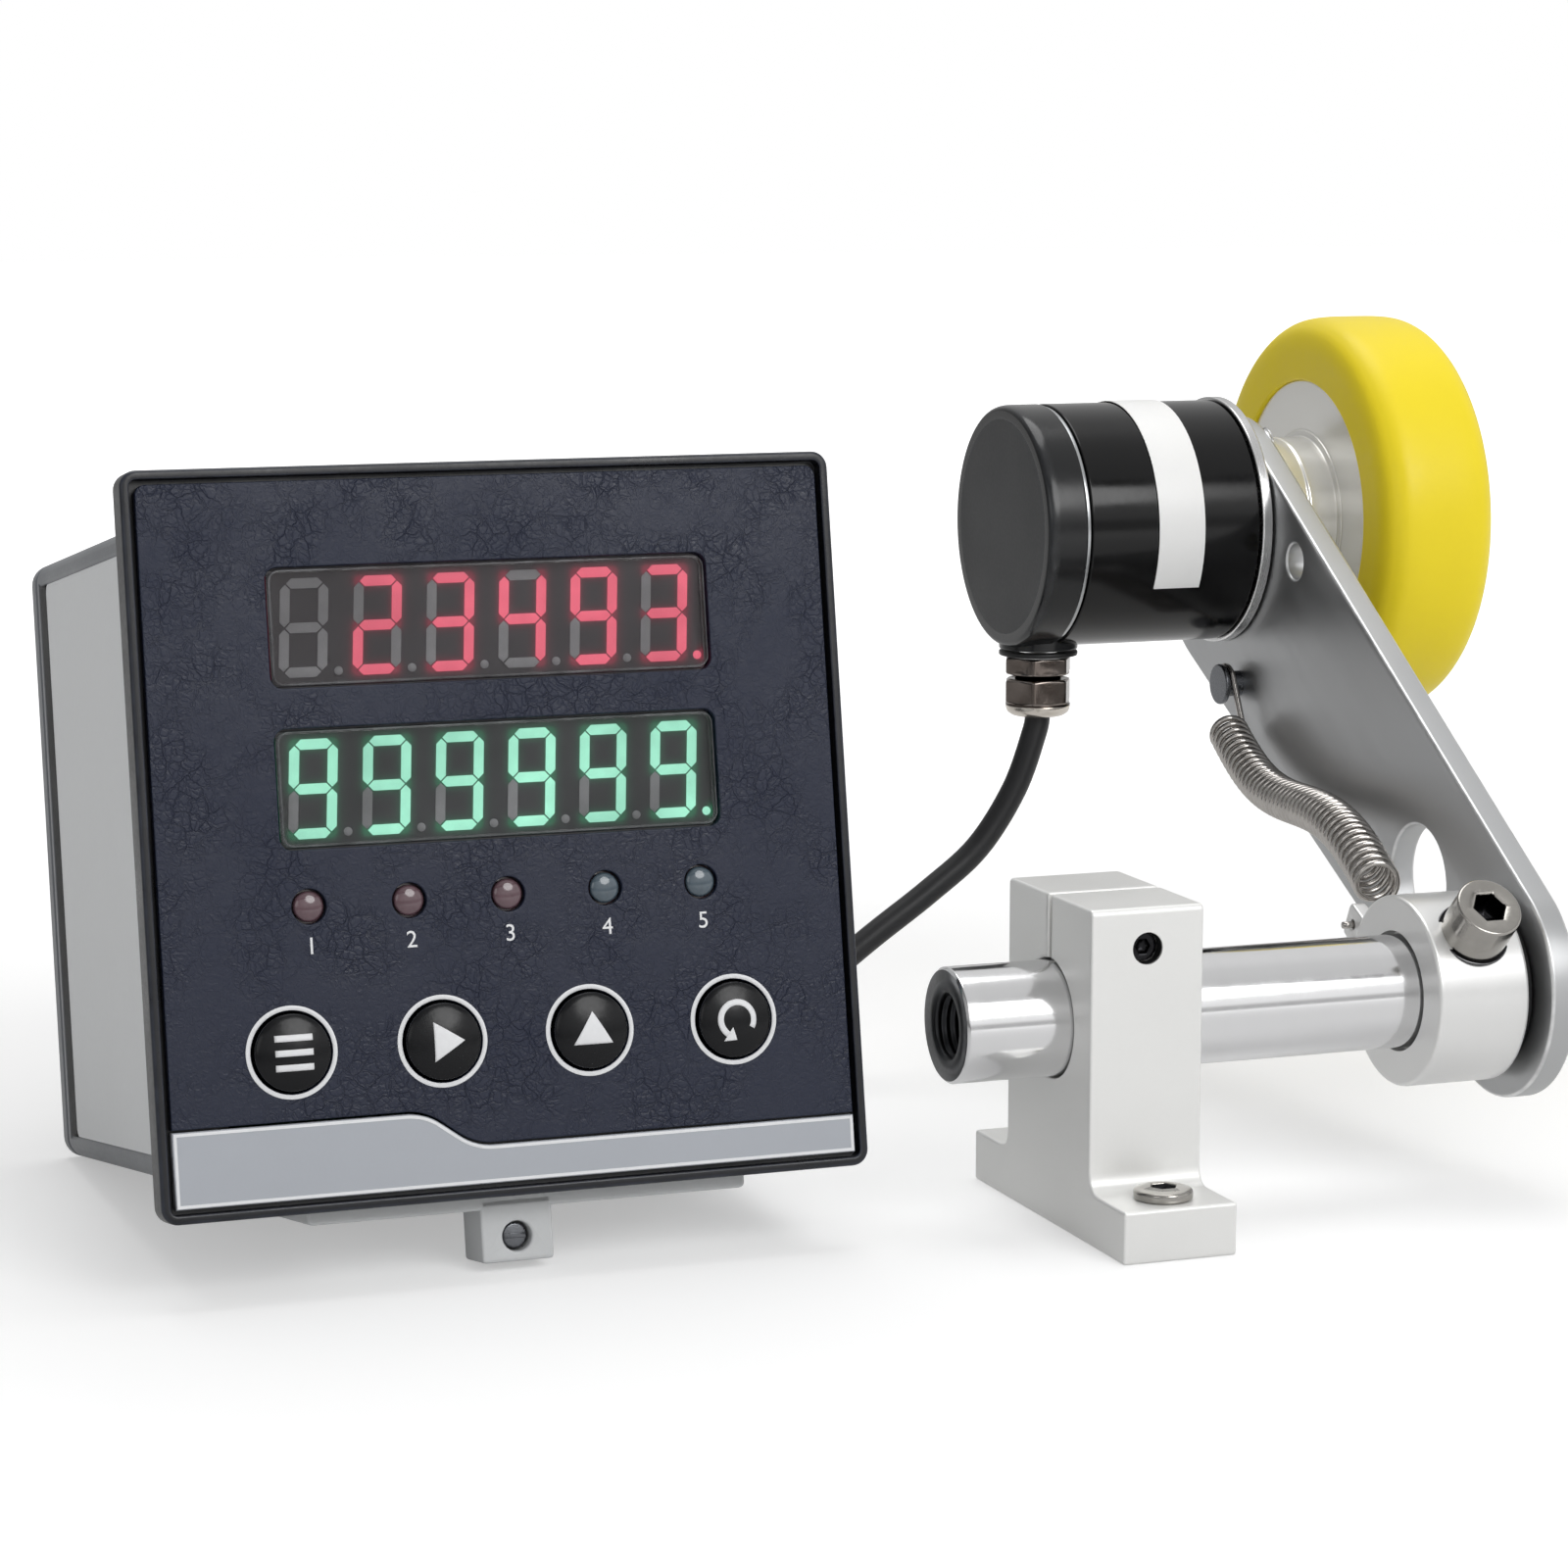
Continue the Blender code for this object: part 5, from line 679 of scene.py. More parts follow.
def glow_grid(width, height, middle, lit, steps=(300, 84)):
    """The module's face as a grid; its rim value, the strength of the painted glow, falls with the distance to the
    nearest lit bar as exp of minus the distance over the halo's reach."""
    x = np.linspace(-width / 2, width / 2, steps[0])
    y = np.linspace(-height / 2, height / 2, steps[1]) + middle
    point = np.stack(np.meshgrid(x, y), axis=2)
    nearest = np.full(point.shape[:2], 1.0)
    for start, end in lit:
        line = end - start
        share = np.clip(((point - start) @ line) / (line @ line), 0, 1)[..., None]
        nearest = np.minimum(nearest, np.linalg.norm(point - start - share * line, axis=2))
    value = np.exp(-np.maximum(nearest - BAR * 0.35, 0) / HALO_REACH)
    return sheet_of(at_height(point, np.full(steps[1], MODULE_FACE)), rim=value)


def shining(made, colour, share, strength):
    """Let the material shine in the colour times the share."""
    tree = made.node_tree
    bsdf = tree.nodes["Principled BSDF"]
    tree.links.new(scaled(tree, tint(colour)[:3], share), bsdf.inputs["Emission Color"])
    bsdf.inputs["Emission Strength"].default_value = strength
    return made


def lit_look(name, base, colour, strength):
    """A coloured bar that shines a little unevenly in its own colour."""
    made = finish(name, base, 0.4, tone=0.10, scale=500.0, grain=3000.0, relief=0.000004)
    tree = made.node_tree
    cloud = noise(tree, own_place(tree), 420.0, 2.0)[0]
    return shining(made, colour, ranged(tree, cloud, 0.3, 0.7, 0.86, 1.0), strength)


def smoked(name, colour):
    """The smoked lens: glossy, and only a quarter opaque, a little more where the noise is high or the rim is; the edge
    colour on its rim paints a pale highlight round it.
    """
    made = finish(name, colour, 0.10, patches=0.03, scale=80.0, grain=900.0, relief=0.000002, wear_and_sheen="8d8f92",
                  wear_and_sheen_share=0.8)
    tree = made.node_tree
    dense = ranged(tree, noise(tree, own_place(tree), 90.0, 3.0)[0], 0.3, 0.7, 0.20, 0.30)
    edge = arith(tree, "MULTIPLY_ADD", rim_value(tree), 0.5, dense, use_clamp=True)
    tree.links.new(edge, tree.nodes["Principled BSDF"].inputs["Alpha"])
    return made


def film(made, thickness):
    """Give an open sheet its thickness, on its back."""
    wall = made.modifiers.new("Film", "SOLIDIFY")
    wall.thickness = thickness
    wall.offset = -1.0


def display(name, text, lens_tint, lit, dim, halo):
    """One display: module block, its face with a painted glow round the lit bars, the lit and the unlit bars and
    points, and the lens.
    """
    middle = WINDOW_ROWS[name]
    on, off, lines = [], [], []
    for number, sign in enumerate(text):
        centre = (DIGIT_START + DIGIT_PITCH * number, middle)
        dot = circle_loop(POINT_RADIUS, (centre[0] + POINT_OFFSET, middle - half_h), 20)
        shapes = [(bar_loop(start, end, centre), key in SHOWN_BARS[sign]) for key, (start, end) in BARS.items()]
        for loop, shown in shapes + [(dot, number == len(text) - 1)]:
            (on if shown else off).append(plate([loop], MODULE_FACE, MODULE_FACE + BAR_LIFT, BAR_EDGE, 2))
            if shown:
                lines.append((loop[0], loop[0] + POINT_LINE if loop is dot else loop[3]))
    width = WINDOW_WIDTH - CLEAR
    block = slab(width, WINDOW_HEIGHT + 0.0022, 0.0003, MODULE_BACK, MODULE_FACE - 0.00002, 0.0002, (0, middle))
    # The module's black material emits the halo colour: a painted glow of the lit bars on the face.
    black = finish(name + "_module_black_painted_halo", "504e52", 0.34, tone=0.08, scale=200.0, grain=2400.0)
    shining(black, halo, rim_value(black.node_tree), 1.0)
    piece(name + "_module", [block], black, STAND, name + "_digits", FACE)
    film(piece(name + "_module_face", [glow_grid(width, WINDOW_HEIGHT + 0.0002, middle, lines)], black, STAND, "",
               FACE, weighted=False), 0.00002)
    piece(name + "_bars_lit", on, lit, STAND, "", FACE)
    piece(name + "_bars_unlit", off, dim, STAND, "", FACE)
    lens = slab(WINDOW_WIDTH, WINDOW_HEIGHT, WINDOW_CORNER, LENS_BACK, LENS_FRONT, 0.0004, (0, middle))
    piece(name + "_lens", [lens], smoked(name + "_lens_smoke", lens_tint), STAND, name + "_window",
          FACE)


bar_grey = finish("bar_unlit_grey", "c2c2c5", 0.45, tone=0.10, scale=400.0, grain=3000.0, relief=0.000006)
display("red", " 23493", "2c2426", lit_look("bar_lit_red", "d8405c", "ff7a90", 1.05), bar_grey, "8a1030")
display("green", "999999", "232a27", lit_look("bar_lit_green", "8fe0bd", "b4ffe2", 1.15), bar_grey, "0e6e48")

# The five lamps. Light pipes with domed ends, all on one bar behind the plate: three are a dull red when off, two a
# dull blue. Plain numbers are printed in white below them.
PIPE_BACK, PIPE_TIP, PIPE_DOME = MODULE_BACK, -0.0001, 0.0007
LEGEND_SIZE, LEGEND_DROP, PRINT_LIFT = 0.0031, 0.0061, 0.00006
RAIL_HEIGHT, RAIL_BACK, RAIL_FRONT = 0.0048, -0.0045, -0.0021
dome = np.linspace(0, math.pi / 2, 9)
pipe_profile = np.stack([LAMP_DIAMETER / 2 * np.sin(dome), PIPE_TIP - PIPE_DOME * (1 - np.cos(dome)), dome * 0], axis=1)
pipe_profile = np.vstack([pipe_profile, [(LAMP_DIAMETER / 2, PIPE_BACK, 0), (0, PIPE_BACK, 0)]])
rail = slab(LAMP_PITCH * 4 + LAMP_DIAMETER * 2, RAIL_HEIGHT, 0.0004, RAIL_BACK, RAIL_FRONT, 0.0002, (0, LAMP_ROW))
for lamps, hue, code, extra, node in ((lamp_places[:3], "red", "5f474e", [rail], "indicator_guide"),
                                      (lamp_places[3:], "blue", "4c5a64", [], "")):
    resin = finish("lamp_" + hue + "_off", code, 0.14, tone=0.16, patches=0.05, scale=500.0, relief=0.000004,
                   Coat_Weight=0.6, Coat_Roughness=0.05)
    pipes = [moved(turned(pipe_profile, 40), Matrix.Translation((x, LAMP_ROW, 0))) for x in lamps]
    piece("lamps_" + hue, pipes + extra, resin, STAND, node, FACE)


def as_mesh(thing):
    """The object's evaluated shape as a mesh of its own."""
    bpy.context.view_layer.update()
    return bpy.data.meshes.new_from_object(thing.evaluated_get(bpy.context.evaluated_depsgraph_get()))


def shifted(place, x=0.0, y=0.0, z=0.0):
    """The placement moved along its own axes."""
    return place @ Matrix.Translation((x, y, z))


for number, x in enumerate(lamp_places):
    letter = bpy.data.curves.new("lamp_number", "FONT")
    letter.body = str(number + 1)
    letter.size = LEGEND_SIZE
    letter.align_x = "CENTER"
    letter.extrude = PRINT_LIFT / 2
    text = linked("lamp_number_curve", letter)
    mesh = as_mesh(text)
    bpy.data.objects.remove(text, do_unlink=True)
    mesh.transform(shifted(FACE, x, LAMP_ROW - LEGEND_DROP, PLATE_FRONT + PRINT_LIFT / 2))
    mesh.materials.clear()
    mesh.materials.append(print_white)
    made = linked("lamp_number_" + str(number + 1), mesh)
    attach(made, STAND)

# The four buttons. Black domed caps, each on its own slide, in printed white rings, with a white sign on each:
# a list for set, arrows for shift and up, and a round arrow for reset.
BUTTON_RADIUS, BUTTON_RISE, BUTTON_DOME, RING_OUTER, RING_INNER = BUTTON_DIAMETER / 2, 0.0006, 0.0009, 0.00602, 0.00542
FLANGE_RADIUS, FLANGE_FRONT, FLANGE_BACK, STEM_RADIUS, STEM_END = 0.0062, -0.0021, -0.0031, 0.0020, -0.0095
button_black = finish("button_black_cap", "07080c", 0.24, tone=0.06, patches=0.10, grain=1600.0, wear_and_sheen="20232b",
                      wear_and_sheen_share=0.6, Specular_IOR_Level=0.3)
share = np.linspace(0, 1, 14)[:-1]
cap = np.stack([BUTTON_RADIUS * share, BUTTON_RISE + BUTTON_DOME * (1 - share ** 2), share * 0], axis=1)
cap_side = eased(((BUTTON_RADIUS * 0.93, BUTTON_RISE + 0.0001), (BUTTON_RADIUS, BUTTON_RISE - 0.0001),
                  (BUTTON_RADIUS, FLANGE_FRONT), (FLANGE_RADIUS, FLANGE_FRONT), (FLANGE_RADIUS, FLANGE_BACK),
                  (STEM_RADIUS, FLANGE_BACK), (STEM_RADIUS, STEM_END), (0.0, STEM_END)), 0.0003)
cap_profile = np.vstack([cap, cap_side[1:]])


def on_cap(flat):
    """A flat grid laid on the cap: its height is the rise, plus the dome times one less the squared share of the
    radius, plus a hair."""
    share = np.linalg.norm(flat, axis=2) / BUTTON_RADIUS
    lift = BUTTON_RISE + BUTTON_DOME * (1 - share ** 2) + PRINT_LIFT
    return sheet_of(np.concatenate([flat, lift[..., None]], axis=2))


def three_corners(first, second, third, steps=14):
    """A triangle as first plus s along to second, plus s times t across to third."""
    s, t = np.meshgrid(np.linspace(0, 1, steps), np.linspace(0, 1, steps), indexing="ij")
    first, second, third = (np.array(corner, float) for corner in (first, second, third))
    return on_cap(first + s[..., None] * (second - first) + (s * t)[..., None] * (third - second))


def bar_on_cap(half_length, y, thick=0.00042, steps=12):
    """A level bar across the cap."""
    x, up = np.meshgrid(np.linspace(-half_length, half_length, steps), np.linspace(y - thick, y + thick, 4),
                        indexing="ij")
    return on_cap(np.stack([x, up], axis=2))


def bow_on_cap(inner, outer, start, end, steps=40):
    """Part of a ring between two radii and two angles, on the cap."""
    angle, radius = np.meshgrid(np.linspace(start, end, steps), np.linspace(inner, outer, 4), indexing="ij")
    return on_cap(np.stack([radius * np.cos(angle), radius * np.sin(angle)], axis=2))


def arrow_head(radius, angle, size):
    """A triangle on the ring's line, pointing on round it."""
    out = np.array((math.cos(angle), math.sin(angle)))
    round_way = np.array((-out[1], out[0]))
    return three_corners(out * radius + round_way * size * 1.3, out * (radius + size), out * (radius - size))


bow_start, bow_end = math.radians(-30), math.radians(235)
signs = {
    "set": [bar_on_cap(0.0025, row) for row in (0.0019, 0.0, -0.0019)],
    "shift": [three_corners((0.0026, 0.0), (-0.0015, 0.0026), (-0.0015, -0.0026))],
    "up": [three_corners((0.0, 0.0025), (0.0027, -0.0018), (-0.0027, -0.0018))],
    "reset": [bow_on_cap(0.0019, 0.0027, bow_start, bow_end), arrow_head(0.0023, bow_end, 0.0011)],
}
ring = [(radius, PLATE_FRONT + lift) for radius, lift in
        ((RING_INNER, 0.0), (RING_OUTER, 0.0), (RING_OUTER, PRINT_LIFT), (RING_INNER, PRINT_LIFT))]
for (key, sheets), x in zip(signs.items(), button_places):
    place, body = shifted(FACE, x, BUTTON_ROW), "key_" + key
    piece("cap_" + key, [turned(cap_profile, 72)], button_black, body, "button_" + key, place)
    film(piece("sign_" + key, sheets, print_white, body, "", place, weighted=False), PRINT_LIFT)
    lathe("ring_" + key, ring, 0.00002, print_white, STAND, "", place, 96, True, 2)

# The case. A smoke-grey moulded sleeve, 88 mm wide and deep, behind the front frame, with a shallow bed on either side
# for a plain data plate, a black strip at the plate's rear edge that paints the shadow there, and a groove round its
# rear end.
CASE_WIDTH, CASE_HEIGHT, CASE_LOW, CASE_BACK, CASE_FRONT = 0.0880, 0.0865, 0.0040, -0.0880, -0.0053
CASE_WALL, CASE_CORNER, LEAST_CASE_CORNER, GROOVE = 0.0024, 0.0030, 0.0008, 0.0004
BED_MARGIN, BED_DEPTH, BED_RAMP, SHADOW_STRIP_WIDTH = 0.0032, 0.0009, 0.0002, 0.0046
case_middle, bed_back, bed_front = CASE_LOW + CASE_HEIGHT / 2, CASE_BACK + 0.0060, CASE_FRONT - BED_MARGIN
GROOVE_END = CASE_BACK + 0.0046
case_profile = eased(((0.0, CASE_BACK), (0.0, CASE_BACK + 0.0030), (GROOVE, CASE_BACK + 0.0034),
                      (GROOVE, CASE_BACK + 0.0042), (0.0, GROOVE_END), (0.0, CASE_FRONT),
                      (CASE_WALL, CASE_FRONT), (CASE_WALL, CASE_BACK)),
                     (0.0006, 0.0001, 0.0001, 0.0001, 0.0001, 0.0005, 0.0002, 0.0004), closed=True)


def case_wall(profile):
    """The profile carried round the case, with rows added down its length; where a point lies on a side and within
    the bed's edges, its way out is less by the bed's depth times a steep ramp at each edge."""
    heights = np.concatenate([np.linspace(bed_back - BED_RAMP, bed_back + BED_RAMP, 3),
                              np.linspace(bed_back + 0.004, bed_front - 0.004, 9),
                              np.linspace(bed_front - BED_RAMP, bed_front + BED_RAMP, 3)])
    cut_at = int(np.argmax(profile[:, 1] > GROOVE_END + 0.0001))
    added = np.stack([heights * 0, heights, heights * 0], axis=1)
    rows = np.vstack([profile[:cut_at], added, profile[cut_at:]])
    share = np.array((0.0, 0.018, 0.024, 0.030, 0.5, 0.970, 0.976, 0.982))[None, :, None]
    loops = []
    for inset in rows[:, 0]:
        loop = rounded_loop(CASE_WIDTH - 2 * inset, CASE_HEIGHT - 2 * inset,
                            max(CASE_CORNER - inset, LEAST_CASE_CORNER), (0.0, case_middle))
        ends = np.roll(loop, -1, axis=0)
        loops.append((loop[:, None] * (1 - share) + ends[:, None] * share).reshape(-1, 2))
    grid = at_height(np.stack(loops), rows[:, 1])
    x, y, z = (grid[..., axis] for axis in range(3))
    outside = rows[:, 0, None] < GROOVE / 2
    on_side = np.abs(x) > CASE_WIDTH / 2 - 0.0001
    up = np.minimum(y - (CASE_LOW + BED_MARGIN), CASE_LOW + CASE_HEIGHT - BED_MARGIN - y)
    deep = np.minimum(z - bed_back, bed_front - z)
    inside = np.clip(up / BED_RAMP, 0, 1) * np.clip(deep / BED_RAMP, 0, 1) * outside * on_side
    grid[..., 0] -= np.sign(x) * inside * BED_DEPTH
    return sheet_of(grid, close_rows=True, close_columns=True, rim=rows[:, 2:3])


case_grey = finish("case_grey_plastic", "74777c", 0.38, patches=0.10, scale=28.0, relief=0.00002, wear_and_sheen="a9acb0")
piece("case_sleeve", [case_wall(case_profile)], case_grey, STAND, "rear_case", FACE)
shadow_black = finish("bed_painted_shadow_black", "0a0b0d", 0.60)
plate_grey = finish("data_plate_grey", "e8eaeb", 0.40, tone=0.04, scale=22.0, grain=1100.0, wear_and_sheen="eef0f1",
                    wear_and_sheen_share=1.0)
across = bed_front - bed_back - CLEAR * 2 - SHADOW_STRIP_WIDTH
up = CASE_HEIGHT - BED_MARGIN * 2 - CLEAR * 2
for sign, word in ((-1, "left"), (1, "right")):
    centre = FACE @ Vector((sign * (CASE_WIDTH / 2 - BED_DEPTH + CLEAR), case_middle, (bed_back + bed_front) / 2))
    place = set_at(centre, sign * -FACE_OUT, (sign, 0, 0))
    ahead = (-sign * SHADOW_STRIP_WIDTH / 2, 0.0)
    # A black strip in the bed at the plate's rear end: painted shadow.
    shadow_strip = slab(SHADOW_STRIP_WIDTH, up, 0.0004, -0.00005, 0.00056, 0.00005, (sign * across / 2, 0.0), 2)
    line = [rounded_loop(across - way_in, up - way_in, corner, ahead) for way_in, corner in
            ((0.0002, 0.0014), (0.0008, 0.0011))]
    piece("data_plate_" + word, [slab(across, up, 0.0016, 0.0, 0.0005, 0.0002, ahead)], plate_grey, STAND,
          "side_label_" + word, place)
    piece("data_plate_shadow_strip_" + word, [shadow_strip], shadow_black, STAND, "", place)
    piece("data_plate_line_" + word, [plate(line, 0.0005, 0.00054, 0.00001, 2)], print_white, STAND, "",
          place)

# The counter's back. A dark ribbed cover set into the sleeve carries two plain rows of eight screw terminals, each
# in its own well.
COVER_LOW, COVER_HIGH, RIB_LIFT, RIB_END = -0.0800, -0.0770, 0.0008, 0.0300
COVER_IN = (CASE_WALL + CLEAR) * 2
TERMINAL_ROWS = {"lower": 0.0250, "upper": 0.0695}
TERMINAL_WIDTH, TERMINAL_HEIGHT, TERMINAL_PITCH = 0.0700, 0.0160, 0.00875
WELL_RISE, MOUTH_DROP, WELL_FLOOR = 0.0026, 0.0049, -0.0818
terminal_x = (np.arange(8) - 3.5) * TERMINAL_PITCH
cover_black = finish("cover_dark_plastic", "3a3b3e", 0.48, patches=0.10, grain=1400.0, relief=0.00002, wear_and_sheen="5c5e62",
                     wear_and_sheen_share=0.5)
cover_skins = [slab(CASE_WIDTH - COVER_IN, CASE_HEIGHT - COVER_IN, 0.0015, COVER_LOW, COVER_HIGH, 0.0003,
                    (0, case_middle))]
cover_skins += [slab(0.0030, 0.0100, 0.00149, COVER_LOW - RIB_LIFT, COVER_LOW + 0.0002, 0.0003, (x, case_middle))
                for x in np.linspace(-RIB_END, RIB_END, 13)]
piece("back_cover", cover_skins, cover_black, STAND, "rear_cover", FACE)
terminal_black = finish("terminal_black_plastic", "1d1e20", 0.40, wear_and_sheen="45474b", wear_and_sheen_share=0.5)
plated = finish("terminal_screw_plated", "b9bcc0", 0.24, metallic=1.0, scale=400.0, grain=2600.0, relief=0.000008)
for word, row in TERMINAL_ROWS.items():
    openings = [rounded_loop(0.0066, 0.0076, 0.0006, (x, row + WELL_RISE)) for x in terminal_x]
    openings += [rounded_loop(0.0060, 0.0040, 0.0005, (x, row - MOUTH_DROP)) for x in terminal_x]
    block = plate([rounded_loop(TERMINAL_WIDTH, TERMINAL_HEIGHT, WINDOW_CORNER, (0, row))] + openings, CASE_BACK,
                  -0.0803, 0.0003)
    well_floor = slab(TERMINAL_WIDTH - 0.002, TERMINAL_HEIGHT - 0.002, 0.0008, WELL_FLOOR, -0.0804, 0.0002, (0, row))
    piece("terminal_row_" + word, [block, well_floor], terminal_black, STAND, "terminal_block_" + word,
          FACE)
    head = turned(eased(((0.0, 0.0), (0.0027, 0.0), (0.0027, 0.0016), (0.0, 0.0020)), 0.0004), 32)
    slot_bar = slab(0.0048, 0.0007, 0.0002, 0.0016, 0.00206, 0.0001, arc_steps=2)
    screws = []
    for x in terminal_x:
        back = Matrix.Translation((x, row + WELL_RISE, WELL_FLOOR)) @ Matrix.Rotation(math.pi, 4, "X")
        screws += [moved(head, back), moved(slot_bar, back @ Matrix.Rotation(0.4 + x * 60, 4, "Z"))]
    piece("terminal_screws_" + word, screws, plated, STAND, "", FACE)

# The mounting bracket. A pale moulded clip under the case; its lug, with a bore for a slotted jack screw, is what
# the counter stands on.
BRACKET_LEFT, BRACKET_RIGHT, BRACKET_DROP, BRACKET_TOP, BRACKET_REAR = -0.0280, 0.0320, -0.0020, 0.0037, -0.0353
LUG_HALF, LUG_TOP, LUG_LOW, LUG_REAR, JACK_DROP, JACK_HOLE = 0.0049, -0.0005, -0.0090, -0.0140, -0.0057, 0.0040
pale = finish("bracket_pale_plastic", "d2d4d5", 0.42, tone=0.03, relief=0.000016, wear_and_sheen="e2e4e6", wear_and_sheen_share=0.6)
clip_loop = eased(((BRACKET_LEFT, BRACKET_TOP), (BRACKET_LEFT, BRACKET_DROP), (BRACKET_RIGHT, BRACKET_DROP),
                   (BRACKET_RIGHT, BRACKET_TOP)), 0.0008, closed=True)[:, :2]
lug_loop = eased(((-LUG_HALF, LUG_TOP), (-LUG_HALF, LUG_LOW), (LUG_HALF, LUG_LOW), (LUG_HALF, LUG_TOP)), 0.0006,
                 closed=True)[:, :2]
lug_loops = [lug_loop, circle_loop(JACK_HOLE / 2, (0, JACK_DROP), 48)]
piece("mounting_clip", [plate([clip_loop], BRACKET_REAR, CASE_FRONT, 0.0004),
                        plate(lug_loops, LUG_REAR, CASE_FRONT, 0.0004)], pale, STAND, "mounting_bracket",
      FACE)
steel = finish("screw_steel", "6d6f73", 0.26, metallic=1.0, tone=0.06, scale=300.0, grain=2400.0)
jack = turned(eased(((0.0, -0.0128), (0.0017, -0.0128), (0.0017, -0.0066), (0.0, -0.0066)), 0.0003), 32)
jack_slot = slab(0.0030, 0.0007, 0.0001, -0.0067, -0.00655, 0.00005, arc_steps=2)
piece("jack_screw_slotted", [jack, jack_slot], steel, STAND, "jack_screw", shifted(FACE, 0, JACK_DROP))

# The foot block. Bead-blasted aluminium, 16.5 mm thick: a foot with two screw places, an upright bored for the shaft
# and slit from the bore to the top, and a clamp screw through it from the front.
BLOCK_X, BLOCK_Y, BLOCK_THICKNESS = 0.019125, -0.04859, 0.0165
BLOCK_LENGTH, BASE_HEIGHT, UPRIGHT_WIDTH, BLOCK_HEIGHT = 0.0510, 0.0072, 0.0280, 0.0457
SHAFT_HEIGHT, SHAFT_RADIUS, SLIT, CLAMP_HEIGHT, CLAMP_HOLE, CLAMP_REACH = 0.0285, 0.0080, 0.0011, 0.0401, 0.0044, 0.024
ALONG_SHAFT = set_at((BLOCK_X, BLOCK_Y, SHAFT_HEIGHT), (0, 1, 0), (1, 0, 0))
CLAMP_PLACE = set_at((BLOCK_X, BLOCK_Y - UPRIGHT_WIDTH / 2, CLAMP_HEIGHT), (1, 0, 0), (0, -1, 0))
bore = SHAFT_RADIUS + 0.0003
half, side, slit = BLOCK_LENGTH / 2, UPRIGHT_WIDTH / 2, SLIT / 2
foot, base, top = -SHAFT_HEIGHT, BASE_HEIGHT - SHAFT_HEIGHT, BLOCK_HEIGHT - SHAFT_HEIGHT
gap_angle = math.asin(slit / bore)
bore_angle = np.linspace(math.pi / 2 - gap_angle, math.pi / 2 + gap_angle - math.tau, 72)
# The right half's corners; the first one only shows the way to the next, and its five points are left out.
right_side = eased(((-half, foot), (half, foot), (half, base), (side, base), (side, top), (slit, top),
                    (slit, bore * 1.02)), (0.0005, 0.0005, 0.0005, 0.0026, 0.0010, 0.0003, 0.0001), True)[5:, :2]
block_loop = np.vstack([right_side, arc_loop(bore, bore_angle), right_side[::-1] * (-1, 1)])
bright = finish("block_blasted_aluminium", "f0f0ee", 0.42, metallic=0.45, tone=0.012, patches=0.05, scale=40.0,
                grain=2200.0, relief=0.000008, wear_and_sheen="fbfbfa", wear_and_sheen_share=0.8)
block = piece("foot_block", [plate([block_loop], -BLOCK_THICKNESS / 2, BLOCK_THICKNESS / 2, 0.0004)], bright, None,
              "", ALONG_SHAFT, weighted=False)


def bored(target, place, radius, low, high):
    """Take a round hole out of a finished piece and keep the result as its mesh."""
    drill = piece("drill", [turned(((0.0, low), (radius, low), (radius, high), (0.0, high)), 48)], bright, None,
                  place=place, weighted=False)
    hole = target.modifiers.new("Bored", "BOOLEAN")
    hole.operation = "DIFFERENCE"
    hole.solver = "EXACT"
    hole.object = drill
    result = as_mesh(target)
    target.modifiers.clear()
    target.data = result
    bpy.data.objects.remove(drill, do_unlink=True)


bored(block, CLAMP_PLACE, CLAMP_HOLE / 2, -CLAMP_REACH, 0.0020)
block.data.set_sharp_from_angle(angle=math.radians(40))
block.modifiers.new("Flat faces stay flat", "WEIGHTED_NORMAL").keep_sharp = True
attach(block, STAND)
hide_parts("mounting_block")

# The foot block's screws. Nickel socket screws on the foot, front and rear, whose sockets are lined black as painted
# shade, and a black clamp screw deep in its hole, which is lined black as painted shade.
washer_black = finish("washer_black_nylon", "151516", 0.42, grain=1800.0)
screw_black = finish("screw_black_oxide", "2a2a2c", 0.28, metallic=1.0, tone=0.12, patches=0.12, scale=300.0,
                     grain=2600.0, wear_and_sheen="9a9a9c", wear_and_sheen_share=0.8)
screw_bright = finish("screw_nickel", "a8a5a0", 0.20, metallic=1.0, tone=0.06, scale=300.0, grain=2600.0,
                      relief=0.000008)
FOOT_SCREW_PITCH = 0.0396


def cap_head(radius, height, socket, depth, shank, length, ease, crown=0.0):
    """A screw's profile from the shank's end up to the head and down into its socket, whose rows are hexagons. The
    crown lifts the top between its rim and the socket."""
    outside = eased(((0.0, -length), (shank, -length), (shank, 0.0), (radius, 0.0), (radius, height - crown),
                     (socket * 1.08, height)), ease)
    inside = np.array([(socket * 1.08, height, 0), (socket, height - ease / 3, 0), (socket, height - depth, 0),
                       (0.0, height - depth, 0)])
    rows = np.vstack([outside[:-1], inside])
    return turned(rows, 96, sixfold=np.arange(len(rows)) >= len(outside) - 1)


def socket_shade_lining(socket, height, depth, wall=0.00006):
    """A thin hexagon cup, a wall smaller than the socket that it lines; in black it paints the shade inside the socket.
    """
    outer, inner, lip, floor = socket - wall / 2, socket - wall * 1.5, height - wall * 3, height - depth
    rows = ((outer, lip), (outer, floor + wall / 2), (0.0, floor + wall / 2), (0.0, floor + wall * 1.5),
            (inner, floor + wall * 1.5), (inner, lip))
    return turned(rows, 48, ring=True, sixfold=np.ones(6))


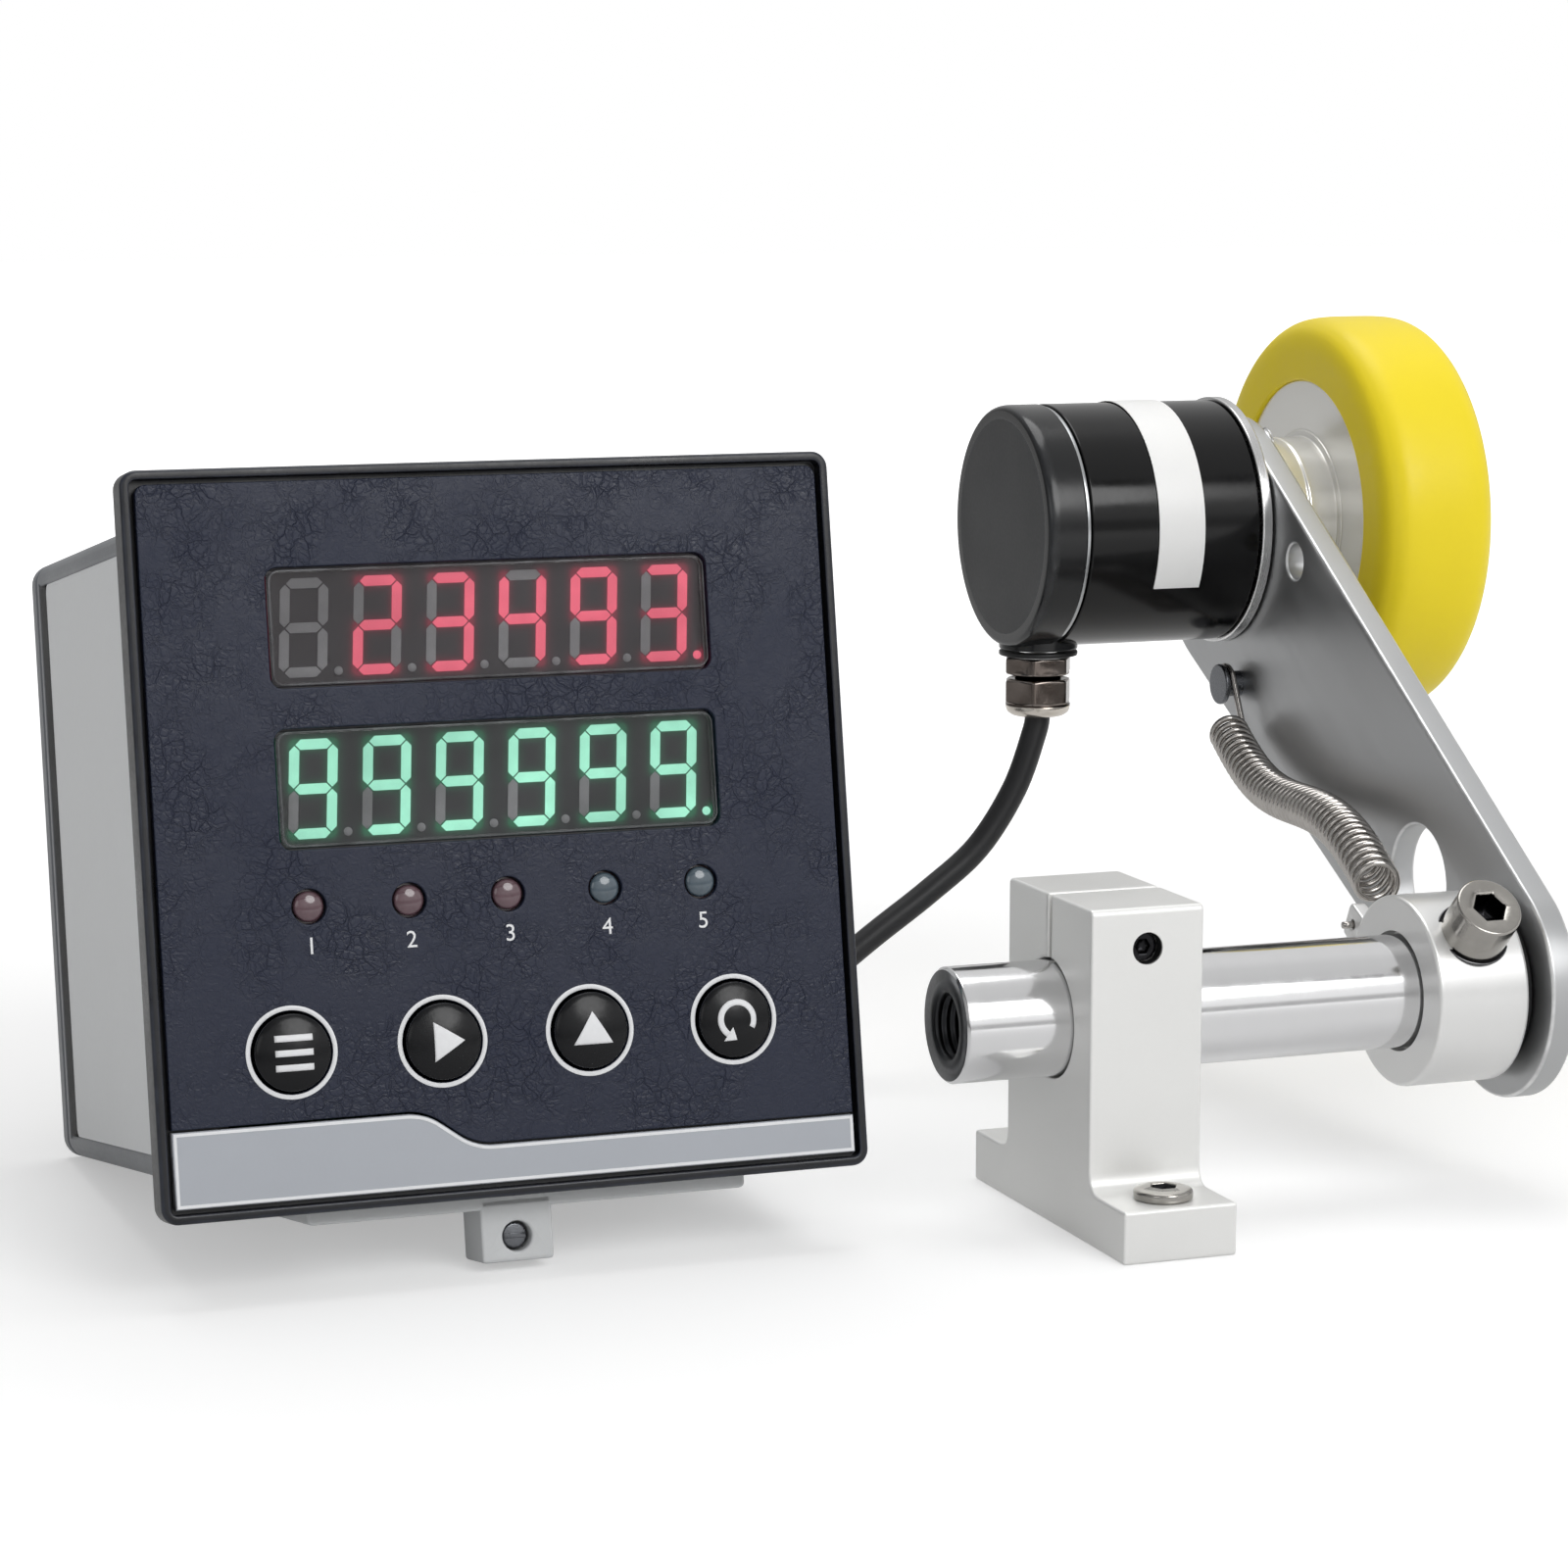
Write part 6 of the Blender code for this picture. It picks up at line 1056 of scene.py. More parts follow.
for word, way in (("front", -1), ("rear", 1)):
    place = Matrix.Translation((BLOCK_X, BLOCK_Y + way * FOOT_SCREW_PITCH / 2, BASE_HEIGHT))
    head = cap_head(0.0040, 0.0017, 0.0019, 0.0010, 0.0021, 0.0066, 0.0004, 0.0004)
    piece("foot_bolt_" + word, [head], screw_bright, STAND, "foot_screw_" + word, place)
    piece("foot_bolt_socket_shade_" + word, [socket_shade_lining(0.0019, 0.0017, 0.0010)], screw_black, STAND, "",
          place)
# A black lining in the clamp hole paints the shade inside it.
lathe("clamp_hole_shade_lining", ((0.00212, -0.0017), (0.00219, -0.0017), (0.00219, -0.0003), (0.00212, -0.0003)), 0.00002,
      washer_black, STAND, "", CLAMP_PLACE, 48, True)
piece("clamp_bolt", [cap_head(0.0020, 0.0006, 0.0011, 0.0008, 0.0015, 0.0060, 0.0002)], screw_black, STAND,
      "block_clamp_screw", shifted(CLAMP_PLACE, z=-0.0022))

# The support shaft. Ground steel, 16 mm thick, with a chamfered and threaded bore in its free end; a journal carries
# the arm at the other end.
SHAFT_NEAR, SHAFT_SHOULDER, SHAFT_FAR, JOURNAL_RADIUS = -0.02345, 0.05885, 0.06495, 0.0040
THREAD_RADIUS, THREAD_PITCH, THREAD_DEPTH, THREAD_CUT, THREAD_MOUTH = 0.0040, 0.00125, 0.0170, 0.0006, 0.0049
CORE, CORE_END, SHAFT_CHAMFER = 0.0062, SHAFT_NEAR + 0.0225, 0.0004
threads = np.arange(0, THREAD_DEPTH, THREAD_PITCH / 8)


def thread_cut(angle, height):
    """Half a triangle wave of the height over the pitch less the turn, times the cut's depth, inside the bore."""
    phase = ((height - SHAFT_NEAR) / THREAD_PITCH - angle / math.tau) % 1.0
    inside = (height > SHAFT_NEAR + 0.0008) & (height < SHAFT_NEAR + THREAD_DEPTH)
    return np.abs(phase * 2 - 1) * THREAD_CUT * inside


ground = finish("shaft_ground_steel", "e2e2e3", 0.12, metallic=1.0, tone=0.01, patches=0.03, scale=30.0,
                stretch=(14, 1, 1), grain=500.0, relief=0.000001)
sawn = finish("shaft_end_dark", "3c3d3f", 0.38, metallic=1.0, tone=0.06, patches=0.10, scale=120.0, grain=1600.0,
              relief=0.000008, wear_and_sheen="9a9b9d", wear_and_sheen_share=0.5)
lathe("carrying_shaft", ((0.0, SHAFT_FAR), (JOURNAL_RADIUS, SHAFT_FAR), (JOURNAL_RADIUS, SHAFT_SHOULDER),
                         (SHAFT_RADIUS, SHAFT_SHOULDER), (SHAFT_RADIUS, SHAFT_NEAR + SHAFT_CHAMFER),
                         (SHAFT_RADIUS - SHAFT_CHAMFER, SHAFT_NEAR + 0.00002), (CORE, SHAFT_NEAR + 0.0004),
                         (CORE, CORE_END), (0.0, CORE_END)), 0.0001, ground, STAND, "support_shaft",
      ALONG_SHAFT)
end_rows = np.vstack([
    [(0.0, CORE_END - 0.0002, 0), (CORE - 0.0002, CORE_END - 0.0002, 0), (CORE - 0.0002, SHAFT_NEAR + 0.0006, 0),
     (SHAFT_RADIUS - SHAFT_CHAMFER, SHAFT_NEAR + 0.00001, 1), (THREAD_MOUTH, SHAFT_NEAR, 0)],
    np.stack([threads * 0 + THREAD_RADIUS, SHAFT_NEAR + 0.0009 + threads, threads * 0], axis=1),
    [(THREAD_RADIUS, SHAFT_NEAR + THREAD_DEPTH + 0.0010, 0), (0.0, SHAFT_NEAR + THREAD_DEPTH + 0.0030, 0)],
])
piece("shaft_threaded_end", [turned(end_rows, 96, ripple=thread_cut)], sawn, STAND, "", ALONG_SHAFT)

# The spring collar. Turned aluminium, clamped on the shaft by a nickel socket screw that stands out of it towards
# the front, with an ear for the spring's lower end. A black washer keeps it off the arm.
COLLAR_NEAR, COLLAR_FAR, COLLAR_RADIUS, COLLAR_TILT = 0.04485, 0.05885, 0.0135, math.radians(135)
EAR_RADIUS, EAR_ANGLE, EAR_WIDTH = 0.0158, math.radians(26), 0.0054
EAR_THICKNESS, EAR_ROOT, EAR_HOLE = 0.0028, 0.0105, 0.00075
WASHER_NEAR, WASHER_FAR, WASHER_RADIUS, WASHER_BORE = 0.05915, 0.06055, 0.01125, 0.0043
collar_bore, step_bore, step_end = SHAFT_RADIUS + 0.0001, SHAFT_RADIUS + 0.0005, COLLAR_NEAR + 0.0020
collar_profile = eased(((collar_bore, COLLAR_FAR), (COLLAR_RADIUS, COLLAR_FAR), (COLLAR_RADIUS, COLLAR_NEAR),
                        (step_bore, COLLAR_NEAR), (step_bore, step_end), (collar_bore, step_end)),
                       (0.0002, 0.0006, 0.0006, 0.0001, 0.0001, 0.0001), closed=True)
ear_tip, ear_half = EAR_RADIUS + 0.0020, EAR_WIDTH / 2
ear = eased(((EAR_ROOT, -ear_half), (ear_tip, -ear_half), (ear_tip, ear_half), (EAR_ROOT, ear_half)), 0.0011,
            closed=True)[:, :2]
ear_skin = moved(plate([ear, circle_loop(EAR_HOLE, (EAR_RADIUS, 0.0), 24)], COLLAR_NEAR + 0.0006,
                       COLLAR_NEAR + EAR_THICKNESS, 0.0003), Matrix.Rotation(EAR_ANGLE, 4, "Z"))
satin = finish("collar_turned_aluminium", "ebebea", 0.30, metallic=0.55, tone=0.012, patches=0.05, scale=30.0,
               grain=3200.0, relief=0.000001, wear_and_sheen="f6f6f5")
piece("clamp_collar", [turned(collar_profile, 128, ring=True), ear_skin], satin, STAND, "spring_collar",
      ALONG_SHAFT)
collar_place = set_at((BLOCK_X + (COLLAR_NEAR + COLLAR_FAR) / 2, BLOCK_Y, SHAFT_HEIGHT), (1, 0, 0),
                      (0.0, math.cos(COLLAR_TILT), math.sin(COLLAR_TILT)))
bolt_place = shifted(collar_place, z=COLLAR_RADIUS - 0.0003)
piece("collar_bolt", [cap_head(0.0047, 0.0066, 0.0025, 0.0030, 0.0022, 0.0045, 0.0004)], screw_bright, STAND,
      "collar_screw", bolt_place)
# A black lining in the collar bolt's socket paints the shade inside it.
piece("collar_bolt_socket_shade", [socket_shade_lining(0.0025, 0.0066, 0.0030)], screw_black, STAND, "", bolt_place)
# A black disc round the collar bolt's foot paints the shade under its head.
lathe("collar_bolt_foot_shade", ((0.0, 0.0), (0.0052, 0.0), (0.0052, 0.0004), (0.0, 0.0004)), 0.0002, screw_black, STAND, "",
      shifted(collar_place, z=COLLAR_RADIUS - 0.0006), 48)
lathe("arm_washer", ((WASHER_BORE, WASHER_FAR), (WASHER_RADIUS, WASHER_FAR), (WASHER_RADIUS, WASHER_NEAR),
                     (WASHER_BORE, WASHER_NEAR)), 0.0002, washer_black, STAND, "pivot_washer", ALONG_SHAFT,
      96, True)

# The arm. A 4 mm satin aluminium plate with a small round end on the journal and a large one at the encoder, and a
# large and a small hole between them. A black-headed post near the large end holds the spring.
ARM_LENGTH, ARM_ANGLE, ARM_NEAR, ARM_FAR = 0.1079, math.radians(32.67), 0.06085, 0.06485
ARM = set_at((BLOCK_X, BLOCK_Y, SHAFT_HEIGHT), (0, math.cos(ARM_ANGLE), math.sin(ARM_ANGLE)), (1, 0, 0))
PIVOT_END, HEAD_END, HEAD_S, HEAD_N = 0.0163, 0.0210, 0.1060, -0.0042
POST_S, POST_N, POST_RADIUS, POST_HEAD, POST_NEAR = 0.0878, -0.0174, 0.0020, 0.0032, ARM_NEAR - 0.0036
FLANGE_BOLTS, FLANGE_BOLT_CIRCLE, FLANGE_BOLT_HOLE = 3, 0.0142, 0.0025
# Each hole's radius, its place along the arm and above it, and its steps: journal, large, small, encoder spigot.
ARM_HOLES = ((0.0041, (0, 0), 48), (0.00825, (0.0254, -0.0034), 72), (0.00275, (0.0835, 0.0105), 40),
             (0.0101, (ARM_LENGTH, 0.0), 72))
run, slope = math.hypot(HEAD_S, HEAD_N), math.atan2(HEAD_N, HEAD_S)
spread = math.acos((PIVOT_END - HEAD_END) / run)
arm_loop = np.vstack([
    arc_loop(PIVOT_END, np.linspace(slope + spread, slope - spread + math.tau, 64)),
    arc_loop(HEAD_END, np.linspace(slope - spread, slope + spread, 64), (HEAD_S, HEAD_N)),
])
screw_turns = math.pi / 2 + np.arange(FLANGE_BOLTS) * math.tau / FLANGE_BOLTS
bolt_places = arc_loop(FLANGE_BOLT_CIRCLE, screw_turns, (ARM_LENGTH, 0.0))
arm_holes = [circle_loop(*hole) for hole in ARM_HOLES]
arm_holes += [circle_loop(FLANGE_BOLT_HOLE, middle, 32) for middle in bolt_places]
brushed = finish("arm_satin_aluminium", "b9babb", 0.38, metallic=0.95, tone=0.01, patches=0.05, scale=26.0,
                 stretch=(1, 1, 22), turn=-ARM_ANGLE, grain=900.0, relief=0.000002, wear_and_sheen="ffffff", wear_and_sheen_share=0.9)
piece("swing_arm", [plate([arm_loop] + arm_holes, ARM_NEAR, ARM_FAR, 0.0005)], brushed, "arm", "arm_plate", ARM)
lathe("hook_post", ((0.0, ARM_FAR - 0.0002), (POST_RADIUS, ARM_FAR - 0.0002), (POST_RADIUS, POST_NEAR + 0.0010),
                    (POST_RADIUS * 0.8, POST_NEAR + 0.0009), (POST_HEAD, POST_NEAR + 0.0008), (POST_HEAD, POST_NEAR),
                    (0.0, POST_NEAR)), 0.0003, steel, "arm", "spring_post", shifted(ARM, POST_S, POST_N), 48)
piece("pivot_bolt", [cap_head(0.0060, 0.0030, 0.0025, 0.0020, 0.0019, 0.0090, 0.0005)], screw_black, STAND,
      "pivot_screw", shifted(ALONG_SHAFT, z=ARM_FAR + 0.0003))
countersunk = [(0.0, -0.0085, 0), (0.00125, -0.0085, 0), (0.00125, -0.0014, 0), (0.0023, -0.0003, 0.5),
               (0.0012, -0.0003, 0), (0.0011, -0.0004, 0), (0.0011, -0.0012, 0), (0.0, -0.0012, 0)]
for number, (s, n) in enumerate(bolt_places):
    piece("flange_bolt_" + str(number + 1), [turned(countersunk, 48, sixfold=[0, 0, 0, 0, 1, 1, 1, 1])], steel, "arm",
          "flange_screw_" + str(number + 1), shifted(ARM, s, n, ARM_FAR))

# The tension spring. Dark hard-drawn wire wound tight: its lower end comes out through the collar's ear, its upper
# end is a hook round the post. It pulls the wheel on to the work.
WIRE, SPRING_DIAMETER, CURL_PITCH, CURL_STEPS = 0.0010, 0.0072, 0.00150, 28
SPRING_BEND, SPRING_TAPER, HOOK_CLEAR, HOOK_TURN = 0.0026, 0.12, 0.0003, math.radians(215)
post_y = BLOCK_Y + POST_S * math.cos(ARM_ANGLE) - POST_N * math.sin(ARM_ANGLE)
post_z = SHAFT_HEIGHT + POST_S * math.sin(ARM_ANGLE) + POST_N * math.cos(ARM_ANGLE)
SPRING_LOW = np.array((BLOCK_X + 0.05185, BLOCK_Y + 0.0184, SHAFT_HEIGHT + 0.0115))
SPRING_HIGH = np.array((BLOCK_X + ARM_NEAR - 0.0049, post_y - 0.0063, post_z - 0.0064))
ear_hole = np.array((BLOCK_X + COLLAR_NEAR, BLOCK_Y + EAR_RADIUS * math.cos(EAR_ANGLE),
                     SHAFT_HEIGHT + EAR_RADIUS * math.sin(EAR_ANGLE)))


def spring_line():
    """An axis that sags in an S, a sine of one turn of the share, with a circle carried up it, a pitch a turn; before
    it the wire's tail from the ear, after it the hook, a circle of the post's radius and half the wire about the
    post."""
    axis = SPRING_HIGH - SPRING_LOW
    length = np.linalg.norm(axis)
    axis = axis / length
    side = np.array((1.0, 0, 0)) - axis * axis[0]
    side /= np.linalg.norm(side)
    up = np.cross(side, axis)
    turns = math.floor(length / CURL_PITCH) + 0.25
    share = np.linspace(0, 1, round(turns * CURL_STEPS) + 1)[:, None]
    angle = math.tau * turns * share - math.pi / 2
    radius = (SPRING_DIAMETER - WIRE) / 2 * (1 - SPRING_TAPER * share)
    middle = SPRING_LOW + (SPRING_HIGH - SPRING_LOW) * share + up * SPRING_BEND * np.sin(math.tau * share)
    curls = middle + radius * (side * np.cos(angle) + up * np.sin(angle))
    hook_radius = POST_RADIUS + WIRE / 2 + HOOK_CLEAR
    post_middle = np.array((curls[-1][0], post_y, post_z))
    toward = post_middle - curls[-1]
    start = math.atan2(toward[2], toward[1]) + math.asin(hook_radius / math.hypot(*toward[1:])) + math.pi / 2
    bend = start - np.linspace(0, HOOK_TURN, 30)
    hook = post_middle + hook_radius * np.stack([bend * 0, np.cos(bend), np.sin(bend)], axis=1)
    straight = curls[-1] + (hook[0] - curls[-1]) * np.array((0.2, 0.5, 0.8))[:, None]
    tail = ear_hole + np.array(((-0.0009, 0, 0), (0.0, 0, 0), (0.0031, 0, 0)))
    lead_in = smooth_line([tail[-1], tail[-1] + (0.0012, 0.0005, 0.0), curls[0]], 6)[:-1]
    path = np.vstack([tail[:-1], lead_in, curls, straight, hook])
    change = len(tail) - 1 + len(lead_in) + len(curls) - 6
    turn = np.clip((np.arange(len(path)) - change) / 5, 0, 1)[:, None] * math.pi / 2
    return path, np.cos(turn) * axis + np.sin(turn) * np.array((1.0, 0, 0))


spring_path, spring_across = spring_line()
wire_dark = finish("spring_dark_wire", "b8b4b0", 0.16, metallic=1.0, tone=0.10, patches=0.10, scale=300.0,
                   relief=0.000004)
spring = piece("arm_spring", [tube_along(spring_path, WIRE / 2, 10, spring_across)], wire_dark, None,
               "tension_spring", weighted=False)
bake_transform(spring)

# The encoder. A black turned housing, 38 mm across: a cap whose flat end is satin and painted a lighter grey as the
# sheen it reflects, and whose rim is glossy, a thin bright joint ring, the glossy body with a blank white band round
# it, and a light flange against the arm.
WHEEL_Y, WHEEL_Z = BLOCK_Y + ARM_LENGTH * math.cos(ARM_ANGLE), SHAFT_HEIGHT + ARM_LENGTH * math.sin(ARM_ANGLE)
AXLE = set_at((BLOCK_X, WHEEL_Y, WHEEL_Z), (0, 1, 0), (1, 0, 0))
HOUSING_NEAR, HOUSING_FAR, HOUSING_RADIUS, RIM_EASE, SEAM = 0.02305, 0.05855, 0.0190, 0.0019, 0.0062
BAND_NEAR, BAND_WIDTH, BAND_LOW, BAND_HIGH, BAND_EASE = HOUSING_NEAR + 0.0182, 0.0078, 0.00005, 0.0003, 0.00006
FLANGE_NEAR, FLANGE_END, FLANGE_DISC, FLANGE_PILOT = 0.05885, 0.06055, 0.0195, 0.0170
SPIGOT, SPIGOT_BORE = 0.0100, 0.0068
GLAND = set_at((BLOCK_X + HOUSING_NEAR + 0.0064, WHEEL_Y, WHEEL_Z - HOUSING_RADIUS - 0.0004), (1, 0, 0), (0, 0, 1))
cap_end, joint_radius = HOUSING_NEAR + SEAM, HOUSING_RADIUS - 0.00025
cap_core, end_radius = HOUSING_RADIUS - 0.0016, HOUSING_RADIUS - RIM_EASE * 1.05
cap_black = finish("encoder_cap_black", "121315", 0.20, patches=0.06, scale=40.0, grain=1600.0, relief=0.000004,
                   wear_and_sheen="3c3e41", wear_and_sheen_share=0.5, Specular_IOR_Level=0.45)
end_painted_sheen = finish("encoder_end_satin_painted_sheen", "2d2e30", 0.50, tone=0.04, scale=30.0, grain=1800.0, relief=0.000008)
seam_bright = finish("encoder_joint_ring", "b4b6b8", 0.22, metallic=1.0, tone=0.03, scale=100.0, grain=1800.0,
                     relief=0.000003)
body_black = finish("encoder_body_gloss", "050506", 0.15, patches=0.05, scale=50.0, grain=1400.0, relief=0.000002,
                    Specular_IOR_Level=0.34)
paper_white = finish("band_white_film", "fdfdfc", 0.36, tone=0.015, patches=0.05, grain=2200.0, relief=0.000004)
flange_satin = finish("flange_turned_aluminium", "cfcfcf", 0.26, metallic=1.0, tone=0.02, stretch=(8, 1, 1),
                      grain=900.0, relief=0.000004, wear_and_sheen="ffffff")
lathe("encoder_cap", ((0.0, cap_end - 0.0004), (cap_core, cap_end - 0.0004), (cap_core, cap_end),
                      (HOUSING_RADIUS, cap_end), (HOUSING_RADIUS, HOUSING_NEAR),
                      (HOUSING_RADIUS - RIM_EASE * 1.1, HOUSING_NEAR), (0.0, HOUSING_NEAR + 0.00006)),
      (0.0, 0.0001, 0.0001, 0.0002, RIM_EASE, 0.0002, 0.0), cap_black, "arm", "encoder_housing", AXLE, 128,
      arc_steps=9)
# The flat end is the cap's black plastic, painted grey for the sheen it reflects.
lathe("encoder_end", ((0.0, HOUSING_NEAR + 0.0003), (end_radius, HOUSING_NEAR + 0.0003), (end_radius, HOUSING_NEAR),
                      (0.0, HOUSING_NEAR)), 0.0002, end_painted_sheen, "arm", "", AXLE, 128)
lathe("encoder_joint", ((HOUSING_RADIUS - 0.0015, cap_end + 0.00015), (HOUSING_RADIUS - 0.0015, cap_end + 0.0007),
                        (joint_radius, cap_end + 0.0007), (joint_radius, cap_end + 0.00015)), 0.0001, seam_bright,
      "arm", "", AXLE, 128, True)
lathe("encoder_body", ((HOUSING_RADIUS - 0.0020, cap_end + 0.0009), (HOUSING_RADIUS, cap_end + 0.0009),
                       (HOUSING_RADIUS, HOUSING_FAR), (HOUSING_RADIUS - 0.0020, HOUSING_FAR)), 0.0003, body_black,
      "arm", "", AXLE, 160, True)
lathe("gland_seat", ((0.0, 0.0), (0.0062, 0.0), (0.0062, 0.0030), (0.0, 0.0034)), (0.0, 0.0003, 0.0003, 0.0),
      cap_black, "arm", "", GLAND)


def band_skin():
    """An arc about the axle; at each angle a closed strip section of the band's width and thickness."""
    angle = np.linspace(math.radians(-27), math.radians(207), 96)[:, None]
    lift, way = np.array(((BAND_LOW, 0.0), (BAND_HIGH, BAND_EASE), (BAND_HIGH, BAND_WIDTH - BAND_EASE),
                          (BAND_LOW, BAND_WIDTH))).T
    radius = HOUSING_RADIUS + lift[None]
    grid = np.stack([-radius * np.cos(angle), radius * np.sin(angle), BAND_NEAR + way[None] + angle * 0], axis=2)
    ends = [np.broadcast_to(row.mean(axis=0), (1, 4, 3)) for row in (grid[0], grid[-1])]
    return sheet_of(np.concatenate([ends[0], grid, ends[1]]), close_columns=True)


piece("encoder_band", [band_skin()], paper_white, "arm", "encoder_label", AXLE)
lathe("encoder_flange_disc", ((SPIGOT_BORE, ARM_FAR), (SPIGOT, ARM_FAR), (SPIGOT, FLANGE_END),
                              (FLANGE_DISC, FLANGE_END), (FLANGE_DISC, FLANGE_NEAR), (FLANGE_PILOT, FLANGE_NEAR),
                              (FLANGE_PILOT, FLANGE_NEAR - 0.0100), (SPIGOT_BORE, FLANGE_NEAR - 0.0100)), 0.0003,
      flange_satin, "arm", "encoder_flange", AXLE, 128, True)

# The cord gland. Dark nickel-plated brass: a hexagon body on a black sealing washer, and below it a hexagon nut with a
# domed mouth that grips the cord; the mouth is the same nickel, painted pale as its highlight.
HEX, MOUTH, BORE, NECK = 0.0055, 0.0035, 0.0021, 0.0036
nickel = finish("gland_dark_nickel", "5a504a", 0.14, metallic=1.0, tone=0.06, scale=200.0, grain=2000.0,
                relief=0.000006, wear_and_sheen="e0d8d2")
mouth_painted_highlight = finish("gland_mouth_painted_highlight", "d9d2c9", 0.22, metallic=0.9, tone=0.03, scale=200.0, grain=2000.0,
                      relief=0.000003)


def hexagon_rows(top, bottom, ease):
    """A hexagon's side between two chamfers whose far edges are round, from its top down."""
    return np.array(((HEX - ease * 1.6, top, 0.0), (HEX - ease * 0.4, top - ease * 0.35, 0.6),
                     (HEX, top - ease, 0.2), (HEX, bottom + ease, 0.2),
                     (HEX - ease * 0.4, bottom + ease * 0.35, 0.6), (HEX - ease * 1.6, bottom, 0.0)))


hexagon_share = (0, 0, 0.5, 1, 1, 0.5, 0)
dome = np.linspace(0, math.pi / 2, 7)
dome_rows = np.stack([MOUTH + 0.0016 * np.cos(dome), -0.0087 - 0.0018 * np.sin(dome), dome * 0.2], axis=1)
upper = np.vstack([(BORE, -0.0013, 0), hexagon_rows(-0.0013, -0.0040, 0.0004),
                   [(NECK, -0.0040, 0), (NECK, -0.0068, 0), (BORE, -0.0068, 0)]])
nut = np.vstack([(NECK + 0.0001, -0.0047, 0), hexagon_rows(-0.0047, -0.0087, 0.0005), dome_rows,
                 [(BORE + 0.0005, -0.0105, 0), (BORE, -0.0100, 0), (BORE, -0.0071, 0), (NECK + 0.0001, -0.0071, 0)]])
for name, rows, node in (("gland_upper", upper, "gland_body"), ("gland_cap_nut", nut, "gland_nut")):
    share = hexagon_share + (0,) * (len(rows) - len(hexagon_share))
    piece(name, [turned(rows, 96, ring=True, sixfold=share)], nickel, "arm", node, GLAND)
# The mouth is the nut's own nickel, painted pale for its highlight.
lathe("gland_mouth", ((MOUTH + 0.0005, -0.0086), (MOUTH + 0.00168, -0.0088), (MOUTH + 0.0014, -0.0100),
                      (MOUTH + 0.0004, -0.01062), (BORE + 0.0004, -0.01062), (BORE + 0.0004, -0.0103)),
      (0.0001, 0.0004, 0.0005, 0.0004, 0.0001, 0.0001), mouth_painted_highlight, "arm", "", GLAND, 96, True)
lathe("gland_seal", ((0.0039, -0.0003), (0.0062, -0.0003), (0.0062, -0.0010), (0.0039, -0.0010)), 0.0002, washer_black,
      "arm", "gland_washer", GLAND, 64, True)

# The measuring wheel. A polished aluminium hub with a long boss and a grub screw on the encoder's spindle, and a
# yellow polyurethane tyre, 63.7 mm across and 19 mm wide, with rounded shoulders.
WHEEL_NEAR, WHEEL_FAR, WHEEL_RADIUS, TYRE_BORE, TYRE_EASE = 0.07485, 0.09385, 0.03185, 0.0218, 0.0030
SPINDLE, SPINDLE_NEAR, SPINDLE_FAR = 0.0030, 0.04055, 0.08635
BOSS_RADIUS, BOSS_NEAR, FACE_SINK, FACE_STEP = 0.0128, 0.06565, 0.0006, 0.0012
web_near, web_far, hub_bore = WHEEL_NEAR + FACE_SINK, WHEEL_FAR - FACE_SINK, SPINDLE + 0.0001
turned_radius, boss_foot = BOSS_RADIUS - 0.0002, BOSS_RADIUS + 0.0010
polished = finish("hub_polished_aluminium", "f6f5f1", 0.20, metallic=0.55, tone=0.01, patches=0.04, scale=30.0,
                  grain=3200.0, relief=0.000001, wear_and_sheen="ffffff", wear_and_sheen_share=0.6)
yellow = finish("tyre_yellow_rubber", "ffe622", 0.42, tone=0.02, patches=0.12, scale=45.0, relief=0.000016,
                Specular_IOR_Level=0.4)
lathe("polished_hub", ((hub_bore, web_far), (0.0100, web_far), (0.0106, web_far - FACE_STEP),
                       (0.0190, web_far - FACE_STEP), (0.0196, web_far), (TYRE_BORE, web_far), (TYRE_BORE, web_near),
                       (boss_foot, web_near), (boss_foot, web_near - 0.0003), (BOSS_RADIUS, web_near - 0.0003),
                       (BOSS_RADIUS, BOSS_NEAR + 0.0050), (turned_radius, BOSS_NEAR + 0.0048),
                       (turned_radius, BOSS_NEAR + 0.0008), (BOSS_RADIUS - 0.0010, BOSS_NEAR), (hub_bore, BOSS_NEAR)),
      0.0003, polished, "wheel", "wheel_hub", AXLE, 160, True)
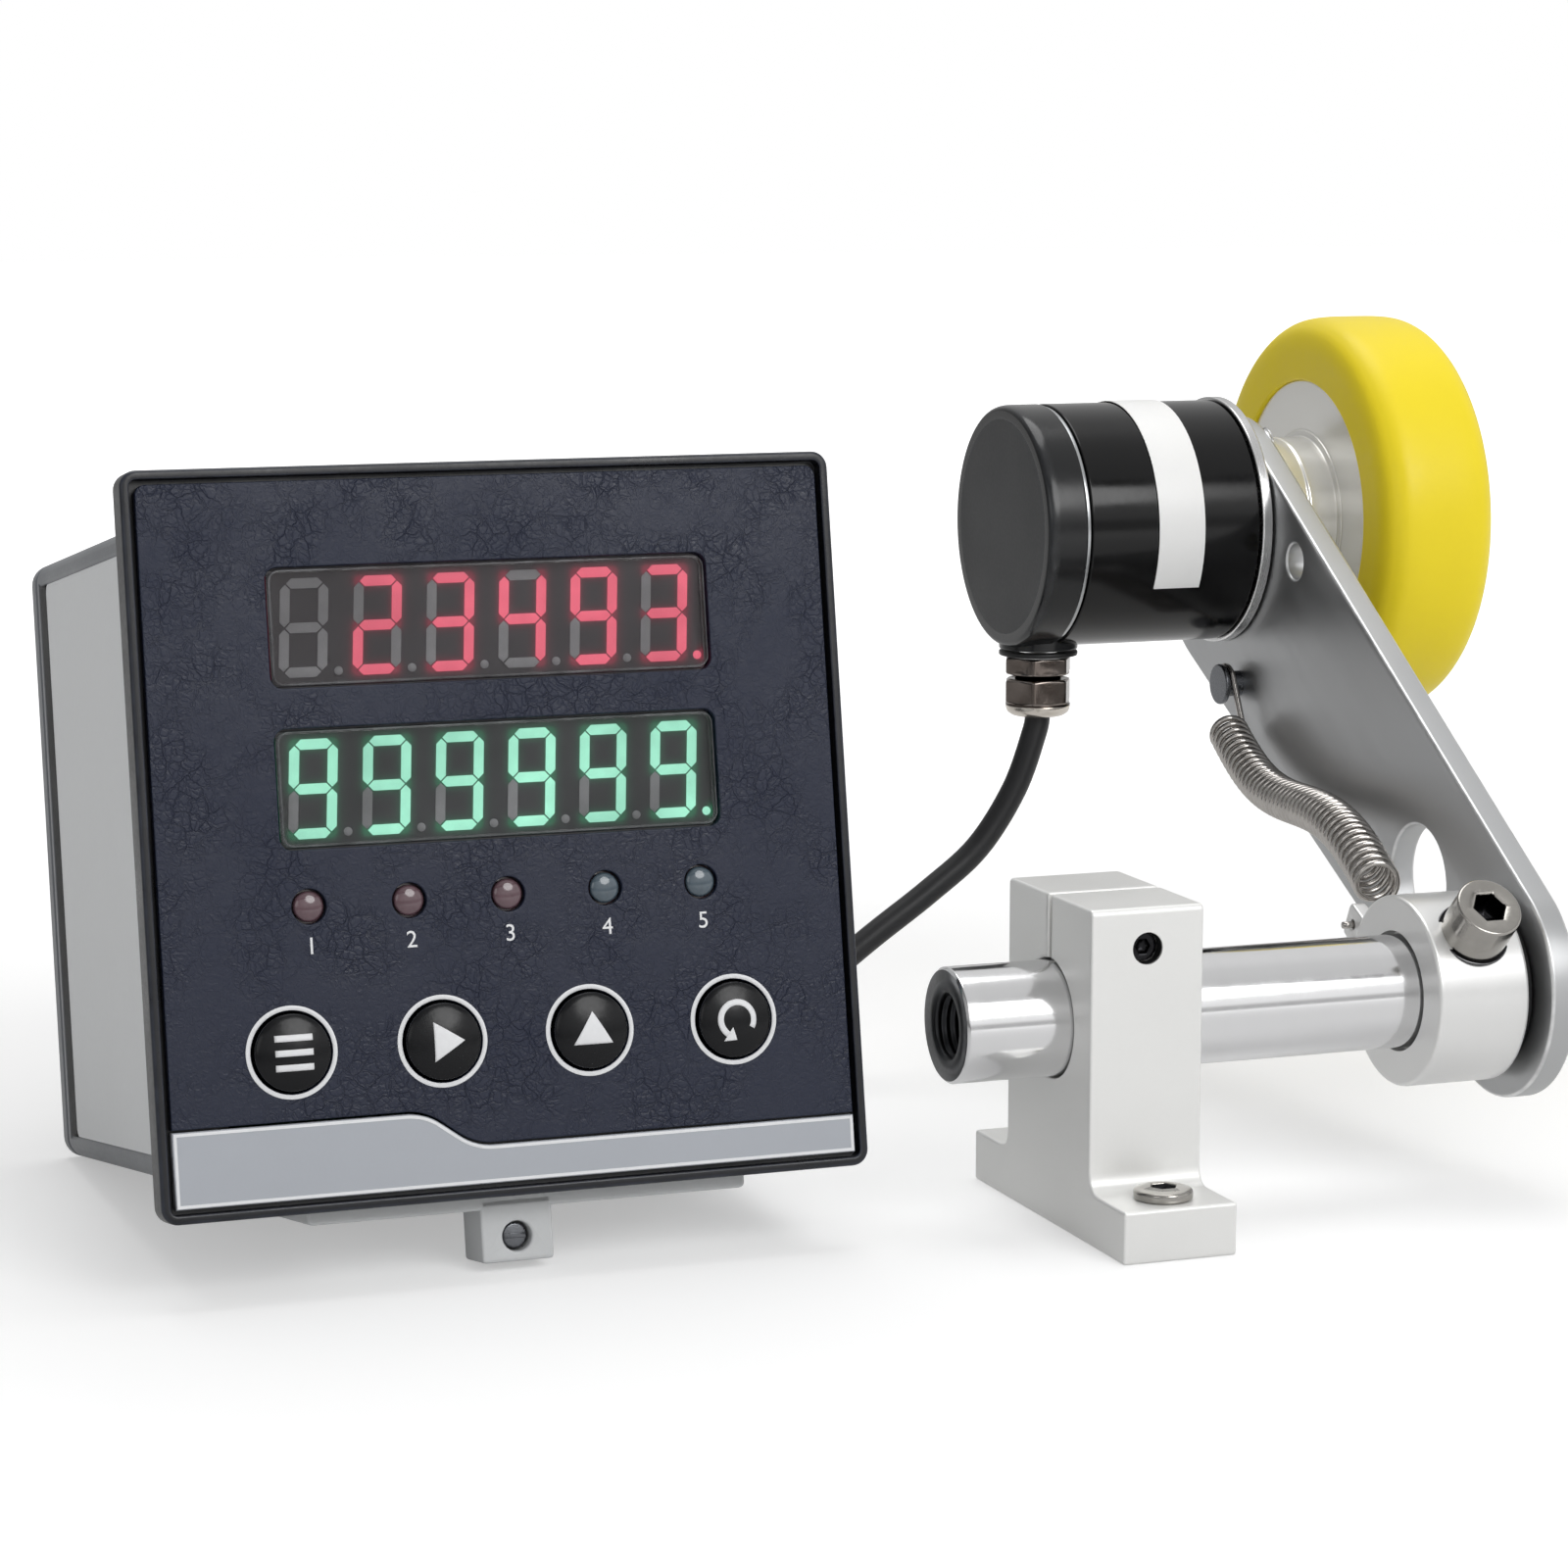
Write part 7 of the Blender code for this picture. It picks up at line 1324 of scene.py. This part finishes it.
piece("hub_grub_screw", [cap_head(0.0020, 0.0004, 0.0011, 0.0010, 0.0020, 0.0060, 0.0002)], screw_black, "wheel",
      "hub_screw",
      set_at((BLOCK_X + BOSS_NEAR + 0.0030, WHEEL_Y + BOSS_RADIUS - 0.0004, WHEEL_Z), (1, 0, 0), (0, 1, 0)))
lathe("spindle", ((0.0, SPINDLE_FAR), (SPINDLE, SPINDLE_FAR), (SPINDLE, SPINDLE_NEAR), (0.0, SPINDLE_NEAR)), 0.0005,
      ground, "wheel", "encoder_shaft", AXLE, 64)
tyre_far = ((TYRE_BORE, 0.0), (WHEEL_RADIUS - 0.0028, 0.0), (WHEEL_RADIUS - 0.0005, 0.0023), (WHEEL_RADIUS, 0.0051))
tyre = [(radius, WHEEL_FAR - way_in) for radius, way_in in tyre_far]
tyre += [(radius, WHEEL_NEAR + way_in) for radius, way_in in tyre_far[::-1]]
lathe("yellow_tyre", tyre, (0.0004, *[TYRE_EASE] * 6, 0.0004), yellow, "wheel", "wheel_tyre", AXLE, 192, True,
      7)

# What the closed shells hide. The boards, transformer, relays, bearings and code disc keep their solids and only get
# their finish: green laminate, iron, blue moulding, steel.
laminate = finish("laminate_green", "2f6b45", 0.42, tone=0.10, patches=0.10, scale=120.0, grain=1800.0)
iron = finish("transformer_iron", "5a5c60", 0.50, metallic=0.6, tone=0.08, scale=200.0, stretch=(1, 1, 12), grain=900.0,
              relief=0.00003)
blue = finish("relay_blue_moulding", "2a4f9c", 0.35, tone=0.04, grain=1400.0)
race = finish("bearing_steel", "b0b2b5", 0.20, metallic=1.0, tone=0.04, scale=200.0, grain=1800.0, relief=0.000004)
dial = finish("code_disc_steel", "9aa0a6", 0.16, metallic=1.0, tone=0.04, scale=300.0, grain=2600.0, relief=0.000002)
for look, names in ((laminate, "display_board main_board encoder_board"), (iron, "power_transformer"),
                    (blue, "relay_1 relay_2"), (race, "bearing_front bearing_rear"), (dial, "code_disc")):
    for name in names.split():
        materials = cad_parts[name].data.materials
        materials.clear()
        materials.append(look)
